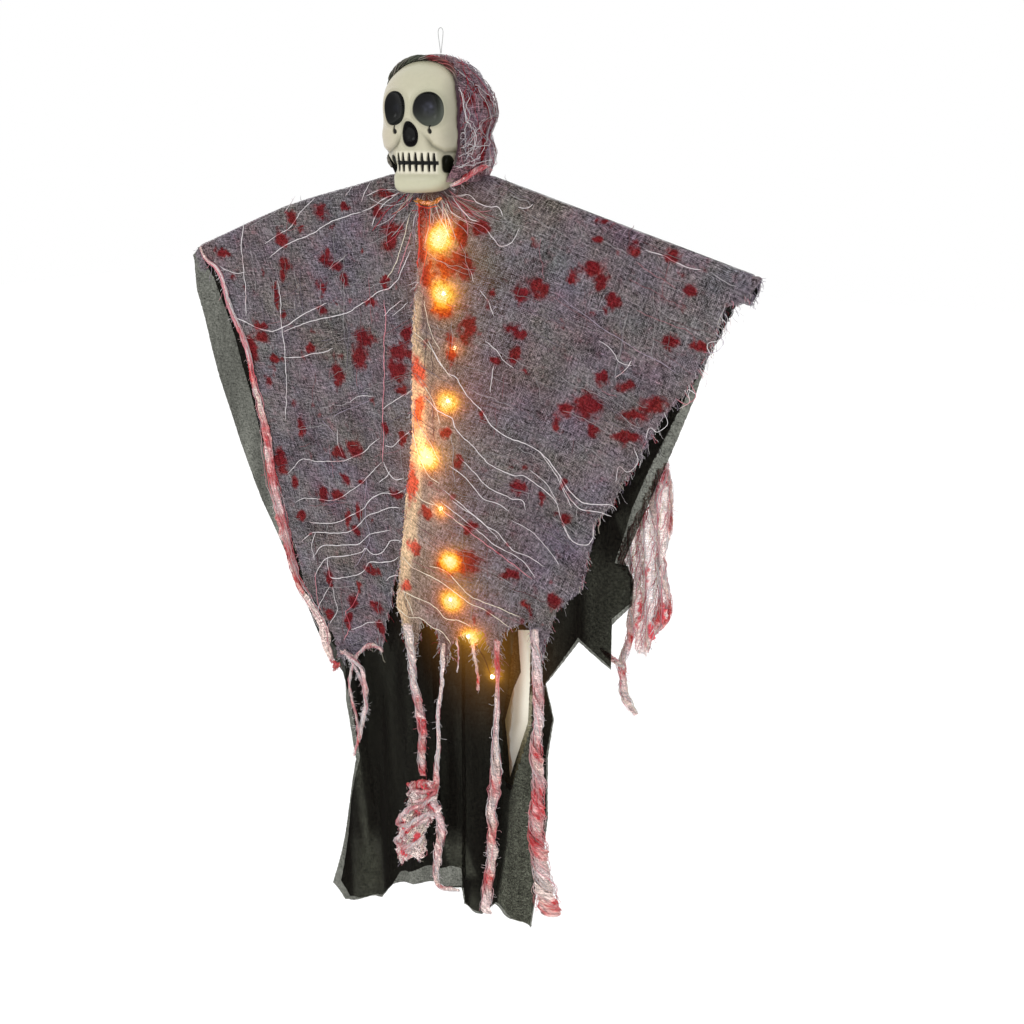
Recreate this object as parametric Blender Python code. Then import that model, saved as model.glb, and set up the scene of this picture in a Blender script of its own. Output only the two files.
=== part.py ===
"""Hanging ghost decoration: a hooded skull over a robe spread on two bendable shoulder wires.

Metres, +Z up. The origin is the point where the hanging loop bears on its hook.
The ghost faces -Y; "left" is the ghost's own left, +X.
"""
import math

import bmesh
import bpy
import numpy as np
from mathutils import Matrix, Vector

for old in list(bpy.data.objects):
    bpy.data.objects.remove(old, do_unlink=True)

GAP = 0.0003

# hanging loop, knot and washer at the crown
THREAD_D = 0.0006
PIVOT_Z = -0.0212
LOOP_HALF_W = 0.0026

# skull
SKULL_SEAM_Y = -0.012
SKULL_CENTRE_Z = -0.080
SKULL_WALL = 0.002
CROWN_HOLE_R = 0.003
NECK_HOLE_R = 0.0123

# hood
HOOD_FRONT_Y = -0.0445
HOOD_A = 0.0486
HOOD_B = 0.0586
HOOD_Y = -0.0040
HOOD_BOTTOM_Z = -0.1215

# neck and shoulders
POST_R = 0.005
YOKE_Z = -0.131
YOKE_HALF = 0.0450
ARM_ROOT_X = 0.0450
ARM_TIP_X = 0.3050
ARM_TIP_Z = -0.2095
WIRE_R = 0.0015
SLEEVE_X0 = 0.072
SLEEVE_X1 = 0.3060

# cloth layers, as distances from the plane of the arms
ROBE_Y = 0.0068
ROBE_T = 0.0008
GAUZE_STEP = 0.0022
GAUZE_T = 0.0008
HEM_Z = -0.60

# battery case
CASE_W = 0.034
CASE_TOP = -0.148
CASE_BOTTOM = -0.176
CASE_BACK = -0.0055
CASE_FRONT = -0.0160


# ------------------------------------------------------------------ materials
def material(name, colour, rough, metal=0.0):
    m = bpy.data.materials.new(name)
    m.use_nodes = True
    b = m.node_tree.nodes["Principled BSDF"]
    b.inputs["Base Color"].default_value = (*colour, 1.0)
    b.inputs["Roughness"].default_value = rough
    b.inputs["Metallic"].default_value = metal
    m.diffuse_color = (*colour, 1.0)
    return m


M_BONE = material("bone_plastic", (0.60, 0.57, 0.44), 0.42)
M_ROBE = material("black_nonwoven", (0.02, 0.021, 0.02), 0.95)
M_GAUZE = material("grey_gauze", (0.27, 0.24, 0.27), 0.95)
M_TAIL = material("twisted_gauze", (0.60, 0.38, 0.38), 0.95)
M_THREAD = material("nylon_thread", (0.6, 0.6, 0.58), 0.35)
M_YOKE = material("black_moulding", (0.03, 0.03, 0.032), 0.5)
M_WIRE = material("shoulder_wire", (0.35, 0.35, 0.36), 0.4, 1.0)
M_CASE = material("case_plastic", (0.75, 0.75, 0.73), 0.35)
M_CELL = material("cell_steel", (0.6, 0.6, 0.6), 0.3, 1.0)
M_CONTACT = material("nickel_contact", (0.62, 0.6, 0.55), 0.3, 1.0)
M_LEDWIRE = material("copper_lead", (0.62, 0.33, 0.15), 0.35, 1.0)
M_BEAD = material("resin_drop", (1.0, 0.72, 0.25), 0.15)


# ------------------------------------------------------------------ small tools
def add(name, verts, faces, mat, smooth=True):
    me = bpy.data.meshes.new(name)
    me.from_pydata([tuple(float(c) for c in v) for v in verts], [], faces)
    bm = bmesh.new()
    bm.from_mesh(me)
    bmesh.ops.recalc_face_normals(bm, faces=bm.faces)
    bm.to_mesh(me)
    bm.free()
    me.materials.append(mat)
    ob = bpy.data.objects.new(name, me)
    bpy.context.collection.objects.link(ob)
    if smooth:
        me.shade_smooth()
        me.set_sharp_from_angle(angle=math.radians(35))
    return ob


def grid_faces(rows, cols, wrap=False, base=0):
    out = []
    for r in range(rows - 1):
        for c in range(cols if wrap else cols - 1):
            d = (c + 1) % cols
            out.append((base + r * cols + c, base + r * cols + d, base + (r + 1) * cols + d, base + (r + 1) * cols + c))
    return out


def turned(name, profile, mat, at=(0, 0, 0), axis="Z", n=24):
    """A solid turned round an axis: profile is [(radius, height)] from one end to the other, 0 at both ends."""
    verts, rings = [], []
    for r, h in profile:
        if r < 1e-9:
            rings.append([len(verts)])
            verts.append((0, 0, h))
        else:
            rings.append(list(range(len(verts), len(verts) + n)))
            verts += [(r * math.cos(2 * math.pi * k / n), r * math.sin(2 * math.pi * k / n), h) for k in range(n)]
    faces = []
    for a, b in zip(rings, rings[1:]):
        for k in range(n):
            i, j = k, (k + 1) % n
            if len(a) == 1:
                faces.append((a[0], b[j], b[i]))
            elif len(b) == 1:
                faces.append((a[i], a[j], b[0]))
            else:
                faces.append((a[i], a[j], b[j], b[i]))
    turn = {"Z": Matrix.Identity(3), "X": Matrix.Rotation(math.pi / 2, 3, "Y"), "Y": Matrix.Rotation(-math.pi / 2, 3, "X")}[axis]
    verts = [Vector(at) + turn @ Vector(v) for v in verts]
    return add(name, verts, faces, mat)


def ring(name, profile, mat, at=(0, 0, 0), n=24):
    """A ring turned round Z: profile is a closed loop of (radius, height)."""
    verts = []
    for r, h in profile:
        verts += [(at[0] + r * math.cos(2 * math.pi * k / n), at[1] + r * math.sin(2 * math.pi * k / n), at[2] + h) for k in range(n)]
    faces, m = [], len(profile)
    for a in range(m):
        b = (a + 1) % m
        for k in range(n):
            j = (k + 1) % n
            faces.append((a * n + k, a * n + j, b * n + j, b * n + k))
    return add(name, verts, faces, mat)


def block(name, lo, hi, mat, bevel=0.0):
    v = [(x, y, z) for x in (lo[0], hi[0]) for y in (lo[1], hi[1]) for z in (lo[2], hi[2])]
    f = [(0, 1, 3, 2), (4, 6, 7, 5), (0, 4, 5, 1), (2, 3, 7, 6), (0, 2, 6, 4), (1, 5, 7, 3)]
    ob = add(name, v, f, mat, smooth=False)
    if bevel:
        b = ob.modifiers.new("Edge", "BEVEL")
        b.width, b.segments, b.limit_method = bevel, 2, "ANGLE"
    return ob


def cutter(ob):
    ob.hide_render = True
    ob.display_type = "WIRE"
    ob.name = "cut_" + ob.name
    return ob


def cut(ob, tool, op="DIFFERENCE"):
    m = ob.modifiers.new("Cut", "BOOLEAN")
    m.object, m.operation, m.solver = tool, op, "EXACT"
    return ob


def tube(name, points, radius, mat, res=2):
    cu = bpy.data.curves.new(name, "CURVE")
    cu.dimensions = "3D"
    cu.bevel_depth = radius
    cu.bevel_resolution = res
    cu.use_fill_caps = True
    cu.twist_mode = "MINIMUM"
    s = cu.splines.new("POLY")
    s.points.add(len(points) - 1)
    for p, q in zip(s.points, points):
        p.co = (q[0], q[1], q[2], 1.0)
    cu.materials.append(mat)
    ob = bpy.data.objects.new(name, cu)
    bpy.context.collection.objects.link(ob)
    return ob


def smooth_path(points, n):
    """n points at even steps along a smooth curve through the given points."""
    P = [Vector(p) for p in points]
    P = [2 * P[0] - P[1]] + P + [2 * P[-1] - P[-2]]
    fine = []
    for i in range(1, len(P) - 2):
        a, b, c, d = P[i - 1 : i + 3]
        for k in range(40):
            t = k / 40
            fine.append(0.5 * ((2 * b) + (c - a) * t + (2 * a - 5 * b + 4 * c - d) * t * t + (3 * b - a - 3 * c + d) * t**3))
    fine.append(P[-2])
    A = np.array([list(p) for p in fine])
    s = np.concatenate([[0], np.cumsum(np.linalg.norm(np.diff(A, axis=0), axis=1))])
    t = np.linspace(0, s[-1], n)
    return np.stack([np.interp(t, s, A[:, k]) for k in range(3)], 1)


def smoothstep(a, b, x):
    t = np.clip((x - a) / (b - a), 0, 1)
    return t * t * (3 - 2 * t)


def bump(x, c, w):
    return np.exp(-(((x - c) / w) ** 2))


# ------------------------------------------------------------------ skull form
def ellipsoid(P, c, r):
    q = (P - np.array(c)) / np.array(r)
    return (np.linalg.norm(q, axis=-1) - 1) * min(r)


def blend_min(a, b, k):
    h = np.clip(0.5 + 0.5 * (b - a) / k, 0, 1)
    return b * (1 - h) + a * h - k * h * (1 - h)


def skull_field(P):
    """Negative inside the smooth mass of the skull: cranium, cheeks and jaw."""
    f = ellipsoid(P, (0, -0.0045, -0.0675), (0.0460, 0.0560, 0.0430))
    f = blend_min(f, ellipsoid(P, (0, -0.0290, -0.0960), (0.0400, 0.0285, 0.0290)), 0.010)
    f = blend_min(f, ellipsoid(P, (0, -0.0380, -0.1170), (0.0300, 0.0205, 0.0235)), 0.008)
    return f


def skull_surface(alpha, beta, grow=0.0):
    """Points of the skull's outer surface: alpha is measured from straight ahead (-Y), beta runs round the Y axis."""
    d = np.stack([np.sin(alpha) * np.cos(beta), -np.cos(alpha), np.sin(alpha) * np.sin(beta)], -1)
    c = np.array([0, SKULL_SEAM_Y, SKULL_CENTRE_Z])
    lo, hi = np.full(alpha.shape, 0.005), np.full(alpha.shape, 0.12)
    for _ in range(40):
        mid = (lo + hi) / 2
        inside = skull_field(c + d * mid[..., None]) < grow
        lo, hi = np.where(inside, mid, lo), np.where(inside, hi, mid)
    return c + d * lo[..., None]


def face_relief(P):
    """How far each point of the smooth face moves back (+Y): sockets, nose, mouth line, hollow behind the teeth."""
    x, z = np.abs(P[..., 0]), P[..., 2]
    front = smoothstep(-0.020, -0.040, P[..., 1])
    r = np.sqrt(((x - 0.0205) / 0.0160) ** 2 + ((z + 0.0695) / 0.0140) ** 2)
    back = 0.0105 * smoothstep(1.08, 0.55, r)
    back -= 0.0016 * np.exp(-(((r - 1.12) / 0.16) ** 2))
    wide = 0.0078 * smoothstep(-0.0785, -0.0930, z) + 0.0015
    nose = np.sqrt((x / wide) ** 2 + ((z + 0.0905) / 0.0098) ** 2)
    back += 0.0065 * smoothstep(1.05, 0.5, nose)
    back -= 0.0045 * bump(z, -0.0765, 0.007) * bump(x, 0, 0.0055)
    back -= 0.0030 * bump(x, 0.0330, 0.010) * bump(z, -0.0905, 0.0055)
    back += 0.0040 * bump(x, 0.0330, 0.007) * bump(z, -0.1040, 0.0070)
    back -= 0.0022 * bump(z, -0.1135, 0.0085) * bump(x, 0.0, 0.022)
    back += 0.0014 * bump(z, -0.1143, 0.0009) * smoothstep(0.027, 0.024, x)
    back -= 0.0025 * bump(z, -0.1335, 0.0060) * bump(x, 0.0, 0.020)
    return back * front


def shell_rows(a0, a1, rows, cols, relief):
    al, be = np.meshgrid(np.linspace(a0, a1, rows), np.linspace(0, 2 * np.pi, cols, endpoint=False), indexing="ij")
    P = skull_surface(al, be)
    if relief:
        P[..., 1] += face_relief(P)
    return P


def skull_shell(name, a0, a1, rows, cols, relief, pole_first):
    P = shell_rows(a0, a1, rows, cols, relief)
    verts, faces = [], []
    pole = P[0 if pole_first else -1].mean(0)
    R = P[1:] if pole_first else P[:-1]
    n = R.shape[0]
    verts = [tuple(v) for v in R.reshape(-1, 3)] + [tuple(pole)]
    faces = grid_faces(n, cols, wrap=True)
    row = 0 if pole_first else n - 1
    for k in range(cols):
        faces.append((n * cols, row * cols + k, row * cols + (k + 1) % cols))
    me = bpy.data.meshes.new(name)
    me.from_pydata(verts, [], faces)
    bm = bmesh.new()
    bm.from_mesh(me)
    bmesh.ops.recalc_face_normals(bm, faces=bm.faces)
    centre = Vector((0, SKULL_SEAM_Y, SKULL_CENTRE_Z))
    far = max(bm.faces, key=lambda f: (f.calc_center_median() - centre).length)
    if far.normal.dot(far.calc_center_median() - centre) < 0:
        bmesh.ops.reverse_faces(bm, faces=bm.faces)
    bm.to_mesh(me)
    bm.free()
    me.materials.append(M_BONE)
    ob = bpy.data.objects.new(name, me)
    bpy.context.collection.objects.link(ob)
    me.shade_smooth()
    s = ob.modifiers.new("Wall", "SOLIDIFY")
    s.thickness, s.offset, s.use_even_offset = SKULL_WALL, -1.0, False
    return ob


skull_face = skull_shell("skull_face", 0.0, math.pi / 2, 19, 32, True, True)
skull_back = skull_shell("skull_back", math.pi / 2, math.pi, 8, 32, False, False)
for v in skull_back.data.vertices:
    v.co.y += GAP
crown_cut = cutter(turned("crown_hole", [(0, -0.035), (CROWN_HOLE_R, -0.035), (CROWN_HOLE_R, -0.010), (0, -0.010)], M_BONE))
neck_cut = cutter(turned("neck_hole", [(0, -0.125), (NECK_HOLE_R, -0.125), (NECK_HOLE_R, -0.095), (0, -0.095)], M_BONE, n=20))
cut(cut(skull_back, crown_cut), neck_cut)
# the collar's bore also clears the lower rear edge of the face shell
cut(skull_face, neck_cut)

neck_socket = ring(
    "neck_socket",
    [(0.0053, -0.1135), (0.0120, -0.1135), (0.0120, -0.1030), (0.0140, -0.1030), (0.0140, -0.1015), (0.0080, -0.1000), (0.0080, -0.0985), (0.0053, -0.0985)],
    M_BONE,
    n=20,
)

# ------------------------------------------------------------------ thread, knot and washer
loop_route = [
    (0.00045, 0, PIVOT_Z + 0.0003),
    (0.0006, 0, -0.0185),
    (0.0014, 0, -0.0130),
    (0.0023, 0, -0.0070),
    (LOOP_HALF_W, 0, -0.0030),
    (0.0017, 0, -0.0005),
    (0.0, 0, THREAD_D / 2),
    (-0.0017, 0, -0.0005),
    (-LOOP_HALF_W, 0, -0.0030),
    (-0.0023, 0, -0.0070),
    (-0.0014, 0, -0.0130),
    (-0.0006, 0, -0.0185),
    (-0.00045, 0, PIVOT_Z + 0.0003),
]
hanging_loop = tube("hanging_loop", smooth_path(loop_route, 33), THREAD_D / 2, M_THREAD)

loop_knot = turned(
    "loop_knot",
    [(0, PIVOT_Z - 0.0003), (0.0006, PIVOT_Z - 0.0003), (0.0006, -0.0298), (0.0016, -0.0303), (0.0022, -0.0319), (0.0017, -0.0335), (0.0007, -0.0343), (0, -0.0344)],
    M_THREAD,
    n=16,
)
crown_washer = ring("crown_washer", [(0.0010, -0.0294), (0.0044, -0.0294), (0.0044, -0.0280), (0.0010, -0.0280)], M_CASE)


# ------------------------------------------------------------------ hood
def hood_point(theta, t, grow):
    """t runs 0 at the neck edge to 1 at the crown; theta 0 is +X and -90 degrees is the front."""
    top = -0.0222 + grow
    low = HOOD_BOTTOM_Z
    z0 = -0.072
    # lower half: nearly upright walls drawn in at the neck; upper half: a dome
    if t < 0.5:
        s = t / 0.5
        z = low + (z0 - low) * s
        k = 0.90 + 0.10 * math.sin(s * math.pi / 2)
        a, b = (HOOD_A + grow) * k, (HOOD_B + grow) * k
    else:
        s = (t - 0.5) / 0.5 * math.pi / 2
        z = z0 + (top - z0) * math.sin(s)
        a, b = (HOOD_A + grow) * math.cos(s), (HOOD_B + grow) * math.cos(s)
    c, d = math.cos(theta), math.sin(theta)
    full = 2 / 2.4
    return a * math.copysign(abs(c) ** full, c), HOOD_Y + b * math.copysign(abs(d) ** full, d), z


def hood(name, grow, thick, mat, rows=12, cols=28):
    verts = []
    for r in range(rows):
        for c in range(cols):
            verts.append(hood_point(2 * math.pi * c / cols, r / (rows - 1) * 0.9985, grow))
    faces = grid_faces(rows, cols, wrap=True)
    me = bpy.data.meshes.new(name)
    me.from_pydata(verts, [], faces)
    bm = bmesh.new()
    bm.from_mesh(me)
    bm.verts.ensure_lookup_table()
    last = [bm.verts[(rows - 1) * cols + c] for c in range(cols)]
    bm.faces.new(last)
    bmesh.ops.recalc_face_normals(bm, faces=bm.faces)
    bmesh.ops.bisect_plane(bm, geom=bm.verts[:] + bm.edges[:] + bm.faces[:], plane_co=(0, HOOD_FRONT_Y, 0), plane_no=(0, -1, 0), clear_outer=True)
    crown = max(bm.faces, key=lambda f: f.calc_center_median().z)
    if crown.normal.z < 0:
        bmesh.ops.reverse_faces(bm, faces=bm.faces)
    bm.to_mesh(me)
    bm.free()
    me.materials.append(mat)
    ob = bpy.data.objects.new(name, me)
    bpy.context.collection.objects.link(ob)
    me.shade_smooth()
    s = ob.modifiers.new("Cloth", "SOLIDIFY")
    s.thickness, s.offset, s.use_even_offset = thick, 1.0, False
    cut(ob, crown_cut)
    return ob


hood_lining = hood("hood_lining", 0.0, ROBE_T, M_ROBE)
hood_gauze = hood("hood_gauze", 0.0019, GAUZE_T, M_GAUZE)

# ------------------------------------------------------------------ yoke, neck tie, shoulder wires
post = turned(
    "neck_post",
    [(0, YOKE_Z), (POST_R, YOKE_Z), (POST_R, -0.0980), (0.0068, -0.0976), (0.0068, -0.0966), (0.0042, -0.0940), (0, -0.0940)],
    M_YOKE,
)
shoulder_yoke = block("shoulder_yoke", (-YOKE_HALF, -0.005, YOKE_Z - 0.0045), (YOKE_HALF, 0.005, YOKE_Z + 0.0042), M_YOKE, bevel=0.001)
cut(shoulder_yoke, cutter(post), "UNION")

neck_tie = ring(
    "neck_tie",
    [(0.0070 + 0.0014 * math.cos(a), -0.1230 + 0.0014 * math.sin(a)) for a in [2 * math.pi * k / 10 for k in range(10)]],
    M_THREAD,
)


def arm_z(x):
    return YOKE_Z + (ARM_TIP_Z - YOKE_Z) * (abs(x) - ARM_ROOT_X) / (ARM_TIP_X - ARM_ROOT_X)


SLOPE = math.atan2(YOKE_Z - ARM_TIP_Z, ARM_TIP_X - ARM_ROOT_X)


def along_arm(side, s, up):
    """A point s metres out from the arm's root, and up from the wire, in the plane of the arms."""
    return side * (ARM_ROOT_X + s * math.cos(SLOPE) + up * math.sin(SLOPE)), YOKE_Z - s * math.sin(SLOPE) + up * math.cos(SLOPE)


ARM_LEN = math.hypot(ARM_TIP_X - ARM_ROOT_X, ARM_TIP_Z - YOKE_Z)


def arm(side, tag):
    wire_pts = [(x, 0, z) for x, z in (along_arm(side, s, 0) for s in np.linspace(0.0013, ARM_LEN - 0.006, 9))]
    tube("arm_wire_" + tag, wire_pts, WIRE_R, M_WIRE)
    # end cap: a soft round sleeve over the wire's end
    prof = [(0.0018, -0.016), (0.0030, -0.016), (0.0030, -0.003), (0.0026, -0.001), (0.0015, 0.0)]
    n, verts, faces = 10, [], []
    rings = []
    for r, h in prof:
        rings.append(len(verts))
        for k in range(n):
            a = 2 * math.pi * k / n
            x, z = along_arm(side, ARM_LEN + h, r * math.sin(a))
            verts.append((x, r * math.cos(a), z))
    tip = len(verts)
    x, z = along_arm(side, ARM_LEN + 0.0003, 0)
    verts.append((x, 0, z))
    bore = len(verts)
    for k in range(n):
        a = 2 * math.pi * k / n
        x, z = along_arm(side, ARM_LEN - 0.0055, 0.0018 * math.sin(a))
        verts.append((x, 0.0018 * math.cos(a), z))
    floor = len(verts)
    x, z = along_arm(side, ARM_LEN - 0.0055, 0)
    verts.append((x, 0, z))
    for a, b in zip(rings, rings[1:]):
        for k in range(n):
            j = (k + 1) % n
            faces.append((a + k, a + j, b + j, b + k))
    for k in range(n):
        j = (k + 1) % n
        faces.append((rings[-1] + k, rings[-1] + j, tip))
        faces.append((rings[0] + j, rings[0] + k, bore + k, bore + j))
        faces.append((bore + j, bore + k, floor))
    add("arm_tip_" + tag, verts, faces, M_YOKE)
    # stitched tunnel of doubled cloth round the wire: flat tube, open at both ends
    s0 = (SLEEVE_X0 - ARM_ROOT_X) / math.cos(SLOPE)
    s1 = ARM_LEN + 0.0015
    outer = [(0.0048 * math.cos(a), -0.0048 + (0.0098 if math.sin(a) > 0 else 0.0098) * math.sin(a)) for a in [2 * math.pi * k / 12 for k in range(12)]]
    inner = [(0.0040 * math.cos(a), -0.0048 + 0.0089 * math.sin(a)) for a in [2 * math.pi * k / 12 for k in range(12)]]
    verts, faces = [], []
    steps = np.linspace(s0, s1, 2)
    for loop in (outer, inner):
        for s in steps:
            for y, up in loop:
                x, z = along_arm(side, s, up)
                verts.append((x, y, z))
    m = 12
    half = len(steps) * m
    for r in range(len(steps) - 1):
        for k in range(m):
            j = (k + 1) % m
            faces.append((r * m + k, r * m + j, (r + 1) * m + j, (r + 1) * m + k))
            faces.append((half + r * m + j, half + r * m + k, half + (r + 1) * m + k, half + (r + 1) * m + j))
    end = (len(steps) - 1) * m
    for k in range(m):
        j = (k + 1) % m
        faces.append((k, half + k, half + j, j))
        faces.append((end + j, half + end + j, half + end + k, end + k))
    add("arm_sleeve_" + tag, verts, faces, M_ROBE)


arm(1, "left")
arm(-1, "right")


# ------------------------------------------------------------------ cloth panels
def top_edge(x):
    """Height of the cloth's top edge: level at the neck, then 5 mm above the wire."""
    return min(-0.1292, arm_z(x) + 0.0045)


def chest(x, z):
    """How far the cloth stands out from the plane of the arms at the middle."""
    rise = smoothstep(-0.127, -0.185, z)
    fall = 1 - 0.35 * smoothstep(-0.45, -0.90, z)
    return (0.006 * smoothstep(-0.126, -0.14, z) + 0.024 * rise) * np.exp(-((x / 0.085) ** 2)) * fall


def front_robe_y(x, z):
    return -(ROBE_Y + chest(x, z))


def front_gauze_y(x, z):
    light = 0.0065 * bump(x, 0.026, 0.040) * smoothstep(-0.140, -0.165, z)
    return -(ROBE_Y + GAUZE_STEP + 1.04 * chest(x, z) + light)


def lap_gauze_y(x, z):
    """The left front panel, which laps over the right one near the middle."""
    return front_gauze_y(x, z) - 0.0022 * smoothstep(0.060, 0.035, x)


def back_robe_y(x, z):
    return ROBE_Y + 0.55 * chest(x, z)


def back_gauze_y(x, z):
    return ROBE_Y + GAUZE_STEP + 0.60 * chest(x, z)


def panel(name, side, x_in, x_out, hem, strips, yfun, thick, mat, cols=10, tuck=0.0):
    """A hung sheet. x_in/x_out: (top, hem) of its inner and outer edges, x measured outwards from the middle.
    hem(u) gives the height of the lower edge at u, 0 inner to 1 outer. strips: (u0, u1, (x, z), (x, z)) cut below it."""
    verts, faces = [], []
    # closer rows at the top, where the cloth leaves the neck and stands out over the chest
    downs = (0.0, 0.03, 0.07, 0.12, 0.20, 0.42, 0.70, 1.0)
    rows = len(downs)
    for v in downs:
        for c in range(cols + 1):
            u = c / cols
            xt = x_in[0] + (x_out[0] - x_in[0]) * u
            xh = x_in[1] + (x_out[1] - x_in[1]) * u
            x = xt + (xh - xt) * v - tuck * u * math.sin(math.pi * v)
            zt = top_edge(xt)
            z = zt + (hem(u) - zt) * v
            verts.append((side * x, z))
    faces = grid_faces(rows, cols + 1)
    base = (rows - 1) * (cols + 1)
    for u0, u1, a, b, steps in strips:
        c0, c1 = round(u0 * cols), round(u1 * cols)
        n = c1 - c0 + 1
        prev = [base + c0 + k for k in range(n)]
        for s in range(1, steps + 1):
            t = s / steps
            row = []
            for k in range(n):
                w = k / (n - 1)
                x0, z0 = verts[base + c0 + k]
                x1, z1 = side * (a[0] + (b[0] - a[0]) * w), a[1] + (b[1] - a[1]) * w
                # a slit starts at a point and opens below it
                row.append(len(verts))
                verts.append((x0 + (x1 - x0) * t, z0 + (z1 - z0) * t))
            for k in range(n - 1):
                faces.append((prev[k], prev[k + 1], row[k + 1], row[k]))
            prev = row
    P = [(x, float(yfun(x, z)), z) for x, z in verts]
    ob = add(name, P, faces, mat)
    s = ob.modifiers.new("Cloth", "SOLIDIFY")
    s.thickness, s.offset, s.use_even_offset = thick, 0.0, False
    return ob


# robe, front: the two halves part at the middle, where the light wire comes out, and at a slit near the hem
panel(
    "robe_front_left", 1, (0.0245, 0.0850), (0.3030, 0.1800), lambda u: -0.585 - 0.012 * math.sin(9 * u), [
        (0.0, 0.3, (0.0640, -0.885), (0.0970, -0.903), 4),
        (0.3, 0.5, (0.1060, -0.850), (0.1180, -0.815), 3),
        (0.8, 1.0, (0.1700, -0.612), (0.1830, -0.618), 1),
    ], front_robe_y, ROBE_T, M_ROBE, tuck=0.016,
)
panel(
    "robe_front_right", -1, (-0.0080, -0.0640), (0.3180, 0.2010), lambda u: -0.590 - 0.010 * math.sin(7 * u), [
        (0.0, 0.2, (-0.0350, -0.908), (-0.0080, -0.900), 4),
        (0.2, 0.5, (0.0100, -0.858), (0.0560, -0.880), 4),
        (0.5, 0.8, (0.0900, -0.930), (0.1500, -0.945), 4),
        (0.8, 1.0, (0.1500, -0.660), (0.1600, -0.640), 2),
    ], front_robe_y, ROBE_T, M_ROBE, tuck=-0.004,
)
# robe, back
panel(
    "robe_back_left", 1, (0.0004, 0.0004), (0.3030, 0.1900), lambda u: -0.575 - 0.010 * math.sin(8 * u), [
        (0.0, 0.3, (0.0060, -0.880), (0.0560, -0.893), 4),
        (0.3, 0.6, (0.0640, -0.850), (0.1140, -0.835), 4),
        (0.6, 0.8, (0.1260, -0.680), (0.1500, -0.660), 2),
    ], back_robe_y, ROBE_T, M_ROBE, tuck=0.012,
)
panel(
    "robe_back_right", -1, (0.0004, 0.0004), (0.3180, 0.2010), lambda u: -0.590 - 0.010 * math.sin(8 * u), [
        (0.0, 0.3, (0.0060, -0.872), (0.0480, -0.885), 4),
        (0.3, 0.6, (0.0560, -0.905), (0.1120, -0.925), 4),
        (0.6, 0.9, (0.1240, -0.950), (0.1780, -0.955), 4),
    ], back_robe_y, ROBE_T, M_ROBE, tuck=-0.004,
)
# gauze: the left front panel laps over the right one
panel(
    "gauze_front_left", 1, (-0.0060, -0.0360), (0.2980, 0.1300), lambda u: -0.556 - 0.012 * math.sin(11 * u), [],
    lap_gauze_y, GAUZE_T, M_GAUZE, tuck=-0.002,
)
panel(
    "gauze_front_right", -1, (-0.0100, -0.0060), (0.3060, 0.1650), lambda u: -0.575 - 0.050 * u - 0.008 * math.sin(12 * u), [],
    front_gauze_y, GAUZE_T, M_GAUZE, tuck=0.004,
)
panel(
    "gauze_back_left", 1, (0.0004, 0.0004), (0.2980, 0.2050), lambda u: -0.560 + 0.050 * u, [],
    back_gauze_y, GAUZE_T, M_GAUZE, tuck=0.010,
)
panel(
    "gauze_back_right", -1, (0.0004, 0.0004), (0.3060, 0.1750), lambda u: -0.560 - 0.020 * u, [],
    back_gauze_y, GAUZE_T, M_GAUZE, tuck=0.010,
)


# ------------------------------------------------------------------ twisted tails torn from the gauze
def tail(name, pts, r0, r1):
    """One twisted strip: a tapered round strand on its own route, fattest where r1 says."""
    verts, n = [], 6
    P = smooth_path(pts, 2 * len(pts))
    for i, p in enumerate(P):
        r = r0 + (r1 - r0) * i / (len(P) - 1)
        for k in range(n):
            a = 2 * math.pi * k / n
            verts.append((p[0] + r * math.cos(a), p[1] + r * math.sin(a), p[2]))
    m = len(P)
    faces = grid_faces(m, n, wrap=True)
    faces.append(tuple(range(n)))
    faces.append(tuple((m - 1) * n + k for k in reversed(range(n))))
    return add(name, verts, faces, M_TAIL)


def hang(pts, off):
    """Route points (x, z) hung in front of the gauze (off below 0) or behind it (off above 0), by that distance."""
    return [(x, float(lap_gauze_y(x, z) if off < 0 else back_gauze_y(x, z)) + off, z) for x, z in pts]


tail("gauze_tail_1", hang([(-0.104, -0.640), (-0.094, -0.665), (-0.091, -0.700), (-0.102, -0.732)], -0.0078), 0.0050, 0.0030)
tail("gauze_tail_2", hang([(-0.026, -0.572), (-0.018, -0.622), (-0.011, -0.680), (-0.010, -0.735), (-0.020, -0.775), (-0.030, -0.815)], -0.0083), 0.0035, 0.0055)
tail("gauze_tail_3", hang([(0.018, -0.578), (0.014, -0.640), (0.011, -0.700), (0.008, -0.738), (0.014, -0.785), (0.014, -0.820), (0.030, -0.855)], -0.0073), 0.0025, 0.0045)
tail("gauze_tail_4", hang([(0.080, -0.562), (0.080, -0.640), (0.078, -0.720), (0.074, -0.800), (0.066, -0.868)], -0.0078), 0.0035, 0.0050)
tail("gauze_tail_5", hang([(0.121, -0.560), (0.124, -0.640), (0.128, -0.720), (0.130, -0.790), (0.137, -0.855)], -0.0113), 0.0040, 0.0085)
tail("gauze_tail_6", hang([(0.200, -0.400), (0.190, -0.440), (0.196, -0.490), (0.201, -0.545), (0.191, -0.600), (0.186, -0.648)], 0.0118), 0.0090, 0.0035)
tail("gauze_tail_7", hang([(0.050, -0.570), (0.056, -0.640), (0.050, -0.700), (0.056, -0.760)], 0.0078), 0.0040, 0.0050)
tail("gauze_tail_8", hang([(-0.060, -0.575), (-0.064, -0.650), (-0.058, -0.730)], 0.0068), 0.0040, 0.0040)

# short twisted strip that closes the poncho under the chin
throat_tie = tube(
    "throat_tie",
    smooth_path([(-0.016, -0.0395, -0.1510), (-0.004, -0.0425, -0.1520), (0.008, -0.0435, -0.1515), (0.022, -0.0425, -0.1525)], 12),
    0.0022,
    M_TAIL,
)

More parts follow.
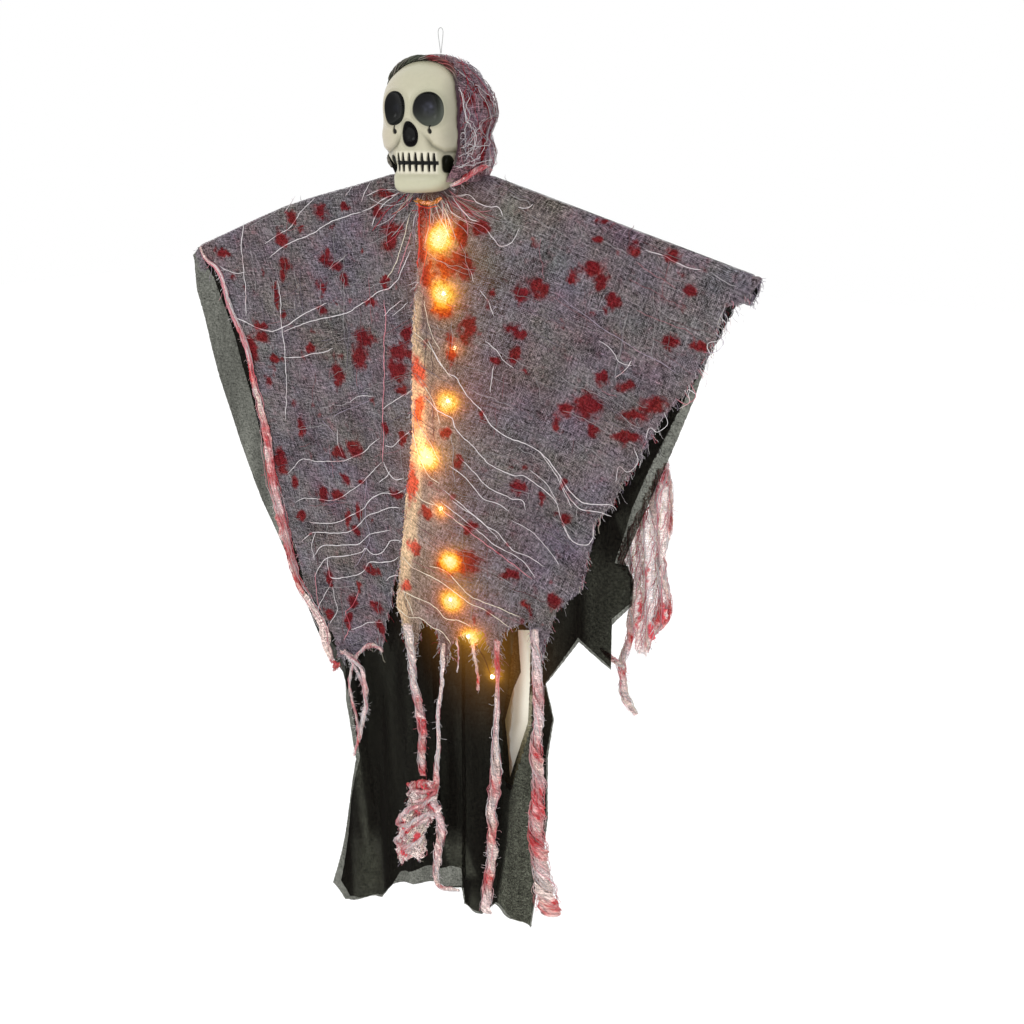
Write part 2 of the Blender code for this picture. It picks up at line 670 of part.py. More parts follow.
# ------------------------------------------------------------------ battery case
battery_case = block("battery_case", (-CASE_W / 2, CASE_FRONT, CASE_BOTTOM), (CASE_W / 2, CASE_BACK, CASE_TOP), M_CASE, bevel=0.0008)
MID_Z = (CASE_TOP + CASE_BOTTOM) / 2
cell_bay = cutter(turned("cell_bay", [(0, -0.0147), (0.0103, -0.0147), (0.0103, -0.0065), (0, -0.0065)], M_CASE, at=(0, 0, MID_Z), axis="Y", n=24))
cover_slot = cutter(block("cover_slot", (-0.0142, -0.01565, CASE_BOTTOM - 0.002), (0.0142, -0.01425, CASE_TOP - 0.0030), M_CASE))
window = cutter(block("cover_window", (-0.0125, CASE_FRONT - 0.001, CASE_BOTTOM - 0.002), (0.0125, -0.0150, CASE_TOP - 0.0045), M_CASE))
switch_bay = cutter(block("switch_bay", (-CASE_W / 2 - 0.001, -0.0125, MID_Z - 0.0045), (-CASE_W / 2 + 0.0038, -0.0085, MID_Z + 0.0045), M_CASE))
side_bay = cutter(block("side_bay", (0.0095, -0.0125, MID_Z - 0.0028), (0.0118, -0.0085, MID_Z + 0.0028), M_CASE))
for tool in (cell_bay, cover_slot, window, switch_bay, side_bay):
    cut(battery_case, tool)

cover_plate = block("battery_cover", (-0.0139, -0.01535, CASE_BOTTOM + 0.0002), (0.0139, -0.01455, CASE_TOP - 0.0034), M_CASE)
grip = cutter(block("cover_grip", (-0.0118, -0.0163, CASE_BOTTOM + 0.0010), (0.0118, -0.0151, CASE_TOP - 0.0055), M_CASE))
cut(cover_plate, grip, "UNION")

# two cells, one on the other, axis along Y
for tag, y0, y1 in (("front", -0.01415, -0.01095), ("rear", -0.01065, -0.00745)):
    turned("button_cell_" + tag, [(0, y0), (0.0100, y0), (0.0100, y1), (0, y1)], M_CELL, at=(0, 0, MID_Z), axis="Y", n=24)

block("contact_spring", (-0.0055, -0.00715, MID_Z - 0.0055), (0.0055, -0.0068, MID_Z + 0.0055), M_CONTACT)
block("contact_side", (0.0107, -0.0120, MID_Z - 0.0022), (0.0113, -0.0090, MID_Z + 0.0022), M_CONTACT)
knob = block("switch_slider", (-CASE_W / 2 - 0.0014, -0.0121, MID_Z - 0.0041), (-CASE_W / 2 + 0.0032, -0.0089, MID_Z + 0.0009), M_YOKE, bevel=0.0004)

# strap that hangs the case from the yoke: a folded tape behind the case, over the yoke's rear face
case_hanger = block("case_hanger", (-0.007, CASE_BACK + GAP, CASE_TOP - 0.020), (0.007, CASE_BACK + GAP + 0.0010, YOKE_Z - 0.0045 - GAP), M_ROBE)

wire_gland = turned("wire_gland", [(0, 0), (0.0018, 0), (0.0018, 0.0010), (0.0011, 0.0030), (0, 0.0030)], M_CASE, at=(CASE_W / 2 + GAP, -0.0105, -0.156), axis="X", n=16)

# ------------------------------------------------------------------ light string
LED_R = 0.0022
LED_XZ = [(0.020, -0.180), (0.0245, -0.229), (0.0340, -0.278), (0.0270, -0.328), (0.0050, -0.384), (0.0180, -0.434), (0.0260, -0.485), (0.0260, -0.527), (0.0430, -0.564), (0.0640, -0.604)]


def light_y(x, z):
    """Half way between the robe and the gauze in front of it."""
    return 0.5 * (front_robe_y(x, z) + front_gauze_y(x, z)) - 0.0004


beads = [(x, float(light_y(x, z)), z) for x, z in LED_XZ]
lead_in = [
    (CASE_W / 2 + GAP + 0.0033, -0.0105, -0.156),
    (0.0212, -0.0110, -0.1562),
    (0.0228, -0.0160, -0.1590),
    (0.0215, -0.0240, -0.1640),
    (0.0205, -0.0310, -0.1690),
    (0.0202, -0.0350, -0.1740),
]
WIRE_D = 0.0008

# the wire hangs from light to light in slack bows that alternate from side to side, and ends in the last light;
# it runs straight for 6 mm through each light
route, heading = list(lead_in), []
for k, b in enumerate(beads):
    before = Vector(beads[k - 1]) if k else Vector((b[0], b[1], b[2] + 0.04))
    after = Vector(beads[k + 1]) if k + 1 < len(beads) else Vector(b) + Vector(b) - before
    d = (after - before).normalized()
    heading.append(d)
    route += [tuple(Vector(b) - 0.0032 * d), b] + ([tuple(Vector(b) + 0.0032 * d)] if k + 1 < len(beads) else [])
    if k + 1 < len(beads):
        c = beads[k + 1]
        x, z = (b[0] + c[0]) / 2 + 0.0030 * (-1) ** k, (b[2] + c[2]) / 2
        route.append((x, float(light_y(x, z)), z))
fine = smooth_path(route, 1200)
run = np.concatenate([[0], np.cumsum(np.linalg.norm(np.diff(fine, axis=0), axis=1))])
stops = [0.0]
for b in beads:
    i = int(np.argmin(np.linalg.norm(fine - np.array(b), axis=1)))
    stops += [run[i] - 0.0030, run[i] + 0.0030] if i < len(fine) - 1 else [run[-1] - 0.0030, run[-1]]
marks = [0.0]
for a, b in zip(stops, stops[1:]):
    n = max(1, round((b - a) / 0.0075)) if len(marks) > 1 else 9
    marks += [a + (b - a) * (q + 1) / n for q in range(n)]
led_path = np.stack([np.interp(marks, run, fine[:, q]) for q in range(3)], 1)
tube("led_wire", led_path, WIRE_D / 2, M_LEDWIRE)

for k, b in enumerate(beads):
    d, R, hole = heading[k], LED_R * 0.9, 0.0008
    if k + 1 < len(beads):
        prof = [(hole, -LED_R * 0.9), (R * 0.62, -LED_R * 0.82), (R, 0.0), (R * 0.62, LED_R * 0.82), (hole, LED_R * 0.9)]
        drop = ring("led_bead_%02d" % (k + 1), prof, M_BEAD, n=8)
    else:
        prof = [(0, -LED_R), (R * 0.62, -LED_R * 0.82), (R, 0.0), (R * 0.62, LED_R * 0.82), (0, LED_R)]
        drop = turned("led_bead_%02d" % (k + 1), prof, M_BEAD, n=8)
        b = Vector(b) + d * (LED_R + GAP)
    turn = Vector((0, 0, 1)).rotation_difference(d)
    drop.data.transform(Matrix.Translation(Vector(b)) @ turn.to_matrix().to_4x4())
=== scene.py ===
"""Looks of the hanging ghost decoration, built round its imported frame.

Metres, +Z up; the ghost faces -Y and its own left is +X (the viewer's right).
"""
import math

import bmesh
import bpy
import numpy as np
from mathutils import Matrix, Vector
from mathutils.geometry import delaunay_2d_cdt


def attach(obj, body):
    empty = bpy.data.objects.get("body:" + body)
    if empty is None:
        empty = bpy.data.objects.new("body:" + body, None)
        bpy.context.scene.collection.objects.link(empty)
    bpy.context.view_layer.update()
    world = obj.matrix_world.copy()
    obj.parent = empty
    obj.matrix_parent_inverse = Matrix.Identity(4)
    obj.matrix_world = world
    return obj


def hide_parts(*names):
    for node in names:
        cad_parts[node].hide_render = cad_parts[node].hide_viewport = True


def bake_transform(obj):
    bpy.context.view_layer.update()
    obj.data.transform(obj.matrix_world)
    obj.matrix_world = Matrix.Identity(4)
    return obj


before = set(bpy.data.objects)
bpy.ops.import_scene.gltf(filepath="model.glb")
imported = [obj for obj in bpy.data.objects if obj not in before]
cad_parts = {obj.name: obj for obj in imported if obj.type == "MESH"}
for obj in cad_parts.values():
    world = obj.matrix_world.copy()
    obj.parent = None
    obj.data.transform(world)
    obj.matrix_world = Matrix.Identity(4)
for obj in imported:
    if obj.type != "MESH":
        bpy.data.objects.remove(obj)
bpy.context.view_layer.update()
rng = np.random.default_rng(20)

# ---------------------------------------------------------------- camera
F_PX = 1200.0  # focal length in pixels of a 1024 px picture
YAW, PITCH, PAN = math.radians(33.0), math.radians(17.09), math.radians(3.174)
CAM = np.array([1.15 * math.sin(YAW), -1.15 * math.cos(YAW), -0.09795])
_h = np.array([-math.sin(YAW), math.cos(YAW), 0.0])
_r = np.array([math.cos(YAW), math.sin(YAW), 0.0])
_hh = _h * math.cos(PAN) + _r * math.sin(PAN)
CAM_R = _r * math.cos(PAN) - _h * math.sin(PAN)
CAM_F = _hh * math.cos(PITCH) - np.array([0, 0, math.sin(PITCH)])
CAM_U = np.cross(CAM_R, CAM_F)

cam_data = bpy.data.cameras.new("view_camera")
cam_data.sensor_width = 36.0
cam_data.lens = F_PX / 1024.0 * 36.0
cam_data.clip_start = 0.01
cam_data.clip_end = 50.0
cam = bpy.data.objects.new("view_camera", cam_data)
bpy.context.scene.collection.objects.link(cam)
cam.matrix_world = Matrix(
    [
        [CAM_R[0], CAM_U[0], -CAM_F[0], CAM[0]],
        [CAM_R[1], CAM_U[1], -CAM_F[1], CAM[1]],
        [CAM_R[2], CAM_U[2], -CAM_F[2], CAM[2]],
        [0, 0, 0, 1],
    ]
)
bpy.context.scene.camera = cam


def project(P):
    d = np.asarray(P, float) - CAM
    z = d @ CAM_F
    return np.stack([512 + F_PX * (d @ CAM_R) / z, 512 - F_PX * (d @ CAM_U) / z], -1)


def on(points, surf, lift=0.0, steps=24):
    """Points of a surface y = surf(x, z) seen at picture points, lifted towards -Y."""
    q = np.asarray(points, float).reshape(-1, 2)
    d = CAM_F + np.outer((q[:, 0] - 512) / F_PX, CAM_R) - np.outer((q[:, 1] - 512) / F_PX, CAM_U)
    y = np.full(len(q), -0.02)
    for _ in range(steps):
        t = (y - CAM[1]) / d[:, 1]
        P = CAM + t[:, None] * d
        y = surf(P[:, 0], P[:, 2]) - lift
    P[:, 1] = y
    return P


# ---------------------------------------------------------------- small maths
def ss(a, b, x):
    t = np.clip((np.asarray(x, float) - a) / (b - a), 0, 1)
    return t * t * (3 - 2 * t)


def bump(x, c, w):
    return np.exp(-(((x - c) / w) ** 2))


def spline(points, n):
    """n points at even steps along a smooth curve through the given points (any dimension)."""
    P = np.asarray(points, float)
    if len(P) == 2:
        t = np.linspace(0, 1, n)[:, None]
        return P[0] * (1 - t) + P[1] * t
    P = np.vstack([2 * P[0] - P[1], P, 2 * P[-1] - P[-2]])
    fine = []
    t = np.linspace(0, 1, 16, endpoint=False)[:, None]
    for i in range(1, len(P) - 2):
        a, b, c, d = P[i - 1], P[i], P[i + 1], P[i + 2]
        fine.append(0.5 * ((2 * b) + (c - a) * t + (2 * a - 5 * b + 4 * c - d) * t * t + (3 * b - a - 3 * c + d) * t**3))
    A = np.vstack(fine + [P[-2][None]])
    s = np.concatenate([[0], np.cumsum(np.linalg.norm(np.diff(A, axis=0), axis=1))])
    u = np.linspace(0, s[-1], n)
    return np.stack([np.interp(u, s, A[:, k]) for k in range(A.shape[1])], 1)


def length_of(P):
    return float(np.linalg.norm(np.diff(np.asarray(P), axis=0), axis=1).sum())


class Noise:
    """Smooth value noise on a lattice, seeded."""

    def __init__(self, seed, dims=3, size=32):
        self.size, self.dims = size, dims
        self.v = np.random.default_rng(seed).random((size,) * dims) * 2 - 1

    def __call__(self, *xs):
        xs = np.broadcast_arrays(*[np.asarray(x, float) for x in xs])
        out = np.zeros(xs[0].shape)
        i0 = [np.floor(x).astype(int) for x in xs]
        f = [(lambda t: t * t * (3 - 2 * t))(x - i) for x, i in zip(xs, i0)]
        for corner in range(2**self.dims):
            w, idx = 1.0, []
            for k in range(self.dims):
                o = (corner >> k) & 1
                w = w * (f[k] if o else 1 - f[k])
                idx.append((i0[k] + o) % self.size)
            out = out + w * self.v[tuple(idx)]
        return out


N2, N2b, N3, N3b = Noise(1, 2), Noise(2, 2), Noise(3), Noise(4)


# ---------------------------------------------------------------- where the frame's layers lie (as in the frame's source)
YOKE_Z, ARM_ROOT_X, ARM_TIP_X, ARM_TIP_Z = -0.131, 0.045, 0.305, -0.2095
SLOPE = math.atan2(YOKE_Z - ARM_TIP_Z, ARM_TIP_X - ARM_ROOT_X)
HOOD_FRONT_Y, HOOD_A, HOOD_B, HOOD_Y, HOOD_BOTTOM_Z = -0.0445, 0.0486, 0.0586, -0.0040, -0.1215


def arm_z(x):
    return YOKE_Z + (ARM_TIP_Z - YOKE_Z) * (np.abs(x) - ARM_ROOT_X) / (ARM_TIP_X - ARM_ROOT_X)


def top_edge(x):
    return np.minimum(-0.1292, arm_z(x) + 0.0045)


def chest(x, z):
    rise = ss(-0.127, -0.185, z)
    fall = 1 - 0.35 * ss(-0.45, -0.90, z)
    return (0.006 * ss(-0.126, -0.14, z) + 0.024 * rise) * np.exp(-((x / 0.085) ** 2)) * fall


def ripple(x, z):
    """Folds shared by every layer: they start at the neck and grow towards the hem."""
    d = -z - 0.13
    a = np.arctan2(x, d + 0.07)
    hang = ss(0.0, 0.05, top_edge(x) - z)
    amp = 0.0022 * ss(0.02, 0.20, d) + 0.0040 * ss(0.30, 0.62, d)
    low = 0.0035 * ss(0.50, 0.75, d) * np.sin(x * 150 + 6 * d)
    g = amp * (0.60 * np.sin(13 * a + 0.9 + 2.2 * d) + 0.40 * np.sin(27 * a + 2.1 - 5 * d) + 0.5 * N2(x * 22 + 3, z * 9))
    return hang * (g + low)


def crest(x):
    """The fold over the shoulder wire, where front and back cloth meet."""
    return np.minimum(-0.1268, arm_z(x) + 0.0062 + 0.0080 * bump(x, -0.185, 0.095))


def lid(x, z, up=0.0):
    """0 on the crest, 1 a short way below it: the cloth turns over the wire."""
    t = np.clip((crest(x) + up - z) / 0.011, 0, 1)
    return np.sqrt(np.clip(1 - (1 - t) ** 2, 0, 1))


def collar(x, z):
    """Room for the neck post where the cloth passes round it."""
    return 0.0098 * np.sqrt(np.clip(1 - (x / 0.016) ** 2, 0, 1)) * ss(-0.150, -0.128, z)


def front_robe_y(x, z):
    return -np.maximum((0.0068 + chest(x, z)) * lid(x, z), collar(x, z)) + ripple(x, z)


def front_gauze_y(x, z):
    light = 0.0065 * bump(x, 0.026, 0.040) * ss(-0.140, -0.165, z)
    return -np.maximum((0.0090 + 1.04 * chest(x, z) + light) * lid(x, z, 0.0014), collar(x, z) * 1.15) + ripple(x, z)


def lap_gauze_y(x, z):
    return front_gauze_y(x, z) - 0.0022 * ss(0.060, 0.035, x) * lid(x, z, 0.0014)


def back_robe_y(x, z):
    return np.maximum((0.0068 + 0.55 * chest(x, z)) * lid(x, z), collar(x, z)) + ripple(x + 0.02, z)


def back_gauze_y(x, z):
    return np.maximum((0.0090 + 0.60 * chest(x, z)) * lid(x, z, 0.0014), collar(x, z) * 1.15) + ripple(x + 0.02, z)


LED_XZ = np.array([(0.020, -0.180), (0.0245, -0.229), (0.0340, -0.278), (0.0270, -0.328), (0.0050, -0.384), (0.0180, -0.434), (0.0260, -0.485), (0.0260, -0.527), (0.0430, -0.564), (0.0640, -0.604)])


def light_y(x, z):
    """Where the frame lays the light string: without the cloth's folds."""
    r, g = -(0.0068 + chest(x, z)), -(0.0090 + 1.04 * chest(x, z) + 0.0065 * bump(x, 0.026, 0.040) * ss(-0.140, -0.165, z))
    return 0.5 * (r + g) - 0.0004


LEDS = np.array([(x, float(light_y(x, z)), z) for x, z in LED_XZ])
# how strongly each light shows
LED_POWER = np.array([1.0, 0.80, 0.25, 0.85, 1.15, 0.40, 0.90, 0.95, 0.75, 0.45])


# ---------------------------------------------------------------- node helpers
class Mat:
    """A material's node tree, written as expressions."""

    def __init__(self, name):
        self.m = bpy.data.materials.new(name)
        self.m.use_nodes = True
        self.t = self.m.node_tree
        self.t.nodes.clear()
        self.out = self.t.nodes.new("ShaderNodeOutputMaterial")

    def node(self, kind, **props):
        n = self.t.nodes.new("ShaderNode" + kind)
        for k, v in props.items():
            setattr(n, k, v)
        return n

    def put(self, sock, value):
        if isinstance(value, bpy.types.NodeSocket):
            self.t.links.new(value, sock)
        elif value is not None:
            if isinstance(value, (tuple, list)) and len(value) == 3 and sock.type == "RGBA":
                value = (*value, 1.0)
            sock.default_value = value

    def math(self, op, a, b=None, c=None, clamp=False):
        n = self.node("Math", operation=op, use_clamp=clamp)
        self.put(n.inputs[0], a)
        if b is not None:
            self.put(n.inputs[1], b)
        if c is not None:
            self.put(n.inputs[2], c)
        return n.outputs[0]

    def mix(self, f, a, b, mode="MIX"):
        n = self.node("Mix", data_type="RGBA", blend_type=mode, clamp_factor=True)
        self.put(n.inputs[0], f)
        self.put(n.inputs[6], a)
        self.put(n.inputs[7], b)
        return n.outputs[2]

    def ramp(self, f, stops, interp="LINEAR"):
        n = self.node("ValToRGB")
        n.color_ramp.interpolation = interp
        e = n.color_ramp.elements
        while len(e) < len(stops):
            e.new(0.5)
        for el, (p, c) in zip(e, stops):
            el.position = p
            el.color = (c, c, c, 1) if not isinstance(c, (tuple, list)) else (*c, 1)
        self.put(n.inputs[0], f)
        return n.outputs[0]

    def step(self, f, a, b):
        """0 below a, 1 above b."""
        n = self.node("MapRange", clamp=True)
        self.put(n.inputs[0], f)
        n.inputs[1].default_value, n.inputs[2].default_value = a, b
        return n.outputs[0]

    def coord(self, which="Object"):
        return self.node("TexCoord").outputs[which]

    def noise(self, vec, scale, detail=3.0, rough=0.55, out=0, dims="3D"):
        n = self.node("TexNoise", noise_dimensions=dims)
        self.put(n.inputs["Vector"], vec)
        n.inputs["Scale"].default_value = scale
        n.inputs["Detail"].default_value = detail
        n.inputs["Roughness"].default_value = rough
        return n.outputs[out]

    def white(self, vec, dims="3D", out=0):
        n = self.node("TexWhiteNoise", noise_dimensions=dims)
        if dims == "1D":
            self.put(n.inputs["W"], vec)
        else:
            self.put(n.inputs["Vector"], vec)
        return n.outputs[out]

    def attr(self, name, out="Fac"):
        n = self.node("Attribute", attribute_name=name, attribute_type="GEOMETRY")
        return n.outputs[out]

    def sep(self, vec):
        n = self.node("SeparateXYZ")
        self.put(n.inputs[0], vec)
        return n.outputs

    def comb(self, x, y, z=0.0):
        n = self.node("CombineXYZ")
        for k, v in enumerate((x, y, z)):
            self.put(n.inputs[k], v)
        return n.outputs[0]

    def vec(self, op, a, b=None, scale=None):
        n = self.node("VectorMath", operation=op)
        self.put(n.inputs[0], a)
        if b is not None:
            self.put(n.inputs[1], b)
        if scale is not None:
            self.put(n.inputs["Scale"], scale)
        return n.outputs[0]

    def bumpmap(self, height, strength, distance):
        n = self.node("Bump")
        n.inputs["Strength"].default_value = strength
        n.inputs["Distance"].default_value = distance
        self.put(n.inputs["Height"], height)
        return n.outputs[0]

    def principled(self, **kw):
        n = self.node("BsdfPrincipled")
        for k, v in kw.items():
            self.put(n.inputs[k.replace("_", " ")], v)
        return n

    def finish(self, shader):
        self.t.links.new(shader if isinstance(shader, bpy.types.NodeSocket) else shader.outputs[0], self.out.inputs[0])
        return self.m


def lin(r, g, b):
    """sRGB 0-255 to linear."""
    return tuple((c / 255 / 12.92) if c <= 10 else ((c / 255 + 0.055) / 1.055) ** 2.4 for c in (r, g, b))


# ---------------------------------------------------------------- materials
def glow_colour(M, g, amber=False):
    """Warm light let through by cloth near a lit drop: red-brown far out (amber through the black cloth), orange, then yellow."""
    if amber:
        return M.ramp(g, [(0.0, (0.0, 0.0, 0.0)), (0.10, (0.060, 0.024, 0.003)), (0.28, (0.22, 0.090, 0.010)), (0.50, (0.62, 0.27, 0.02)), (0.80, (1.0, 0.62, 0.07))])
    return M.ramp(g, [(0.0, (0.0, 0.0, 0.0)), (0.10, (0.10, 0.026, 0.002)), (0.24, (0.36, 0.085, 0.006)), (0.40, (0.84, 0.25, 0.012)), (0.54, (1.0, 0.50, 0.035)), (0.70, (1.0, 0.74, 0.12)), (0.90, (1.0, 0.93, 0.40))])


def gauze_material(name, pitch, cover, tint_a, tint_b, loose=1.0, rough=1.0, reds=None):
    """Open plain weave: alpha between the threads, each thread its own width and shade; red printed blotches."""
    M = Mat(name)
    uv = M.node("UVMap", uv_map="grain").outputs[0]
    wob = M.noise(uv, 55.0, 2.0, 0.5, out=1)
    wob = M.vec("SCALE", M.vec("SUBTRACT", wob, (0.5, 0.5, 0.5)), scale=0.0050 * loose)
    wob2 = M.noise(uv, 420.0, 1.0, 0.5, out=1)
    wob2 = M.vec("SCALE", M.vec("SUBTRACT", wob2, (0.5, 0.5, 0.5)), scale=0.0011 * loose)
    q = M.vec("ADD", M.vec("ADD", uv, wob), wob2)
    q = M.vec("SCALE", q, scale=1.0 / pitch)
    s = M.sep(q)
    dens = M.noise(uv, 26.0, 3.0, 0.6)
    threads, shade = [], []
    for k in (0, 1):
        idx = M.math("FLOOR", s[k])
        f = M.math("ABSOLUTE", M.math("SUBTRACT", M.math("FRACT", s[k]), 0.5))
        rnd = M.white(M.math("ADD", idx, 17.3 * (k + 1)), dims="1D")
        # width also wanders along the thread
        along = M.noise(M.comb(M.math("MULTIPLY", idx, 7.7), M.math("MULTIPLY", s[1 - k], 0.42)), 1.0, 3.0, 0.7)
        w = M.math("ADD", M.math("MULTIPLY", rnd, 0.08), M.math("MULTIPLY", along, 0.38))
        w = M.math("ADD", w, M.math("MULTIPLY", M.math("SUBTRACT", dens, 0.5), 0.50))
        w = M.math("ADD", w, cover - 0.20)
        d = M.math("SUBTRACT", w, f)
        threads.append(M.step(d, -0.05, 0.05))
        shade.append(M.math("MULTIPLY", M.math("ADD", 0.82, M.math("MULTIPLY", rnd, 0.34)), M.math("ADD", 0.10, M.math("MULTIPLY", along, 1.8))))
    over = M.math("PINGPONG", M.math("ADD", M.math("FLOOR", s[0]), M.math("FLOOR", s[1])), 1.0)
    # which thread lies on top at a crossing
    top0 = M.math("MULTIPLY", threads[0], M.math("SUBTRACT", 1.0, M.math("MULTIPLY", threads[1], over)))
    lum = M.math("ADD", M.math("MULTIPLY", shade[0], top0), M.math("MULTIPLY", shade[1], M.math("SUBTRACT", 1.0, top0)))
    solid = M.math("MAXIMUM", threads[0], threads[1])
    tone = M.noise(uv, 11.0, 3.0, 0.6)
    base = M.mix(tone, tint_a, tint_b)
    hue = M.noise(M.vec("ADD", uv, (3.1, 1.7, 0.0)), 19.0, 3.0, 0.65, out=1)
    base = M.mix(0.24, base, hue, "OVERLAY")
    grain = M.noise(uv, 260.0, 2.0, 0.7)
    # crepe: short bright and dark runs along both thread directions
    speck = M.step(M.noise(uv, 440.0, 2.0, 0.65), 0.36, 0.64)
    run0 = M.step(M.noise(M.vec("MULTIPLY", uv, (1.0, 0.20, 1.0)), 560.0, 2.0, 0.6), 0.40, 0.62)
    run1 = M.step(M.noise(M.vec("MULTIPLY", M.vec("ADD", uv, (0.31, 0.73, 0.0)), (0.20, 1.0, 1.0)), 560.0, 2.0, 0.6), 0.40, 0.62)
    crepe = M.math("ADD", M.math("ADD", 0.02 * rough + (1 - rough), M.math("MULTIPLY", speck, 0.80 * rough)), M.math("MULTIPLY", M.math("ADD", run0, run1), 0.54 * rough))
    lum = M.math("MULTIPLY", lum, crepe)
    base = M.mix(1.0, base, M.comb(lum, lum, lum), "MULTIPLY")
    # printed red
    bl = M.attr("blot")
    rag = M.noise(uv, 120.0, 4.0, 0.7)
    mask = M.step(M.math("ADD", bl, M.math("MULTIPLY", M.math("SUBTRACT", rag, 0.5), 1.5)), 0.22, 0.78)
    red_a, red_b = reds or (lin(122, 4, 14), lin(70, 2, 10))
    red = M.mix(M.noise(uv, 60.0, 3.0, 0.6), red_a, red_b)
    if not reds:
        red = M.mix(M.math("MULTIPLY", M.step(M.noise(uv, 34.0, 2.0, 0.5), 0.45, 0.65), 0.6), red, lin(112, 26, 20))
        # faint stains everywhere
        faint = M.step(M.noise(M.vec("ADD", uv, (0.7, 5.3, 0.0)), 62.0, 4.0, 0.72), 0.55, 0.72)
        base = M.mix(M.math("MULTIPLY", faint, 0.42), base, M.mix(1.0, lin(128, 62, 74), M.comb(lum, lum, lum), "MULTIPLY"))
        # painted light: on the back-lit folded edge the red turns orange
        red = M.mix(M.math("MULTIPLY", M.attr("fold"), 0.85, clamp=True), red, lin(216, 66, 46))
    red = M.mix(1.0, red, M.comb(*[M.math("ADD", 0.28, M.math("MULTIPLY", crepe, 0.84))] * 3), "MULTIPLY")
    base = M.mix(M.math("MULTIPLY", mask, 0.92), base, red)
    # cloth close to a lit drop takes its colour
    base = M.mix(M.math("MULTIPLY", M.attr("glow"), 1.6, clamp=True), base, M.mix(1.0, base, (1.0, 0.52, 0.20), "MULTIPLY"))
    # the doubled front edge: cream, lit from behind
    fold = M.attr("fold")
    pale = M.math("ADD", 0.34, M.math("MULTIPLY", crepe, 0.72))
    base = M.mix(M.math("MULTIPLY", fold, M.math("SUBTRACT", 0.85, M.math("MULTIPLY", mask, 0.75))), base, M.mix(1.0, lin(236, 206, 166), M.comb(pale, pale, pale), "MULTIPLY"))
    filled = M.math("MAXIMUM", solid, M.math("MULTIPLY", mask, 0.80))
    filled = M.math("MAXIMUM", filled, M.math("MULTIPLY", fold, 0.85))
    hole = M.attr("hole")
    base = M.mix(M.math("MULTIPLY", hole, 0.9, clamp=True), base, lin(34, 28, 32))
    filled = M.math("MULTIPLY", filled, M.math("SUBTRACT", 1.0, hole))
    g = M.attr("glow")
    gmod = M.math("MULTIPLY", g, M.math("ADD", 0.60, M.math("MULTIPLY", crepe, 0.42)))
    P = M.principled(Base_Color=base, Roughness=0.95, Normal=M.bumpmap(M.math("MULTIPLY", lum, solid), 0.6, 0.0006))
    P.inputs["Specular IOR Level"].default_value = 0.04
    lit = glow_colour(M, gmod)
    lit = M.mix(M.math("MULTIPLY", M.math("MULTIPLY", mask, 0.80), M.step(gmod, 0.46, 0.24)), lit, M.mix(1.0, lit, (1.0, 0.36, 0.16), "MULTIPLY"))
    M.put(P.inputs["Emission Color"], lit)
    P.inputs["Emission Strength"].default_value = 1.0
    T = M.node("BsdfTransparent")
    X = M.node("MixShader")
    M.put(X.inputs[0], filled)
    M.t.links.new(T.outputs[0], X.inputs[1])
    M.t.links.new(P.outputs[0], X.inputs[2])
    return M.finish(X)


def robe_material(name, see=0.14, folds=0.5):
    """Spun-bonded black cloth: thin, slightly see-through, with a random fibre texture and denser upright folds."""
    M = Mat(name)
    uv = M.node("UVMap", uv_map="grain").outputs[0]
    fib = M.noise(M.vec("MULTIPLY", uv, (1.0, 0.45, 1.0)), 620.0, 3.0, 0.75)
    fib2 = M.noise(M.vec("MULTIPLY", M.vec("ADD", uv, (0.37, 0.11, 0.0)), (0.45, 1.0, 1.0)), 560.0, 3.0, 0.75)
    blot = M.noise(uv, 95.0, 3.0, 0.6)
    f = M.math("ADD", M.math("MULTIPLY", fib, 0.5), M.math("MULTIPLY", fib2, 0.5))
    upright = M.step(M.noise(M.vec("MULTIPLY", uv, (1.0, 0.10, 1.0)), 42.0, 2.0, 0.5), 0.36, 0.62)
    thin = M.math("ADD", M.math("MULTIPLY", M.math("SUBTRACT", f, 0.5), 1.9), M.math("MULTIPLY", M.math("SUBTRACT", blot, 0.5), 0.35))
    lay = M.math("ADD", 1.0 - folds, M.math("MULTIPLY", upright, 1.3 * folds))
    own = M.math("ADD", M.math("MULTIPLY", lay, see), M.math("MULTIPLY", M.attr("thin"), 0.34))
    clear = M.math("ADD", own, M.math("MULTIPLY", M.math("MULTIPLY", thin, own), 2.8), clamp=True)
    base = M.mix(M.step(f, 0.42, 0.64), lin(4, 3, 3), lin(24, 21, 17))
    g = M.attr("glow")
    gm = M.math("MULTIPLY", g, M.math("ADD", 0.4, M.math("MULTIPLY", f, 0.8)))
    P = M.principled(Base_Color=base, Roughness=0.85, Normal=M.bumpmap(f, 0.5, 0.0004))
    P.inputs["Specular IOR Level"].default_value = 0.03
    M.put(P.inputs["Emission Color"], glow_colour(M, gm, amber=True))
    P.inputs["Emission Strength"].default_value = 0.80
    T = M.node("BsdfTransparent")
    T.inputs[0].default_value = (0.96, 0.98, 0.86, 1.0)
    X = M.node("MixShader")
    M.put(X.inputs[0], M.math("SUBTRACT", 1.0, clear))
    M.t.links.new(T.outputs[0], X.inputs[1])
    M.t.links.new(P.outputs[0], X.inputs[2])
    return M.finish(X)


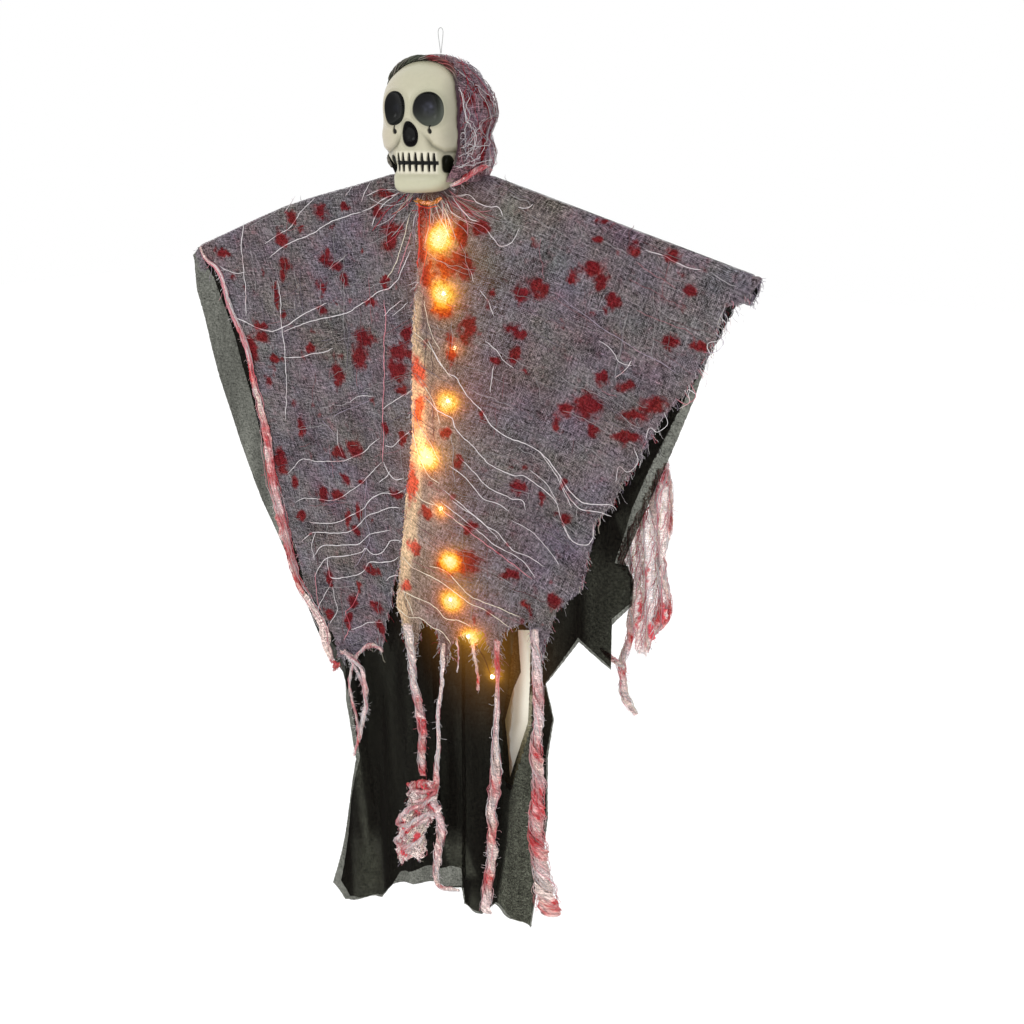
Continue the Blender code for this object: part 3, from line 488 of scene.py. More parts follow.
def backlit_sheet_material(name):
    """A thin ivory sheet standing in for the warm-lit wall seen through the slit: painted light, its cream warmed by
    the nearest lights, near white and glowing where lit from behind by the room.
    """
    M = Mat(name)
    uv = M.node("UVMap", uv_map="grain").outputs[0]
    n, n2 = M.noise(uv, 700.0, 3.0, 0.7), M.noise(M.vec("MULTIPLY", uv, (1.0, 0.12, 1.0)), 90.0, 3.0, 0.6)
    pale = M.attr("pale")
    base = M.mix(M.math("ADD", M.math("MULTIPLY", n, 0.5), M.math("MULTIPLY", n2, 0.5)), lin(176, 148, 96), lin(206, 182, 134))
    base = M.mix(pale, base, lin(252, 246, 228))
    P = M.principled(Base_Color=base, Roughness=0.9, Normal=M.bumpmap(n, 0.4, 0.0003))
    P.inputs["Specular IOR Level"].default_value = 0.1
    M.put(P.inputs["Emission Color"], M.mix(M.math("MULTIPLY", pale, 0.80), glow_colour(M, M.attr("glow")), (0.42, 0.38, 0.28)))
    P.inputs["Emission Strength"].default_value = 0.8
    T = M.node("BsdfTransparent")
    X = M.node("MixShader")
    M.put(X.inputs[0], M.math("ADD", 0.72, M.math("MULTIPLY", n, 0.2)))
    M.t.links.new(T.outputs[0], X.inputs[1])
    M.t.links.new(P.outputs[0], X.inputs[2])
    return M.finish(X)


def thread_material(name):
    """Cotton thread: each strand's colour comes with it, with fine fibre variation."""
    M = Mat(name)
    co = M.coord("Object")
    col = M.attr("tint", "Color")
    n = M.noise(co, 900.0, 2.0, 0.7)
    base = M.mix(1.0, col, M.comb(*[M.math("ADD", 0.62, M.math("MULTIPLY", n, 0.72))] * 3), "MULTIPLY")
    g = M.attr("glow")
    P = M.principled(Base_Color=base, Roughness=0.9, Normal=M.bumpmap(n, 0.5, 0.0003))
    P.inputs["Specular IOR Level"].default_value = 0.15
    M.put(P.inputs["Emission Color"], glow_colour(M, g))
    P.inputs["Emission Strength"].default_value = 0.9
    return M.finish(P)


def simple(name, colour, rough, metal=0.0, scale=300.0, amount=0.25, bump_d=0.0001, coat=0.0):
    """Moulded or drawn stock with a fine surface: colour, roughness and height vary a little."""
    M = Mat(name)
    co = M.coord("Object")
    n = M.noise(co, scale, 4.0, 0.6)
    n2 = M.noise(co, scale * 0.12, 3.0, 0.6)
    dark = tuple(c * (1 - amount) for c in colour)
    base = M.mix(M.math("ADD", M.math("MULTIPLY", n, 0.5), M.math("MULTIPLY", n2, 0.5)), dark, colour)
    P = M.principled(Base_Color=base, Roughness=M.math("ADD", rough - 0.08, M.math("MULTIPLY", n2, 0.16)), Normal=M.bumpmap(n, 0.35, bump_d))
    P.inputs["Metallic"].default_value = metal
    P.inputs["Coat Weight"].default_value = coat
    return M.finish(P)


GAUZE_A, GAUZE_B = lin(125, 117, 132), lin(123, 112, 105)
M_GAUZE = gauze_material("gauze_print", 0.00140, 0.22, GAUZE_A, GAUZE_B)
M_GAUZE_HOOD = gauze_material("gauze_hood", 0.0015, 0.20, lin(150, 128, 138), lin(138, 108, 110))
M_STRIP = gauze_material("gauze_strip", 0.0016, 0.34, lin(236, 220, 210), lin(220, 182, 184), loose=1.6, rough=0.75, reds=(lin(210, 40, 48), lin(150, 12, 26)))
M_VEIL = gauze_material("gauze_veil", 0.0016, 0.25, lin(250, 240, 232), lin(242, 214, 212), loose=2.2, rough=0.45, reds=(lin(226, 70, 84), lin(200, 30, 48)))
M_ROBE = robe_material("robe_nonwoven", see=0.17, folds=0.35)
M_ROBE_FRONT = robe_material("robe_nonwoven_front", see=0.05, folds=0.8)
M_SLIT = backlit_sheet_material("slit_painted_light")
M_LINING = robe_material("hood_nonwoven", see=0.02, folds=0.0)
M_THREAD = thread_material("cotton_thread")


# ---------------------------------------------------------------- mesh helpers
def new_mesh(name, verts, faces, mat, smooth=True):
    me = bpy.data.meshes.new(name)
    me.from_pydata([tuple(map(float, v)) for v in verts] if not isinstance(verts, np.ndarray) else verts.tolist(), [], faces)
    me.validate(clean_customdata=False)
    me.update()
    if mat is not None:
        me.materials.append(mat)
    ob = bpy.data.objects.new(name, me)
    bpy.context.scene.collection.objects.link(ob)
    if smooth:
        me.shade_smooth()
    return ob


def attribute(ob, name, values):
    a = ob.data.attributes.new(name, "FLOAT", "POINT")
    a.data.foreach_set("value", np.asarray(values, np.float32))


def colour_attribute(ob, name, rgb):
    a = ob.data.attributes.new(name, "FLOAT_COLOR", "POINT")
    c = np.ones((len(rgb), 4), np.float32)
    c[:, :3] = rgb
    a.data.foreach_set("color", c.ravel())


def coords(ob):
    co = np.empty(len(ob.data.vertices) * 3, np.float32)
    ob.data.vertices.foreach_get("co", co)
    return co.reshape(-1, 3).astype(float)


def glow_at(P, near=1.0, wide=0.10, spread=0.030):
    """0-1: how much of the lights' warmth reaches a point of the cloth."""
    g = np.zeros(len(P))
    for k, (L, p) in enumerate(zip(LEDS, LED_POWER)):
        # the top light leans against the wearer's left
        d = np.linalg.norm((P - L - np.array([0.0045 if k == 0 else 0.0025, 0, 0])) * np.array([1, 0.6, 1]), axis=1)
        g = g + p * (0.92 * np.exp(-((d / 0.0084) ** 2)) + 0.32 * np.exp(-((d / 0.0145) ** 2)) + wide * np.exp(-((d / (spread if wide < 0.2 else 0.042)) ** 2)))
    # between the top two lights the whole front is lit
    g = g + 0.17 * bump(P[:, 0], 0.024, 0.015) * (1 + 0.5 * N2(P[:, 0] * 130, P[:, 2] * 90)) * ss(-0.150, -0.170, P[:, 2]) * ss(-0.262, -0.240, P[:, 2]) * (P[:, 1] < 0)
    return np.clip(g * near, 0, 1.2)


def set_uv(ob, uv, name="grain"):
    lay = ob.data.uv_layers.new(name=name)
    vi = np.empty(len(ob.data.loops), np.int32)
    ob.data.loops.foreach_get("vertex_index", vi)
    lay.data.foreach_set("uv", np.asarray(uv, np.float32)[vi].ravel())


def inside(poly, P):
    x, z = P[:, 0], P[:, 1]
    c = np.zeros(len(P), bool)
    for (x0, z0), (x1, z1) in zip(poly, np.roll(poly, -1, axis=0)):
        if z0 == z1:
            continue
        hit = ((z0 > z) != (z1 > z)) & (x < (x1 - x0) * (z - z0) / (z1 - z0) + x0)
        c ^= hit
    return c


def resample(poly, step, ragged, seed):
    """A closed outline at even steps, with a ragged torn line."""
    r = np.random.default_rng(seed)
    out = []
    n = len(poly)
    for i in range(n):
        a, b = poly[i], poly[(i + 1) % n]
        k = max(1, int(round(np.linalg.norm(b - a) / step)))
        for j in range(k):
            out.append(a + (b - a) * j / k)
    out = np.array(out)
    if ragged:
        t = np.roll(out, -1, 0) - np.roll(out, 1, 0)
        t /= np.maximum(np.linalg.norm(t, axis=1), 1e-9)[:, None]
        nrm = np.stack([t[:, 1], -t[:, 0]], 1)
        out = out + nrm * (r.normal(0, 1, len(out)) * ragged)[:, None]
    return out


def sheet_mesh(name, outline, yfun, mat, spacing, holes=(), ragged=0.0, keep_top=True, seed=0, grain=None, blots=None, glow=1.0, wide=0.10, fold=None):
    """A hung sheet: the outline in (x, z), its surface y = yfun(x, z), triangulated evenly inside the outline."""
    O = np.asarray(outline, float)
    B = resample(O, spacing * 0.8, 0.0, seed)
    if ragged:
        R = resample(O, spacing * 0.8, ragged, seed)
        if keep_top:
            near = np.abs(B[:, 1] - crest(B[:, 0])) < 0.004
            R[near] = B[near]
        B = R
    rings = [B] + [resample(np.asarray(h, float), spacing * 0.7, ragged * 0.6, seed + 7 + i) for i, h in enumerate(holes)]
    pts, edges = [], []
    for ringp in rings:
        base = sum(len(p) for p in pts)
        pts.append(ringp)
        edges += [(base + i, base + (i + 1) % len(ringp)) for i in range(len(ringp))]
    lo, hi = B.min(0), B.max(0)
    r = np.random.default_rng(seed + 1)
    gx, gz = np.meshgrid(np.arange(lo[0], hi[0], spacing), np.arange(lo[1], hi[1], spacing * 0.87))
    gx = gx + (np.arange(gx.shape[0]) % 2)[:, None] * spacing / 2
    G = np.stack([gx.ravel(), gz.ravel()], 1) + r.normal(0, spacing * 0.05, (gx.size, 2))
    ok = inside(B, G)
    for h in rings[1:]:
        ok &= ~inside(h, G)
    G = G[ok]
    bd = np.vstack(rings)
    cell = {}
    for i, p in enumerate(bd):
        cell.setdefault((int(p[0] // spacing), int(p[1] // spacing)), []).append(i)
    keep = np.ones(len(G), bool)
    for i, p in enumerate(G):
        cx, cz = int(p[0] // spacing), int(p[1] // spacing)
        for a in (-1, 0, 1):
            for b in (-1, 0, 1):
                for j in cell.get((cx + a, cz + b), ()):
                    if abs(bd[j, 0] - p[0]) + abs(bd[j, 1] - p[1]) < spacing * 0.6:
                        keep[i] = False
    G = G[keep]
    allp = np.vstack([bd, G])
    res = delaunay_2d_cdt([Vector(p) for p in allp.tolist()], edges, [], 0, 1e-7)
    V = np.array([list(v) for v in res[0]])
    T = np.array(res[2])
    cen = V[T].mean(1)
    ok = inside(B, cen)
    for h in rings[1:]:
        ok &= ~inside(h, cen)
    T = T[ok]
    used = np.unique(T)
    back = -np.ones(len(V), int)
    back[used] = np.arange(len(used))
    V, T = V[used], back[T]
    # faces look towards -Y
    a = V[T[:, 1]] - V[T[:, 0]]
    b = V[T[:, 2]] - V[T[:, 0]]
    flip = (a[:, 0] * b[:, 1] - a[:, 1] * b[:, 0]) < 0
    T[flip] = T[flip][:, ::-1]
    P = np.stack([V[:, 0], yfun(V[:, 0], V[:, 1]), V[:, 1]], 1)
    ob = new_mesh(name, P, T.tolist(), mat)
    uv = grain(V[:, 0], V[:, 1]) if grain else V
    set_uv(ob, uv)
    light, edge_fold = glow_at(P, glow, wide) if glow else np.zeros(len(P)), fold(V[:, 0], V[:, 1]) if fold else np.zeros(len(P))
    # painted light: the folded front edge glows as well, most round z = -0.35
    attribute(ob, "glow", np.clip(light + edge_fold * (0.08 + 0.26 * bump(V[:, 1], -0.350, 0.050)), 0, 1.2))
    attribute(ob, "fold", edge_fold)
    attribute(ob, "blot", blots(V[:, 0], V[:, 1]) if blots else np.zeros(len(P)))
    attribute(ob, "hole", np.zeros(len(P)))
    ob["flat"] = [float(np.ptp(V[:, 0])), float(np.ptp(V[:, 1]))]
    ob["area"] = float(0.5 * np.linalg.norm(np.cross(P[T[:, 1]] - P[T[:, 0]], P[T[:, 2]] - P[T[:, 0]]), axis=1).sum())
    return ob, B


def tubes(name, lines, radius, tint, mat=None, sides=5, taper=True):
    """Many thin strands in one mesh. lines: list of (n, 3) arrays; radius and tint: one for all, or one a line;
    a tint may also be an (n, 3) array along the line."""
    V, Fs, C, base = [], [], [], 0
    for i, L in enumerate(lines):
        L = np.asarray(L, float)
        if len(L) < 2:
            continue
        r = radius[i] if hasattr(radius, "__len__") else radius
        c = tint[i] if (hasattr(tint, "__len__") and hasattr(tint[0], "__len__")) else tint
        n = len(L)
        t = np.gradient(L, axis=0)
        t /= np.maximum(np.linalg.norm(t, axis=1), 1e-9)[:, None]
        ref = np.array([0, 1.0, 0]) if abs(t[:, 1]).mean() < 0.8 else np.array([1.0, 0, 0])
        a = np.cross(t, ref)
        a /= np.maximum(np.linalg.norm(a, axis=1), 1e-9)[:, None]
        b = np.cross(t, a)
        rr = np.full(n, r) if not hasattr(r, "__len__") else np.asarray(r, float)
        if taper:
            s = np.linspace(0, 1, n)
            rr = rr * np.clip(np.minimum(s, 1 - s) * 10 + 0.35, 0, 1)
        ang = np.linspace(0, 2 * math.pi, sides, endpoint=False)
        ring = L[:, None] + rr[:, None, None] * (np.cos(ang)[None, :, None] * a[:, None] + np.sin(ang)[None, :, None] * b[:, None])
        V.append(ring.reshape(-1, 3))
        i0 = np.arange(n - 1)[:, None] * sides + np.arange(sides)[None]
        i1 = np.arange(n - 1)[:, None] * sides + (np.arange(sides)[None] + 1) % sides
        q = np.stack([i0, i0 + sides, i1 + sides, i1], -1).reshape(-1, 4) + base
        Fs += q.tolist()
        Fs.append([base + k for k in range(sides)])
        Fs.append([base + (n - 1) * sides + k for k in reversed(range(sides))])
        cc = np.asarray(c, float)
        cc = np.repeat(cc[None], n, 0) if cc.ndim == 1 else cc
        C.append(np.repeat(cc, sides, 0))
        base += n * sides
    V = np.vstack(V)
    ob = new_mesh(name, V, Fs, mat or M_THREAD)
    colour_attribute(ob, "tint", np.vstack(C))
    attribute(ob, "glow", glow_at(V, 0.9))
    return ob


CORAL = np.array(lin(214, 48, 56))
WHITE, PINKISH, REDDISH, CREAM, LILAC = np.array(lin(232, 226, 228)), np.array(lin(226, 150, 160)), np.array(lin(176, 34, 54)), np.array(lin(236, 226, 206)), np.array(lin(168, 156, 172))


def arm_blend(ob):
    """Cloth that hangs from a shoulder wire: bakes its placement into the mesh and nothing more; it is not tied to the
    arm or the torso.
    """
    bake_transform(ob)
    P = coords(ob)
    return ob


# ---------------------------------------------------------------- cords first: the hanging loop and the light string
PIVOT_Z, LOOP_HALF_W, THREAD_D = -0.0212, 0.0026, 0.0006
loop_route = [(0.00045, 0, PIVOT_Z + 0.0003), (0.0006, 0, -0.0185), (0.0014, 0, -0.0130), (0.0023, 0, -0.0070), (LOOP_HALF_W, 0, -0.0030), (0.0017, 0, -0.0005), (0.0, 0, THREAD_D / 2)]
loop_route += [(-x, y, z) for x, y, z in reversed(loop_route[:-1])]


def curve_cord(name, points, n, radius, mat, res=3):
    cu = bpy.data.curves.new(name, "CURVE")
    cu.dimensions = "3D"
    cu.bevel_depth, cu.bevel_resolution, cu.use_fill_caps = radius, res, True
    P = spline(points, n)
    s = cu.splines.new("POLY")
    s.points.add(len(P) - 1)
    for p, q in zip(s.points, P):
        p.co = (*q, 1.0)
    cu.materials.append(mat)
    ob = bpy.data.objects.new(name, cu)
    bpy.context.scene.collection.objects.link(ob)
    return ob, P


M_NYLON = simple("nylon_filament", lin(176, 178, 176), 0.32, scale=2500.0, amount=0.2, coat=0.3)
M_COPPER = simple("lacquered_copper", lin(122, 74, 34), 0.34, metal=0.75, scale=1800.0, amount=0.3)
hanging_loop, P = curve_cord("thread_loop", loop_route, 61, THREAD_D / 2, M_NYLON)
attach(hanging_loop, "hanger")
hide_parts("hanging_loop")

LED_R, WIRE_D, CASE_W, GAP = 0.0022, 0.0008, 0.034, 0.0003
lead_in = [(CASE_W / 2 + GAP + 0.0033, -0.0105, -0.156), (0.0212, -0.0110, -0.1562), (0.0228, -0.0160, -0.1590), (0.0215, -0.0240, -0.1640), (0.0205, -0.0310, -0.1690), (0.0202, -0.0350, -0.1740)]
route, heading = list(lead_in), []
for k, b in enumerate(LEDS):
    before = LEDS[k - 1] if k else np.array([b[0], b[1], b[2] + 0.04])
    after = LEDS[k + 1] if k + 1 < len(LEDS) else b + b - before
    d = (after - before) / np.linalg.norm(after - before)
    heading.append(d)
    route += [tuple(b - 0.0032 * d), tuple(b)] + ([tuple(b + 0.0032 * d)] if k + 1 < len(LEDS) else [])
    if k + 1 < len(LEDS):
        c = LEDS[k + 1]
        x, z = (b[0] + c[0]) / 2 + 0.0030 * (-1) ** k, (b[2] + c[2]) / 2
        route.append((x, float(light_y(x, z)), z))
light_wire, WP = curve_cord("light_string_wire", route, 260, WIRE_D / 2, M_COPPER)


def drop_material():
    """Clear warm resin over a lit diode: brightest in the core, amber at the rim."""
    M = Mat("lit_resin_drop")
    co = M.coord("Object")
    lw = M.node("LayerWeight")
    lw.inputs[0].default_value = 0.35
    n = M.noise(co, 1500.0, 2.0, 0.5)
    f = M.math("ADD", lw.outputs["Facing"], M.math("MULTIPLY", M.math("SUBTRACT", n, 0.5), 0.2))
    col = M.ramp(f, [(0.0, (1.0, 0.93, 0.55)), (0.5, (1.0, 0.74, 0.22)), (1.0, (1.0, 0.45, 0.05))])
    P = M.principled(Base_Color=(1.0, 0.72, 0.3), Roughness=0.12)
    M.put(P.inputs["Emission Color"], col)
    P.inputs["Emission Strength"].default_value = 7.0
    P.inputs["Coat Weight"].default_value = 0.5
    return M.finish(P)


M_DROP = drop_material()
for k, (b, d) in enumerate(zip(LEDS, heading)):
    # a teardrop of resin dipped round the diode: fat below, drawn out along the wire above
    prof = [(0.00055, -0.0019), (0.0013, -0.0017), (0.0020, -0.0010), (0.0022, -0.0001), (0.0020, 0.0008), (0.0014, 0.0016), (0.0009, 0.0022), (0.00055, 0.0025)]
    last = k + 1 == len(LEDS)
    if last:
        prof = [(0.0, -0.0021), (0.0010, -0.0019)] + prof[2:]
    V, Fs, n = [], [], 18
    for r, h in prof:
        V += [(r * math.cos(2 * math.pi * j / n) * (1 + 0.05 * math.sin(3 * k + 2 * j)), r * math.sin(2 * math.pi * j / n), h) for j in range(n)]
    for a in range(len(prof) - 1):
        Fs += [(a * n + j, a * n + (j + 1) % n, (a + 1) * n + (j + 1) % n, (a + 1) * n + j) for j in range(n)]
    Fs.append([j for j in reversed(range(n))])
    Fs.append([(len(prof) - 1) * n + j for j in range(n)])
    ob = new_mesh("light_drop_%02d" % (k + 1), np.array(V), Fs, M_DROP)
    turn = Vector((0, 0, -1)).rotation_difference(Vector(d))
    at = Vector(b) + (Vector(d) * (LED_R + GAP) if last else Vector((0, 0, 0)))
    ob.data.transform(Matrix.Translation(at) @ turn.to_matrix().to_4x4())
    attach(ob, "torso")
    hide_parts("led_bead_%02d" % (k + 1))
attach(light_wire, "torso")
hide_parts("led_wire")


# ---------------------------------------------------------------- skull
SEAM_Y, SKULL_Z = -0.012, -0.080
FACE_TURN = math.radians(6.5)  # the head hangs turned a little towards its own left
JAW_X = 0.0030  # the jaw sits a little to one side


def ellipsoid(P, c, r):
    return (np.linalg.norm((P - np.array(c)) / np.array(r), axis=-1) - 1) * min(r)


def rounded(P, c, r, p):
    """Superellipsoid: p above 2 is squarer."""
    q = np.abs((P - np.array(c)) / np.array(r))
    return ((q**p).sum(-1) ** (1 / p) - 1) * min(r)


def blend_min(a, b, k):
    h = np.clip(0.5 + 0.5 * (b - a) / k, 0, 1)
    return b * (1 - h) + a * h - k * h * (1 - h)


def oval(P, c, r, p, q=2.0):
    """Ovoid whose level sections are superellipses of power p, and whose upright section has power q."""
    d = np.abs((P - np.array(c)) / np.array(r))
    level = (d[..., 0] ** p + d[..., 1] ** p) ** (1 / p)
    return ((level**q + d[..., 2] ** q) ** (1 / q) - 1) * min(r)


def skull_field(P):
    # the back of the head is lower and narrower than its front
    w = ss(-0.005, 0.030, P[..., 1])
    P = np.stack([P[..., 0] / (1 - 0.10 * w), -0.0045 + (P[..., 1] + 0.0045) / (1 - 0.10 * w), -0.072 + (P[..., 2] + 0.072) / (1 - 0.20 * w)], -1)
    chin = P - np.array([0, 0, 1.0]) * (0.09 * P[..., 0])[..., None]
    f = oval(P, (0.0005, -0.0045, -0.0675), (0.0450, 0.0560, 0.0430), 2.5)
    f = blend_min(f, oval(P, (0.0008, -0.0290, -0.0960), (0.0395, 0.0270, 0.0270), 2.7, 2.3), 0.008)
    f = blend_min(f, oval(P, (JAW_X, -0.0365, -0.1160), (0.0248, 0.0175, 0.0230), 3.4, 3.0), 0.006)
    return blend_min(f, oval(chin, (-0.0004, -0.0380, -0.1285), (0.0243, 0.0158, 0.0115), 3.4, 3.2), 0.004)


def seg_dist(x, z, a, b):
    ax, az, bx, bz = *a, *b
    t = np.clip(((x - ax) * (bx - ax) + (z - az) * (bz - az)) / ((bx - ax) ** 2 + (bz - az) ** 2), 0, 1)
    return np.hypot(x - ax - t * (bx - ax), z - az - t * (bz - az)), t


GAPS = (0.0, 0.0063, 0.0124, 0.0172)


def face_maps(P):
    """Relief (towards the back) and paint masks of the face, from each point's |x| and z."""
    x, z, xm = np.abs(P[..., 0]), P[..., 2], np.abs(P[..., 0] - JAW_X)
    front = ss(-0.016, -0.034, P[..., 1])
    sx, sz = (x - 0.0166) / 0.0129, (z + 0.0694 + 0.0006 * np.sign(P[..., 0])) / 0.0143
    # the lower inner corner of a socket is drawn down a little
    sz = sz + 0.10 * sx * ss(0, -1, sz)
    r = (np.abs(sx) ** 2.15 + np.abs(sz) ** 2.15) ** (1 / 2.15)
    back = 0.0092 * np.clip(1 - r**2.3, 0, 1) * (1 - 0.30 * ss(0.018, 0.029, x))
    back = back - 0.0014 * np.exp(-(((r - 1.13) / 0.13) ** 2)) * ss(0.042, 0.034, x)
    wide = 0.0016 * ss(-0.0800, -0.0905, z) + 0.0062
    nr = (np.abs((P[..., 0] + 0.0017) / wide) ** 2.4 + np.abs((z + 0.0905) / 0.0108) ** 2.4) ** (1 / 2.4)
    back = back + 0.0066 * np.clip(1 - nr**2.2, 0, 1) - 0.0010 * np.exp(-(((nr - 1.2) / 0.18) ** 2))
    back = back - 0.0030 * bump(z, -0.0760, 0.007) * bump(x, 0, 0.0050)
    # cheekbone, and the crease that runs from beside the nose out under it
    back = back - 0.0030 * bump(x, 0.0300, 0.010) * bump(z, -0.0905, 0.0060)
    d1, t1 = seg_dist(x, z, (0.0088, -0.0885), (0.0178, -0.1000))
    d2, t2 = seg_dist(x, z, (0.0178, -0.1000), (0.0275, -0.1058))
    d3, t3 = seg_dist(x, z, (0.0275, -0.1058), (0.0350, -0.1050))
    d = np.minimum(np.minimum(d1, d2), d3)
    fade = 0.15 + 0.85 * ss(0.0085, 0.0165, x)
    below = z - np.interp(x, (0.0088, 0.0178, 0.0275, 0.0350), (-0.0885, -0.1000, -0.1058, -0.1050))
    crease = np.exp(-((d / 0.0012) ** 2)) * fade
    soft = np.exp(-((d / 0.0050) ** 2)) * fade * ss(0.0012, -0.0012, below)
    back = back + 0.0030 * np.exp(-((d / 0.0026) ** 2)) * fade
    back = back + 0.0030 * bump(x, 0.0310, 0.0075) * bump(z, -0.1085, 0.0060)
    # tear pits: a drop under each socket, on a short neck
    pit = np.hypot((x - 0.0172) / 0.0019, (z + 0.0880) / 0.0023)
    neck, _ = seg_dist(x, z, (0.0170, -0.0838), (0.0172, -0.0866))
    pits = np.maximum(ss(1.20, 0.80, pit), ss(0.0010, 0.0005, neck))
    back = back + 0.0014 * pits
    # teeth: each one rounded, a dark gap between them, a longer upper row
    jaw = ss(0.0208, 0.0192, xm)
    row = ss(-0.1035, -0.1060, z) * ss(-0.1252, -0.1228, z) * jaw
    back = back - 0.0018 * bump(z, -0.1140, 0.0085) * ss(0.0225, 0.0175, xm)
    gap = np.zeros_like(x)
    for k, g in enumerate(GAPS):
        w = 0.00205 - 0.00012 * k
        up = ss(-0.1052 - 0.0006 * (k % 2), -0.1070, z) * (z > -0.1146)
        lo = ss(-0.1226 + 0.0004 * (k % 2), -0.1212, z) * (z <= -0.1146)
        ww = w * np.where(z > -0.1146, 0.62 + 0.50 * ss(-0.1060, -0.1135, z), 1.05 - 0.30 * ss(-0.1160, -0.1215, z))
        gap = np.maximum(gap, ss(1.0, 0.55, np.abs(xm - g) / ww) * np.maximum(up, lo))
    round_teeth = np.zeros_like(x)
    for a, b in zip(GAPS, GAPS[1:] + (0.0208,)):
        c = (a + b) / 2
        round_teeth = np.maximum(round_teeth, 1 - np.clip(np.abs(xm - c) / ((b - a) / 2), 0, 1) ** 2.5)
    back = back - 0.0010 * round_teeth * row
    mouth = ss(0.00205, 0.00125, np.abs(z + 0.1146)) * ss(0.0208, 0.0196, xm)
    paint_gap = np.maximum(gap, mouth)
    back = back + 0.0018 * paint_gap
    # the hollow between jaw hinge and chin
    rx, rz = (xm - 0.0257) / 0.0036, (z + 0.1155) / 0.0074
    rec = (np.abs(rx) ** 3 + np.abs(rz) ** 3) ** (1 / 3)
    side = ss(-0.0285, -0.0310, P[..., 1])
    back = back + 0.0030 * ss(1.2, 0.6, rec) * side
    back = back - 0.0010 * bump(z, -0.1345, 0.0050) * bump(xm, 0.0, 0.020)
    back = back + 0.0012 * bump(z, -0.1262, 0.0020) * ss(0.026, 0.018, xm)
    # a shallow dent at each temple
    back = back + 0.0016 * bump(x, 0.040, 0.008) * bump(z, -0.060, 0.014)
    socket = ss(1.03, 0.97, r)
    nose = ss(1.05, 0.96, nr)
    recess = ss(1.12, 0.98, rec) * side
    shadow = 0.80 * crease + 0.34 * soft + 0.28 * np.exp(-(((r - 1.09) / 0.08) ** 2)) + 0.25 * np.exp(-(((nr - 1.14) / 0.10) ** 2)) * (nr > 1)
    shadow = shadow + 0.18 * row * (1 - round_teeth) + 0.30 * np.exp(-(((rec - 1.2) / 0.15) ** 2)) * side + 0.16 * bump(z, -0.1262, 0.0030) * ss(0.028, 0.018, xm)
    return back * front, dict(socket=socket, nose=nose, pits=pits, gap=paint_gap, recess=recess, shadow=shadow, r=r, nr=nr, sx=sx * np.sign(P[..., 0]), sz=sz, row=row, front=front)


def uneven(n, lo, hi, centre, width, gain, closed=False):
    """n values from lo to hi, set closer together round centre."""
    s = np.linspace(lo, hi, 4000)
    dens = 1 + gain * np.exp(-(((s - centre) / width) ** 2))
    c = np.cumsum(dens)
    c = (c - c[0]) / (c[-1] - c[0])
    return np.interp(np.linspace(0, 1, n, endpoint=not closed), c, s)


def turned_head(P):
    c, s = math.cos(FACE_TURN), math.sin(FACE_TURN)
    x, y = P[..., 0].copy(), P[..., 1] + 0.012
    P[..., 0], P[..., 1] = x * c - y * s, x * s + y * c - 0.012
    return P


def skull_half(name, alphas, betas, relief):
    al, be = np.meshgrid(alphas, betas, indexing="ij")
    d = np.stack([np.sin(al) * np.cos(be), -np.cos(al), np.sin(al) * np.sin(be)], -1)
    c = np.array([0, SEAM_Y, SKULL_Z])
    lo, hi = np.full(al.shape, 0.005), np.full(al.shape, 0.12)
    for _ in range(34):
        mid = (lo + hi) / 2
        ins = skull_field(c + d * mid[..., None]) < 0
        lo, hi = np.where(ins, mid, lo), np.where(ins, hi, mid)
    P = c + d * lo[..., None]
    maps = None
    if relief:
        back, maps = face_maps(P)
        P[..., 1] += back
    # hand-finished moulding: very slight unevenness
    P = P + d * (0.00025 * N3(P[..., 0] * 90, P[..., 1] * 90, P[..., 2] * 90))[..., None]
    return turned_head(P), maps


def grid_faces(rows, cols, wrap=False, base=0):
    r, c = np.meshgrid(np.arange(rows - 1), np.arange(cols if wrap else cols - 1), indexing="ij")
    d = (c + 1) % cols
    return (np.stack([r * cols + c, r * cols + d, (r + 1) * cols + d, (r + 1) * cols + c], -1).reshape(-1, 4) + base).tolist()


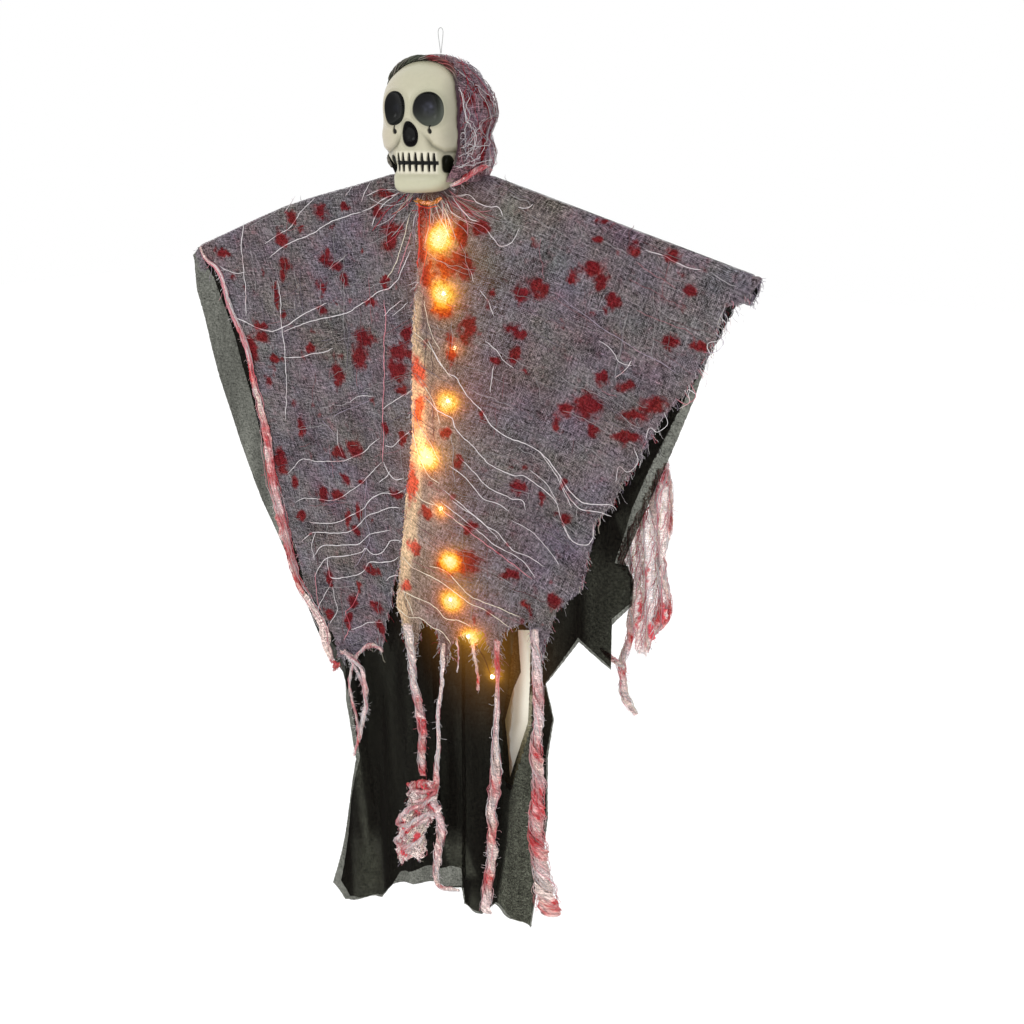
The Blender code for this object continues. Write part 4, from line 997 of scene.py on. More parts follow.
def skull_colours(P, maps):
    V = P.reshape(-1, 3)
    m = {k: v.reshape(-1) for k, v in maps.items()}
    cream, warm, green = np.array(lin(188, 180, 158)), np.array(lin(190, 175, 157)), np.array(lin(181, 181, 154))
    tone = np.clip(0.5 + 0.5 * N3b(V[:, 0] * 32, V[:, 1] * 32, V[:, 2] * 32), 0, 1)[:, None]
    col = cream * (1 - tone) + green * tone
    left = ss(0.0, -0.04, V[:, 0])[:, None] * 0.5
    col = col * (1 - left) + warm * left
    lowf = ss(-0.10, -0.135, V[:, 2])[:, None] * 0.45
    col = col * (1 - lowf) + np.array(lin(190, 190, 160)) * lowf
    # painted shade: the face darkens towards its +X edge, above the jaw
    col = col * (1 - 0.42 * ss(0.026, 0.042, V[:, 0]) * ss(-0.112, -0.104, V[:, 2]))[:, None]
    teeth = (m["row"] * m["front"])[:, None]
    col = col * (1 - teeth * 0.8) + np.array(lin(220, 214, 194)) * teeth * 0.8
    sh = np.clip(m["shadow"] * m["front"], 0, 1)[:, None]
    col = col * (1 - 0.72 * sh) + np.array(lin(74, 72, 50)) * 0.72 * sh
    # airbrushed gloss black sockets; the painted shade and light in them runs from near black above to greenish grey
    # towards the lower outer rim
    rim = ss(-0.25, 1.15, 0.35 * m["r"] - 0.55 * m["sz"] + 0.38 * m["sx"])[:, None]
    eye = np.array(lin(6, 5, 7)) * (1 - rim) + np.array(lin(88, 92, 84)) * rim
    # painted highlight: a blue-grey patch in the middle of each socket
    painted_highlight = np.exp(-(((m["sx"] * 1.0 + 0.15) / 0.34) ** 2 + ((m["sz"] - 0.05) / 0.30) ** 2))
    painted_highlight = painted_highlight * (0.55 + 0.45 * N3(V[:, 0] * 400, V[:, 1] * 400, V[:, 2] * 400))
    eye = eye + np.array(lin(96, 98, 116)) * np.clip(painted_highlight, 0, 1)[:, None] * 0.7
    # the socket on the -X side is painted much darker
    eye = eye * (1 - 0.86 * ss(0.002, -0.002, V[:, 0]))[:, None]
    nosec = np.array(lin(18, 16, 17)) + np.array(lin(40, 40, 40)) * ss(0.6, 1.0, m["nr"])[:, None] * 0.3
    for key, c in (("socket", eye), ("nose", nosec), ("pits", np.array(lin(20, 19, 14))[None]), ("gap", np.array(lin(5, 6, 3))[None]), ("recess", np.array(lin(22, 23, 16))[None])):
        k = (m[key] * m["front"] if key != "recess" else m[key])[:, None]
        col = col * (1 - k) + c * k
    dark = np.maximum.reduce([m["socket"], m["nose"], m["gap"], m["pits"]]) * m["front"]
    return col, np.clip(np.maximum(dark, m["recess"]), 0, 1), cream


def skull_material():
    """Cream moulded plastic, satin, with gloss black paint in the sockets, nose and gaps between the teeth."""
    M = Mat("bone_plastic_painted")
    co = M.coord("Object")
    col = M.attr("tint", "Color")
    paint = M.attr("paint")
    n = M.noise(co, 260.0, 4.0, 0.6)
    n2 = M.noise(co, 34.0, 3.0, 0.55)
    spots = M.noise(co, 900.0, 2.0, 0.6)
    mod = M.math("ADD", 0.94, M.math("MULTIPLY", n, 0.12))
    base = M.mix(1.0, col, M.comb(mod, mod, mod), "MULTIPLY")
    base = M.mix(M.math("MULTIPLY", M.step(n2, 0.50, 0.72), 0.22), base, M.mix(1.0, base, (0.90, 0.97, 0.84), "MULTIPLY"))
    base = M.mix(M.math("MULTIPLY", M.step(spots, 0.66, 0.76), M.math("MULTIPLY", 0.10, M.math("SUBTRACT", 1.0, paint))), base, lin(120, 112, 84))
    rough = M.math("ADD", M.math("MULTIPLY", paint, -0.22), M.math("ADD", 0.36, M.math("MULTIPLY", n, 0.10)))
    P = M.principled(Base_Color=base, Roughness=rough, Normal=M.bumpmap(M.math("ADD", n, M.math("MULTIPLY", spots, 0.3)), 0.12, 0.0003))
    P.inputs["Subsurface Weight"].default_value = 0.0
    M.put(P.inputs["Specular IOR Level"], M.math("SUBTRACT", 0.5, M.math("MULTIPLY", paint, 0.36)))
    M.put(P.inputs["Coat Weight"], M.math("SUBTRACT", 0.22, M.math("MULTIPLY", paint, 0.16)))
    P.inputs["Coat Roughness"].default_value = 0.22
    return M.finish(P)


M_BONE = skull_material()
alphas = uneven(190, 0.004, math.pi / 2, 0.66, 0.20, 1.3)
betas = uneven(430, -math.pi / 2 - math.pi, -math.pi / 2 + math.pi, -math.pi / 2, 0.75, 1.6, closed=True)
P, maps = skull_half("skull_face_shell", alphas, betas, True)
rows, cols = P.shape[:2]
V = P.reshape(-1, 3)
faces = grid_faces(rows, cols, wrap=True) + [list(range(cols))]
skull_face = new_mesh("skull_face_shell", V, faces, M_BONE)
col, paint, cream = skull_colours(P, maps)
colour_attribute(skull_face, "tint", col)
attribute(skull_face, "paint", paint)
P, _ = skull_half("skull_back_shell", np.linspace(math.pi / 2, math.pi - 0.004, 60), np.linspace(0, 2 * math.pi, 150, endpoint=False), False)
P[..., 1] += GAP
Vb = P.reshape(-1, 3)
skull_back = new_mesh("skull_back_shell", Vb, grid_faces(60, 150, wrap=True) + [[59 * 150 + k for k in reversed(range(150))]], M_BONE)
colour_attribute(skull_back, "tint", np.repeat(cream[None], len(Vb), 0))
attribute(skull_back, "paint", np.zeros(len(Vb)))
for ob, node in ((skull_face, "skull_face"), (skull_back, "skull_back")):
    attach(ob, "head")
    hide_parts(node)


# ---------------------------------------------------------------- hood
def hood_surface(theta, t, grow):
    """t runs 0 at the neck edge to 1 at the crown; theta 0 is +X and -90 degrees is the front."""
    top, low, z0 = -0.0222 + grow, HOOD_BOTTOM_Z, -0.072
    s = np.clip(t / 0.5, 0, 1)
    s2 = np.clip((t - 0.5) / 0.5, 0, 1) * math.pi / 2
    lower = t < 0.5
    z = np.where(lower, low + (z0 - low) * s, z0 + (top - z0) * np.sin(s2))
    k = np.where(lower, 0.90 + 0.10 * np.sin(s * math.pi / 2), np.cos(s2))
    a, b = (HOOD_A + grow) * k, (HOOD_B + grow) * k
    c, d = np.cos(theta), np.sin(theta)
    full = 2 / 2.4
    return a * np.sign(c) * np.abs(c) ** full, HOOD_Y + b * np.sign(d) * np.abs(d) ** full, z


def rim_back(x, z):
    """How far the hood's edge lies behind its foremost line: it leans back over the forehead and round the far cheek."""
    near = 0.0062 - 0.0040 * ss(-0.095, -0.120, z) + 0.0080 * ss(-0.060, -0.030, z)
    return near + 0.030 * ss(-0.038, -0.064, z) * ss(0.0, -0.025, x) * ss(-0.112, -0.098, z)


def skull_reach(o, d):
    """Distance from o along d to the skull's surface, with the head turned as it hangs."""
    c, s_ = math.cos(-FACE_TURN), math.sin(-FACE_TURN)
    lo, hi = np.full(o.shape[:-1], 0.004), np.full(o.shape[:-1], 0.11)
    for _ in range(22):
        mid = (lo + hi) / 2
        Q = o + d * mid[..., None]
        x, y = Q[..., 0], Q[..., 1] + 0.012
        ins = skull_field(np.stack([x * c - y * s_, x * s_ + y * c - 0.012, Q[..., 2]], -1)) < 0
        lo, hi = np.where(ins, mid, lo), np.where(ins, hi, mid)
    return lo


def hood_points(th, t, margin, loose):
    """Cloth drawn over the skull: close at its front edge, standing off at the sides and behind, gathered at the neck."""
    x, y, z = hood_surface(th, np.maximum(t, 0), 0.0)
    z = z + np.minimum(t, 0) * 0.099
    up = z >= -0.072
    o = np.stack([0 * x, HOOD_Y + 0 * x, np.where(up, -0.072, np.maximum(z, -0.088))], -1)
    d = np.stack([x, y - HOOD_Y, np.where(up, z + 0.072, 0.0)], -1)
    d /= np.linalg.norm(d, axis=-1)[..., None]
    loose = loose * (0.50 + 0.50 * ss(-0.090, -0.106, z))
    m = margin * (0.30 + 0.70 * ss(-0.80, -0.30, d[..., 1])) + loose * ss(-0.70, 0.10, d[..., 1]) * ss(0.62, 0.0, d[..., 2]) * (0.40 + 0.60 * ss(-0.3, 0.3, d[..., 0]))
    P = o + d * (skull_reach(o, d) + m)[..., None]
    P[..., 2] = np.where(up, P[..., 2], z)
    tie = 1 - 0.13 * ss(-0.112, -0.134, z) - 0.12 * ss(0.0, -0.02, x) * ss(-0.095, -0.120, z)
    return P[..., 0] * tie, HOOD_Y + (P[..., 1] - HOOD_Y) * tie, P[..., 2]


def hood_mesh(name, grow, mat, rows, cols, folds, skirt, seed, loose=0.0):
    t, th = np.meshgrid(np.concatenate([np.linspace(-0.06 * skirt, 0.5, rows // 2, endpoint=False), np.linspace(0.5, 0.9990, rows - rows // 2)]), np.linspace(0, 2 * math.pi, cols, endpoint=False), indexing="ij")
    x, y, z = hood_points(th, t, grow, loose)
    # gathered folds that run down from the crown into the neck tie, deeper towards the neck
    low = ss(-0.060, -0.120, z)
    f = folds * (0.25 + 0.75 * low) * (np.sin(23 * th + 1.3 * np.sin(3 * th) + seed) * 0.6 + np.sin(41 * th + seed * 2) * 0.4) * ss(0.97, 0.80, t)
    f = f + folds * 0.5 * N3(x * 60, y * 60, z * 30) * ss(0.99, 0.85, t)
    # under the jaw the two layers are drawn tight
    f = f * (0.15 + 0.85 * ss(-0.034, -0.006, y))
    r = np.hypot(x, y - HOOD_Y) + 1e-9
    x, y = x + x / r * f, y + (y - HOOD_Y) / r * f
    V = np.stack([x, y - rim_back(x, z), z], -1).reshape(-1, 3)
    faces = grid_faces(rows, cols, wrap=True) + [[(rows - 1) * cols + k for k in range(cols)]]
    ob = new_mesh(name, V, faces, mat)
    uv = np.stack([th.ravel() * 0.052, t.ravel() * 0.145], 1)
    # trim at the leaning rim, in a space where it is flat
    bm = bmesh.new()
    bm.from_mesh(ob.data)
    lay = bm.verts.layers.float_vector.new("uvsrc")
    bm.verts.ensure_lookup_table()
    for v, q in zip(bm.verts, uv):
        v[lay] = (q[0], q[1], 0)
    bmesh.ops.bisect_plane(bm, geom=bm.verts[:] + bm.edges[:] + bm.faces[:], plane_co=(0, HOOD_FRONT_Y, 0), plane_no=(0, -1, 0), clear_outer=True)
    rim = [(v.co.x, v.co.y + float(rim_back(v.co.x, v.co.z)), v.co.z) for v in bm.verts if v.is_boundary and abs(v.co.y - HOOD_FRONT_Y) < 2e-4 and v.co.z > -0.119]
    bm.to_mesh(ob.data)
    bm.free()
    src = np.array([d.vector[:2] for d in ob.data.attributes["uvsrc"].data])
    ob.data.attributes.remove(ob.data.attributes["uvsrc"])
    set_uv(ob, src)
    P = coords(ob)
    P[:, 1] += rim_back(P[:, 0], P[:, 2])
    ob.data.vertices.foreach_set("co", P.astype(np.float32).ravel())
    for key in ("glow", "hole", "fold", "thin"):
        attribute(ob, key, np.zeros(len(P)))
    ob.data.update()
    return ob, P, rim


def order_rim(rim):
    """Rim points from the wearer's right cheek over the forehead to the left cheek."""
    R = np.array(rim)
    a = np.arctan2(R[:, 2] + 0.085, R[:, 0])
    a = np.where(a < -math.pi / 2, a + 2 * math.pi, a)
    return R[np.argsort(-a)]


def spots(P, items):
    """Blot field on points: ellipsoid blots (centre, radii)."""
    f = np.zeros(len(P))
    for c, r in items:
        d = np.linalg.norm((P - np.array(c)) / np.array(r), axis=1)
        f = np.maximum(f, np.clip(1.45 - d, 0, 1))
    return f


hood_lining, P, rim = hood_mesh("hood_lining_cloth", 0.0012, M_LINING, 70, 220, 0.0003, 1.0, 0.4, loose=0.0042)
attribute(hood_lining, "blot", np.zeros(len(P)))
hood_gauze, P, rim_g = hood_mesh("hood_gauze_cloth", 0.0024, M_GAUZE_HOOD, 90, 300, 0.0013, 1.6, 1.9, loose=0.0085)
r_ = np.random.default_rng(31)
hb = [((0.047, -0.032, -0.068), (0.004, 0.006, 0.009)), ((0.047, -0.020, -0.050), (0.006, 0.006, 0.008)), ((0.050, -0.002, -0.086), (0.005, 0.004, 0.014)), ((0.046, -0.014, -0.116), (0.006, 0.010, 0.006)),
      ((0.012, -0.030, -0.028), (0.012, 0.006, 0.004)), ((0.020, -0.022, -0.026), (0.010, 0.006, 0.005)), ((0.047, 0.014, -0.066), (0.005, 0.006, 0.010)), ((0.046, 0.018, -0.104), (0.005, 0.004, 0.012))]
for _ in range(22):
    th, t = r_.uniform(0, 2 * math.pi), r_.uniform(0.08, 0.9)
    x, y, z = hood_points(np.array([th]), np.array([t]), 0.003, 0.0085)
    s = r_.uniform(0.0024, 0.0060)
    hb.append(((float(x[0]), float(y[0]), float(z[0])), (s, s, s * r_.uniform(1.0, 2.6))))
on_side = P[:, 0] > 0.004
q = project(P) + 2.2 * np.stack([N2(P[:, 1] * 260, P[:, 2] * 160), N2b(P[:, 1] * 260, P[:, 2] * 160)], 1)
bare, seen = np.zeros(len(P)), np.zeros(len(P))
# long crimson stains down the side that the photograph shows, and an opened patch behind the cheek
for x0, x1, y0, y1, lean in ((455, 462, 101, 119, 0.0), (462, 474, 92, 106, -0.3), (480, 486, 122, 168, 0.1), (484, 491, 95, 108, 0.2), (440, 453, 64, 71, 0.0), (472, 479, 84, 96, 0.3), (474, 484, 164, 174, 0.0)):
    u = (q[:, 0] + lean * (q[:, 1] - (y0 + y1) / 2) - (x0 + x1) / 2) / ((x1 - x0) / 2)
    v = (q[:, 1] - (y0 + y1) / 2) / ((y1 - y0) / 2)
    seen = np.maximum(seen, np.clip(1.45 - np.hypot(u, v), 0, 1) * on_side)
for x0, x1, y0, y1 in ((456, 471, 130, 153), (466, 480, 125, 143), (486, 491, 122, 142), (456, 468, 66, 92)):
    u, v = (q[:, 0] - (x0 + x1) / 2) / ((x1 - x0) / 2), (q[:, 1] - (y0 + y1) / 2) / ((y1 - y0) / 2)
    bare = np.maximum(bare, np.clip(1.35 - np.hypot(u, v), 0, 1) * on_side)
attribute(hood_gauze, "blot", np.maximum(spots(P, hb) * np.where(on_side, 0.42, 1.0), seen))
attribute(hood_gauze, "hole", bare * (0.80 + 0.30 * N3(P[:, 0] * 420, P[:, 1] * 420, P[:, 2] * 260)))
for ob, node in ((hood_lining, "hood_lining"), (hood_gauze, "hood_gauze")):
    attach(ob, "head")
    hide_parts(node)

# rolled hem round the face opening, in gauze over black
R = order_rim(rim_g)
R = R[np.concatenate([[True], np.linalg.norm(np.diff(R, axis=0), axis=1) > 0.0004])]
R = spline(R[:: max(1, len(R) // 60)], 150)
hem_lines, hem_r, hem_c = [], [], []
s = np.linspace(0, 1, len(R))
nrm = R - np.array([0, 0, -0.075])
nrm[:, 1] = 0
nrm /= np.linalg.norm(nrm, axis=1)[:, None]
qx, qy = project(R).T
high = ss(84, 66, qy)
fat = 0.0008 + 0.0013 * high * ss(466, 450, qx) - 0.0004 * ss(454, 464, qx) * ss(70, 90, qy)
fat = fat * (1 + 0.12 * N2(s * 30, np.full(len(s), 0.5)))
red = (high * ss(424, 432, qx) * ss(458, 450, qx))[:, None] * (0.75 + 0.25 * N2(s * 60, np.full(len(s), 3.5)))[:, None]
dusk = (ss(452, 458, qx) * ss(66, 80, qy))[:, None]
core = np.array(lin(62, 62, 58)) * (1 - red) + np.array(lin(88, 16, 26)) * red
hem_lines.append(R + nrm * (fat * 0.55)[:, None])
hem_r.append(fat * 0.92)
hem_c.append(core)
for k in range(13):
    ph = 2 * math.pi * k / 13
    a = ph + (34 + 7 * (k % 3)) * s + 1.5 * np.sin(9 * s + k)
    L = R + nrm * (fat * np.cos(a) * 0.95 + fat * 0.55)[:, None] + np.array([0, 1, 0]) * (fat * np.sin(a) * 0.95)[:, None]
    L = L + 0.0006 * np.stack([N2(s * 70 + 3 * k, np.full(len(s), 0.5 + j)) for j in range(3)], 1)
    hem_lines.append(L)
    hem_r.append(0.00024 + 0.00010 * (k % 3))
    shade = [lin(96, 102, 88), lin(70, 74, 66), lin(140, 134, 126), lin(112, 108, 100)][k % 4]
    hem_c.append((np.array(shade) * (1 - dusk) + np.array(lin(70, 48, 58)) * dusk) * (1 - red) + np.array([lin(120, 20, 34), lin(88, 14, 24), lin(170, 70, 76)][k % 3]) * red)
hood_hem = tubes("hood_hem", hem_lines, hem_r, hem_c, taper=False)
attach(hood_hem, "head")

# loose threads over the hood: they fan down and forward from the crown and loop back at the neck
lines, rad, tint = [], [], []
r_ = np.random.default_rng(12)


def on_hood(path, lift):
    th, t = np.array(path).T
    Pp = spline(np.stack([th, t], 1), 40)
    x, y, z = hood_points(np.radians(Pp[:, 0]), Pp[:, 1], 0.0034 + lift, 0.0085)
    L = np.stack([x, y, z], 1)
    # only the stretch that lies behind the hood's edge
    ok = y > HOOD_FRONT_Y + rim_back(L[:, 0], z) + 0.0004
    best, run = (0, 0), 0
    for i, o in enumerate(ok):
        run = run + 1 if o else 0
        if run > best[1] - best[0]:
            best = (i + 1 - run, i + 1)
    return L[best[0]:best[1]]


routes = [[(-52, 0.86), (-42, 0.72), (-38, 0.55), (-44, 0.42)], [(-44, 0.80), (-30, 0.62), (-24, 0.44), (-12, 0.30), (-20, 0.16)], [(-36, 0.52), (-28, 0.44), (-34, 0.34), (-22, 0.24), (-10, 0.20)],
          [(-20, 0.60), (-26, 0.46), (-16, 0.34), (-14, 0.20), (-26, 0.10)], [(-8, 0.64), (2, 0.48), (4, 0.34), (-4, 0.20), (-14, 0.10)], [(8, 0.60), (14, 0.46), (14, 0.30), (6, 0.14)], [(-30, 0.20), (-20, 0.24), (-10, 0.36), (-4, 0.46)],
          [(-40, 0.12), (-28, 0.14), (-14, 0.20), (2, 0.22), (12, 0.30)], [(-46, 0.05), (-30, 0.04), (-12, 0.06), (4, 0.10)], [(-34, 0.02), (-20, 0.08), (-8, 0.12)], [(18, 0.70), (22, 0.5), (20, 0.34), (24, 0.16)], [(-30, 0.76), (-14, 0.66), (0, 0.6), (10, 0.5), (12, 0.38)]]
for k in range(90):
    th0 = r_.uniform(-45, 225) if k > 60 else r_.uniform(-45, 60)
    t0 = r_.uniform(0.35, 0.9)
    p = [(th0, t0)]
    for j in range(4):
        p.append((p[-1][0] + r_.normal(0, 12), p[-1][1] - r_.uniform(0.04, 0.18)))
    routes.append([(a, max(0.02, b)) for a, b in p])
for k, rt in enumerate(routes):
    L = on_hood(rt, r_.uniform(0, 0.0012))
    n = len(L)
    if n < 6:
        continue
    wig = np.stack([N3(np.arange(n) * 0.5 + 7 * k, np.full(n, 0.3 + j), np.full(n, k * 1.7)) for j in range(3)], 1) * 0.0016
    lines.append(L + wig)
    rad.append(0.00031 if k < 12 else r_.uniform(0.00013, 0.00026))
    tint.append([WHITE, PINKISH, LILAC, WHITE, LILAC, REDDISH][int(r_.integers(6))] * r_.uniform(0.22, 0.95) if k >= 12 else WHITE * r_.uniform(0.6, 0.95))
hood_threads = tubes("hood_threads", lines, rad, tint)
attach(hood_threads, "head")


# ---------------------------------------------------------------- the eight hung panels
def flat(px, surf):
    P = on(px, surf)
    return P[:, [0, 2]]


def outline(side, x_in, tip, edge, inner, up=0.0):
    """Anticlockwise or clockwise, no matter: crest from the inner edge out to the tip, then the given edge, then the inner edge."""
    xs = np.linspace(x_in, tip, 40)
    top = np.stack([xs, crest(xs) + up], 1)
    return np.vstack([top, edge, inner])


C30, S30 = math.cos(0.36), math.sin(0.36)


def grain_left(x, z):
    return np.stack([x * C30 - z * S30, x * S30 + z * C30], 1)


def grain_right(x, z):
    return np.stack([x * C30 + z * S30, z + 0 * x], 1)


def grain_down(x, z):
    return np.stack([x, z], 1)


def blot_field(px_boxes, surf, seed, side, n_small, lo, hi, n_large=0):
    """Printed blotches: the large ones placed, the small ones strewn."""
    items = []
    for x0, x1, y0, y1 in px_boxes:
        c = on([((x0 + x1) / 2, (y0 + y1) / 2)], surf)[0]
        a = on([(x0, (y0 + y1) / 2), (x1, (y0 + y1) / 2), ((x0 + x1) / 2, y0), ((x0 + x1) / 2, y1)], surf)
        items.append((c[0], c[2], abs(a[1, 0] - a[0, 0]) / 2, abs(a[3, 2] - a[2, 2]) / 2, 0.0))
    r = np.random.default_rng(seed)
    for _ in range(n_small):
        x = side * r.uniform(0.004, 0.30)
        z = r.uniform(lo, hi)
        s = r.uniform(0.0018, 0.0044)
        items.append((x, z, s, s * r.uniform(0.6, 1.9), r.uniform(-0.6, 0.6)))
    placed = len(px_boxes)
    for _ in range(n_large):
        x, z, s = side * r.uniform(0.006, 0.28), r.uniform(lo, hi), r.uniform(0.0040, 0.0100)
        items.insert(0, (x, z, s, s * r.uniform(0.6, 1.6), r.uniform(-0.6, 0.6)))
        placed += 1
    items = np.array(items)

    def field(x, z):
        f = np.zeros(x.shape)
        wx, wz = 0.0030 * N2(x * 130, z * 130) + 0.0022 * N2b(x * 360, z * 360), 0.0030 * N2b(x * 130, z * 130) + 0.0022 * N2(x * 360, z * 360)
        for j, (cx, cz, rx, rz, a) in enumerate(items):
            dx, dz = x + wx - cx, z + wz - cz
            m = (np.abs(dx) < 2.2 * max(rx, rz)) & (np.abs(dz) < 2.2 * max(rx, rz))
            if not m.any():
                continue
            u = dx[m] * math.cos(a) + dz[m] * math.sin(a)
            v = -dx[m] * math.sin(a) + dz[m] * math.cos(a)
            d = (np.abs(u / rx) ** 1.7 + np.abs(v / rz) ** 1.7) ** (1 / 1.7)
            f[m] = np.maximum(f[m], np.clip(1.45 - d, 0, 1) * (1.0 if j < placed else 0.62))
        return f

    return field


SP = 0.0020
KITE = [(518, 630), (531, 630), (530, 680), (528, 722), (510, 777), (505, 720), (513, 690), (521, 672)]

# black cloth: front and back, each in two widths that meet at the middle
px_back_r = [(193, 255), (197, 290), (210, 340), (240, 440), (262, 500), (300, 590), (330, 640), (345, 660), (346, 700), (356, 759), (350, 800), (333, 882), (345, 899), (382, 897), (393, 884), (425, 882), (441, 884)]
px_back_l = [(752, 282), (735, 300), (722, 312), (694, 400), (664, 470), (624, 560), (634, 580), (632, 606), (612, 625), (611, 670), (579, 642), (546, 684), (554, 719), (548, 756), (548, 818), (541, 870), (531, 928), (495, 904), (482, 914), (464, 904), (461, 886), (441, 884)]
px_front_r = [(200, 247), (205, 262), (214, 278), (222, 300), (236, 340), (250, 390), (262, 440), (278, 505), (296, 575), (318, 632), (343, 672), (350, 700), (360, 757), (351, 800), (341, 881), (350, 896), (382, 895), (392, 885), (400, 872), (425, 866), (441, 868)]
px_front_l = [(748, 284), (720, 335), (693, 385), (672, 424), (648, 472), (632, 509), (624, 536), (617, 556), (615, 563), (628, 566), (633, 585), (630, 604), (612, 619), (611, 668), (578, 638), (545, 684), (553, 719), (546, 756), (546, 818), (530, 925), (496, 902), (483, 912), (465, 902), (461, 868), (450, 866), (441, 868)]



def thin_at(V):
    """Where the skirt's front cloth is a single worn layer: soft-edged patches, in the photograph's pixels."""
    q = project(V)
    f = np.zeros(len(V))
    for x0, x1, y0, y1, lean, k in ((613, 630, 512, 560, -0.45, 0.35), (346, 352, 700, 900, -0.12, 0.5), (352, 381, 838, 905, -0.05, 0.45), (508, 520, 640, 700, 0.0, 0.30), (470, 486, 896, 924, 0.0, 0.45), (586, 640, 560, 672, 0.0, 0.30), (442, 464, 838, 876, -0.30, 0.55)):
        x = q[:, 0] + lean * (q[:, 1] - y0)
        f = np.maximum(f, k * ss(x0 - 3, x0 + 2, x) * ss(x1 + 3, x1 - 2, x) * ss(y0 - 14, y0 + 14, q[:, 1]) * ss(y1 + 6, y1 - 6, q[:, 1]))
    left = np.interp(q[:, 1], (690, 780, 800, 845, 905, 925), (531, 514, 510, 507, 497, 497))
    f = np.maximum(f, ss(-1.5, 1.5, q[:, 0] - left) * ss(534.5, 531.5, q[:, 0]) * ss(684, 700, q[:, 1]))
    return f


specs = [
    ("robe_cloth_back_right", "robe_back_right", -1, back_robe_y, px_back_r, -0.3125, None),
    ("robe_cloth_back_left", "robe_back_left", 1, back_robe_y, px_back_l, 0.3010, KITE),
    ("robe_cloth_front_right", "robe_front_right", -1, front_robe_y, px_front_r, -0.3080, None),
    ("robe_cloth_front_left", "robe_front_left", 1, front_robe_y, px_front_l, 0.2990, KITE),
]
for k, (name, node, side, surf, px, tip, hole) in enumerate(specs):
    edge = flat(px, surf)
    # the two widths overlap a little at the middle
    inner = np.array([(-side * 0.0025, z) for z in np.linspace(edge[-1, 1] + 0.003, -0.1300, 60)])
    if side > 0:
        under = 0.0006 if "back" in name else -0.0006
        surf = (lambda base, u: lambda x, z: base(x, z) + u * ss(0.012, 0.002, x) * ss(-0.135, -0.160, z))(surf, under)
    O = outline(side, -side * 0.0025, tip, edge, inner)
    holes = [flat(hole, surf)] if hole else []
    ob, B = sheet_mesh(name, O, surf, M_ROBE if "back" in name else M_ROBE_FRONT, SP * 1.15, holes=holes, ragged=0.00015, seed=40 + k, grain=grain_down, wide=0.26 if "back" in name else 0.36)
    V = coords(ob)
    attribute(ob, "thin", thin_at(V) if "front" in name else np.zeros(len(V)))
    arm_blend(ob)
    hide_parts(node)

# gauze
BOX_L = [(283, 297, 210, 224), (312, 328, 203, 222), (341, 350, 203, 211), (375, 394, 190, 201), (371, 385, 203, 219), (274, 289, 234, 247), (297, 305, 225, 231), (216, 230, 248, 259), (378, 405, 221, 238), (381, 398, 232, 254), (319, 332, 248, 266), (328, 343, 259, 270), (339, 350, 271, 285), (317, 326, 279, 293),
         (277, 291, 259, 271), (278, 287, 268, 282), (273, 279, 282, 308), (281, 288, 311, 319), (317, 327, 305, 316), (363, 377, 297, 307), (381, 392, 275, 288), (250, 270, 322, 331), (254, 269, 331, 344), (307, 316, 342, 354), (352, 375, 328, 346), (351, 368, 342, 371), (268, 283, 355, 365), (245, 258, 334, 366),
         (331, 345, 363, 386), (264, 273, 375, 386), (386, 413, 342, 362), (385, 409, 358, 381), (399, 414, 324, 342), (395, 410, 384, 395), (297, 305, 413, 440), (332, 346, 446, 460), (344, 363, 440, 457), (382, 389, 422, 436), (290, 299, 476, 491), (317, 328, 485, 505), (341, 351, 471, 487), (328, 346, 489, 500), (357, 367, 478, 485),
         (274, 288, 448, 474), (388, 404, 489, 498), (357, 363, 505, 520), (296, 306, 512, 522), (345, 352, 508, 530), (352, 362, 524, 534), (326, 334, 568, 590), (355, 362, 580, 592), (348, 358, 594, 610), (326, 336, 606, 620), (345, 352, 610, 630), (376, 386, 622, 634), (365, 380, 565, 575), (370, 384, 600, 615), (398, 406, 430, 446)]
BOX_R = [(410, 425, 214, 272), (424, 434, 256, 292), (435, 457, 254, 279), (455, 471, 220, 250), (457, 470, 246, 284), (434, 453, 300, 318), (412, 429, 362, 384), (413, 423, 392, 427), (408, 419, 466, 500), (582, 605, 259, 279), (594, 607, 272, 293), (606, 622, 294, 312), (512, 532, 288, 304), (526, 549, 277, 297), (663, 684, 249, 263), (627, 640, 243, 257), (682, 698, 284, 300), (661, 680, 334, 350), (690, 708, 340, 354), (594, 609, 369, 385), (617, 637, 378, 392), (571, 604, 392, 420), (554, 574, 401, 418), (552, 562, 415, 435),
         (618, 650, 406, 424), (640, 668, 396, 412), (586, 600, 425, 437), (610, 635, 430, 438), (460, 476, 309, 346), (492, 500, 353, 368), (566, 580, 270, 284), (609, 644, 432, 443), (456, 468, 218, 234), (475, 489, 219, 240), (485, 494, 290, 301), (512, 526, 327, 341), (509, 520, 346, 367), (459, 472, 258, 284), (452, 466, 455, 468), (446, 456, 340, 368), (505, 520, 325, 335),
         (521, 530, 368, 374), (478, 486, 410, 420), (512, 526, 480, 494), (536, 546, 490, 505), (560, 572, 510, 528), (450, 480, 550, 575), (462, 476, 520, 535), (548, 560, 590, 610), (498, 520, 570, 582), (520, 532, 600, 612), (560, 570, 480, 490), (600, 612, 219, 224), (594, 604, 236, 246)]
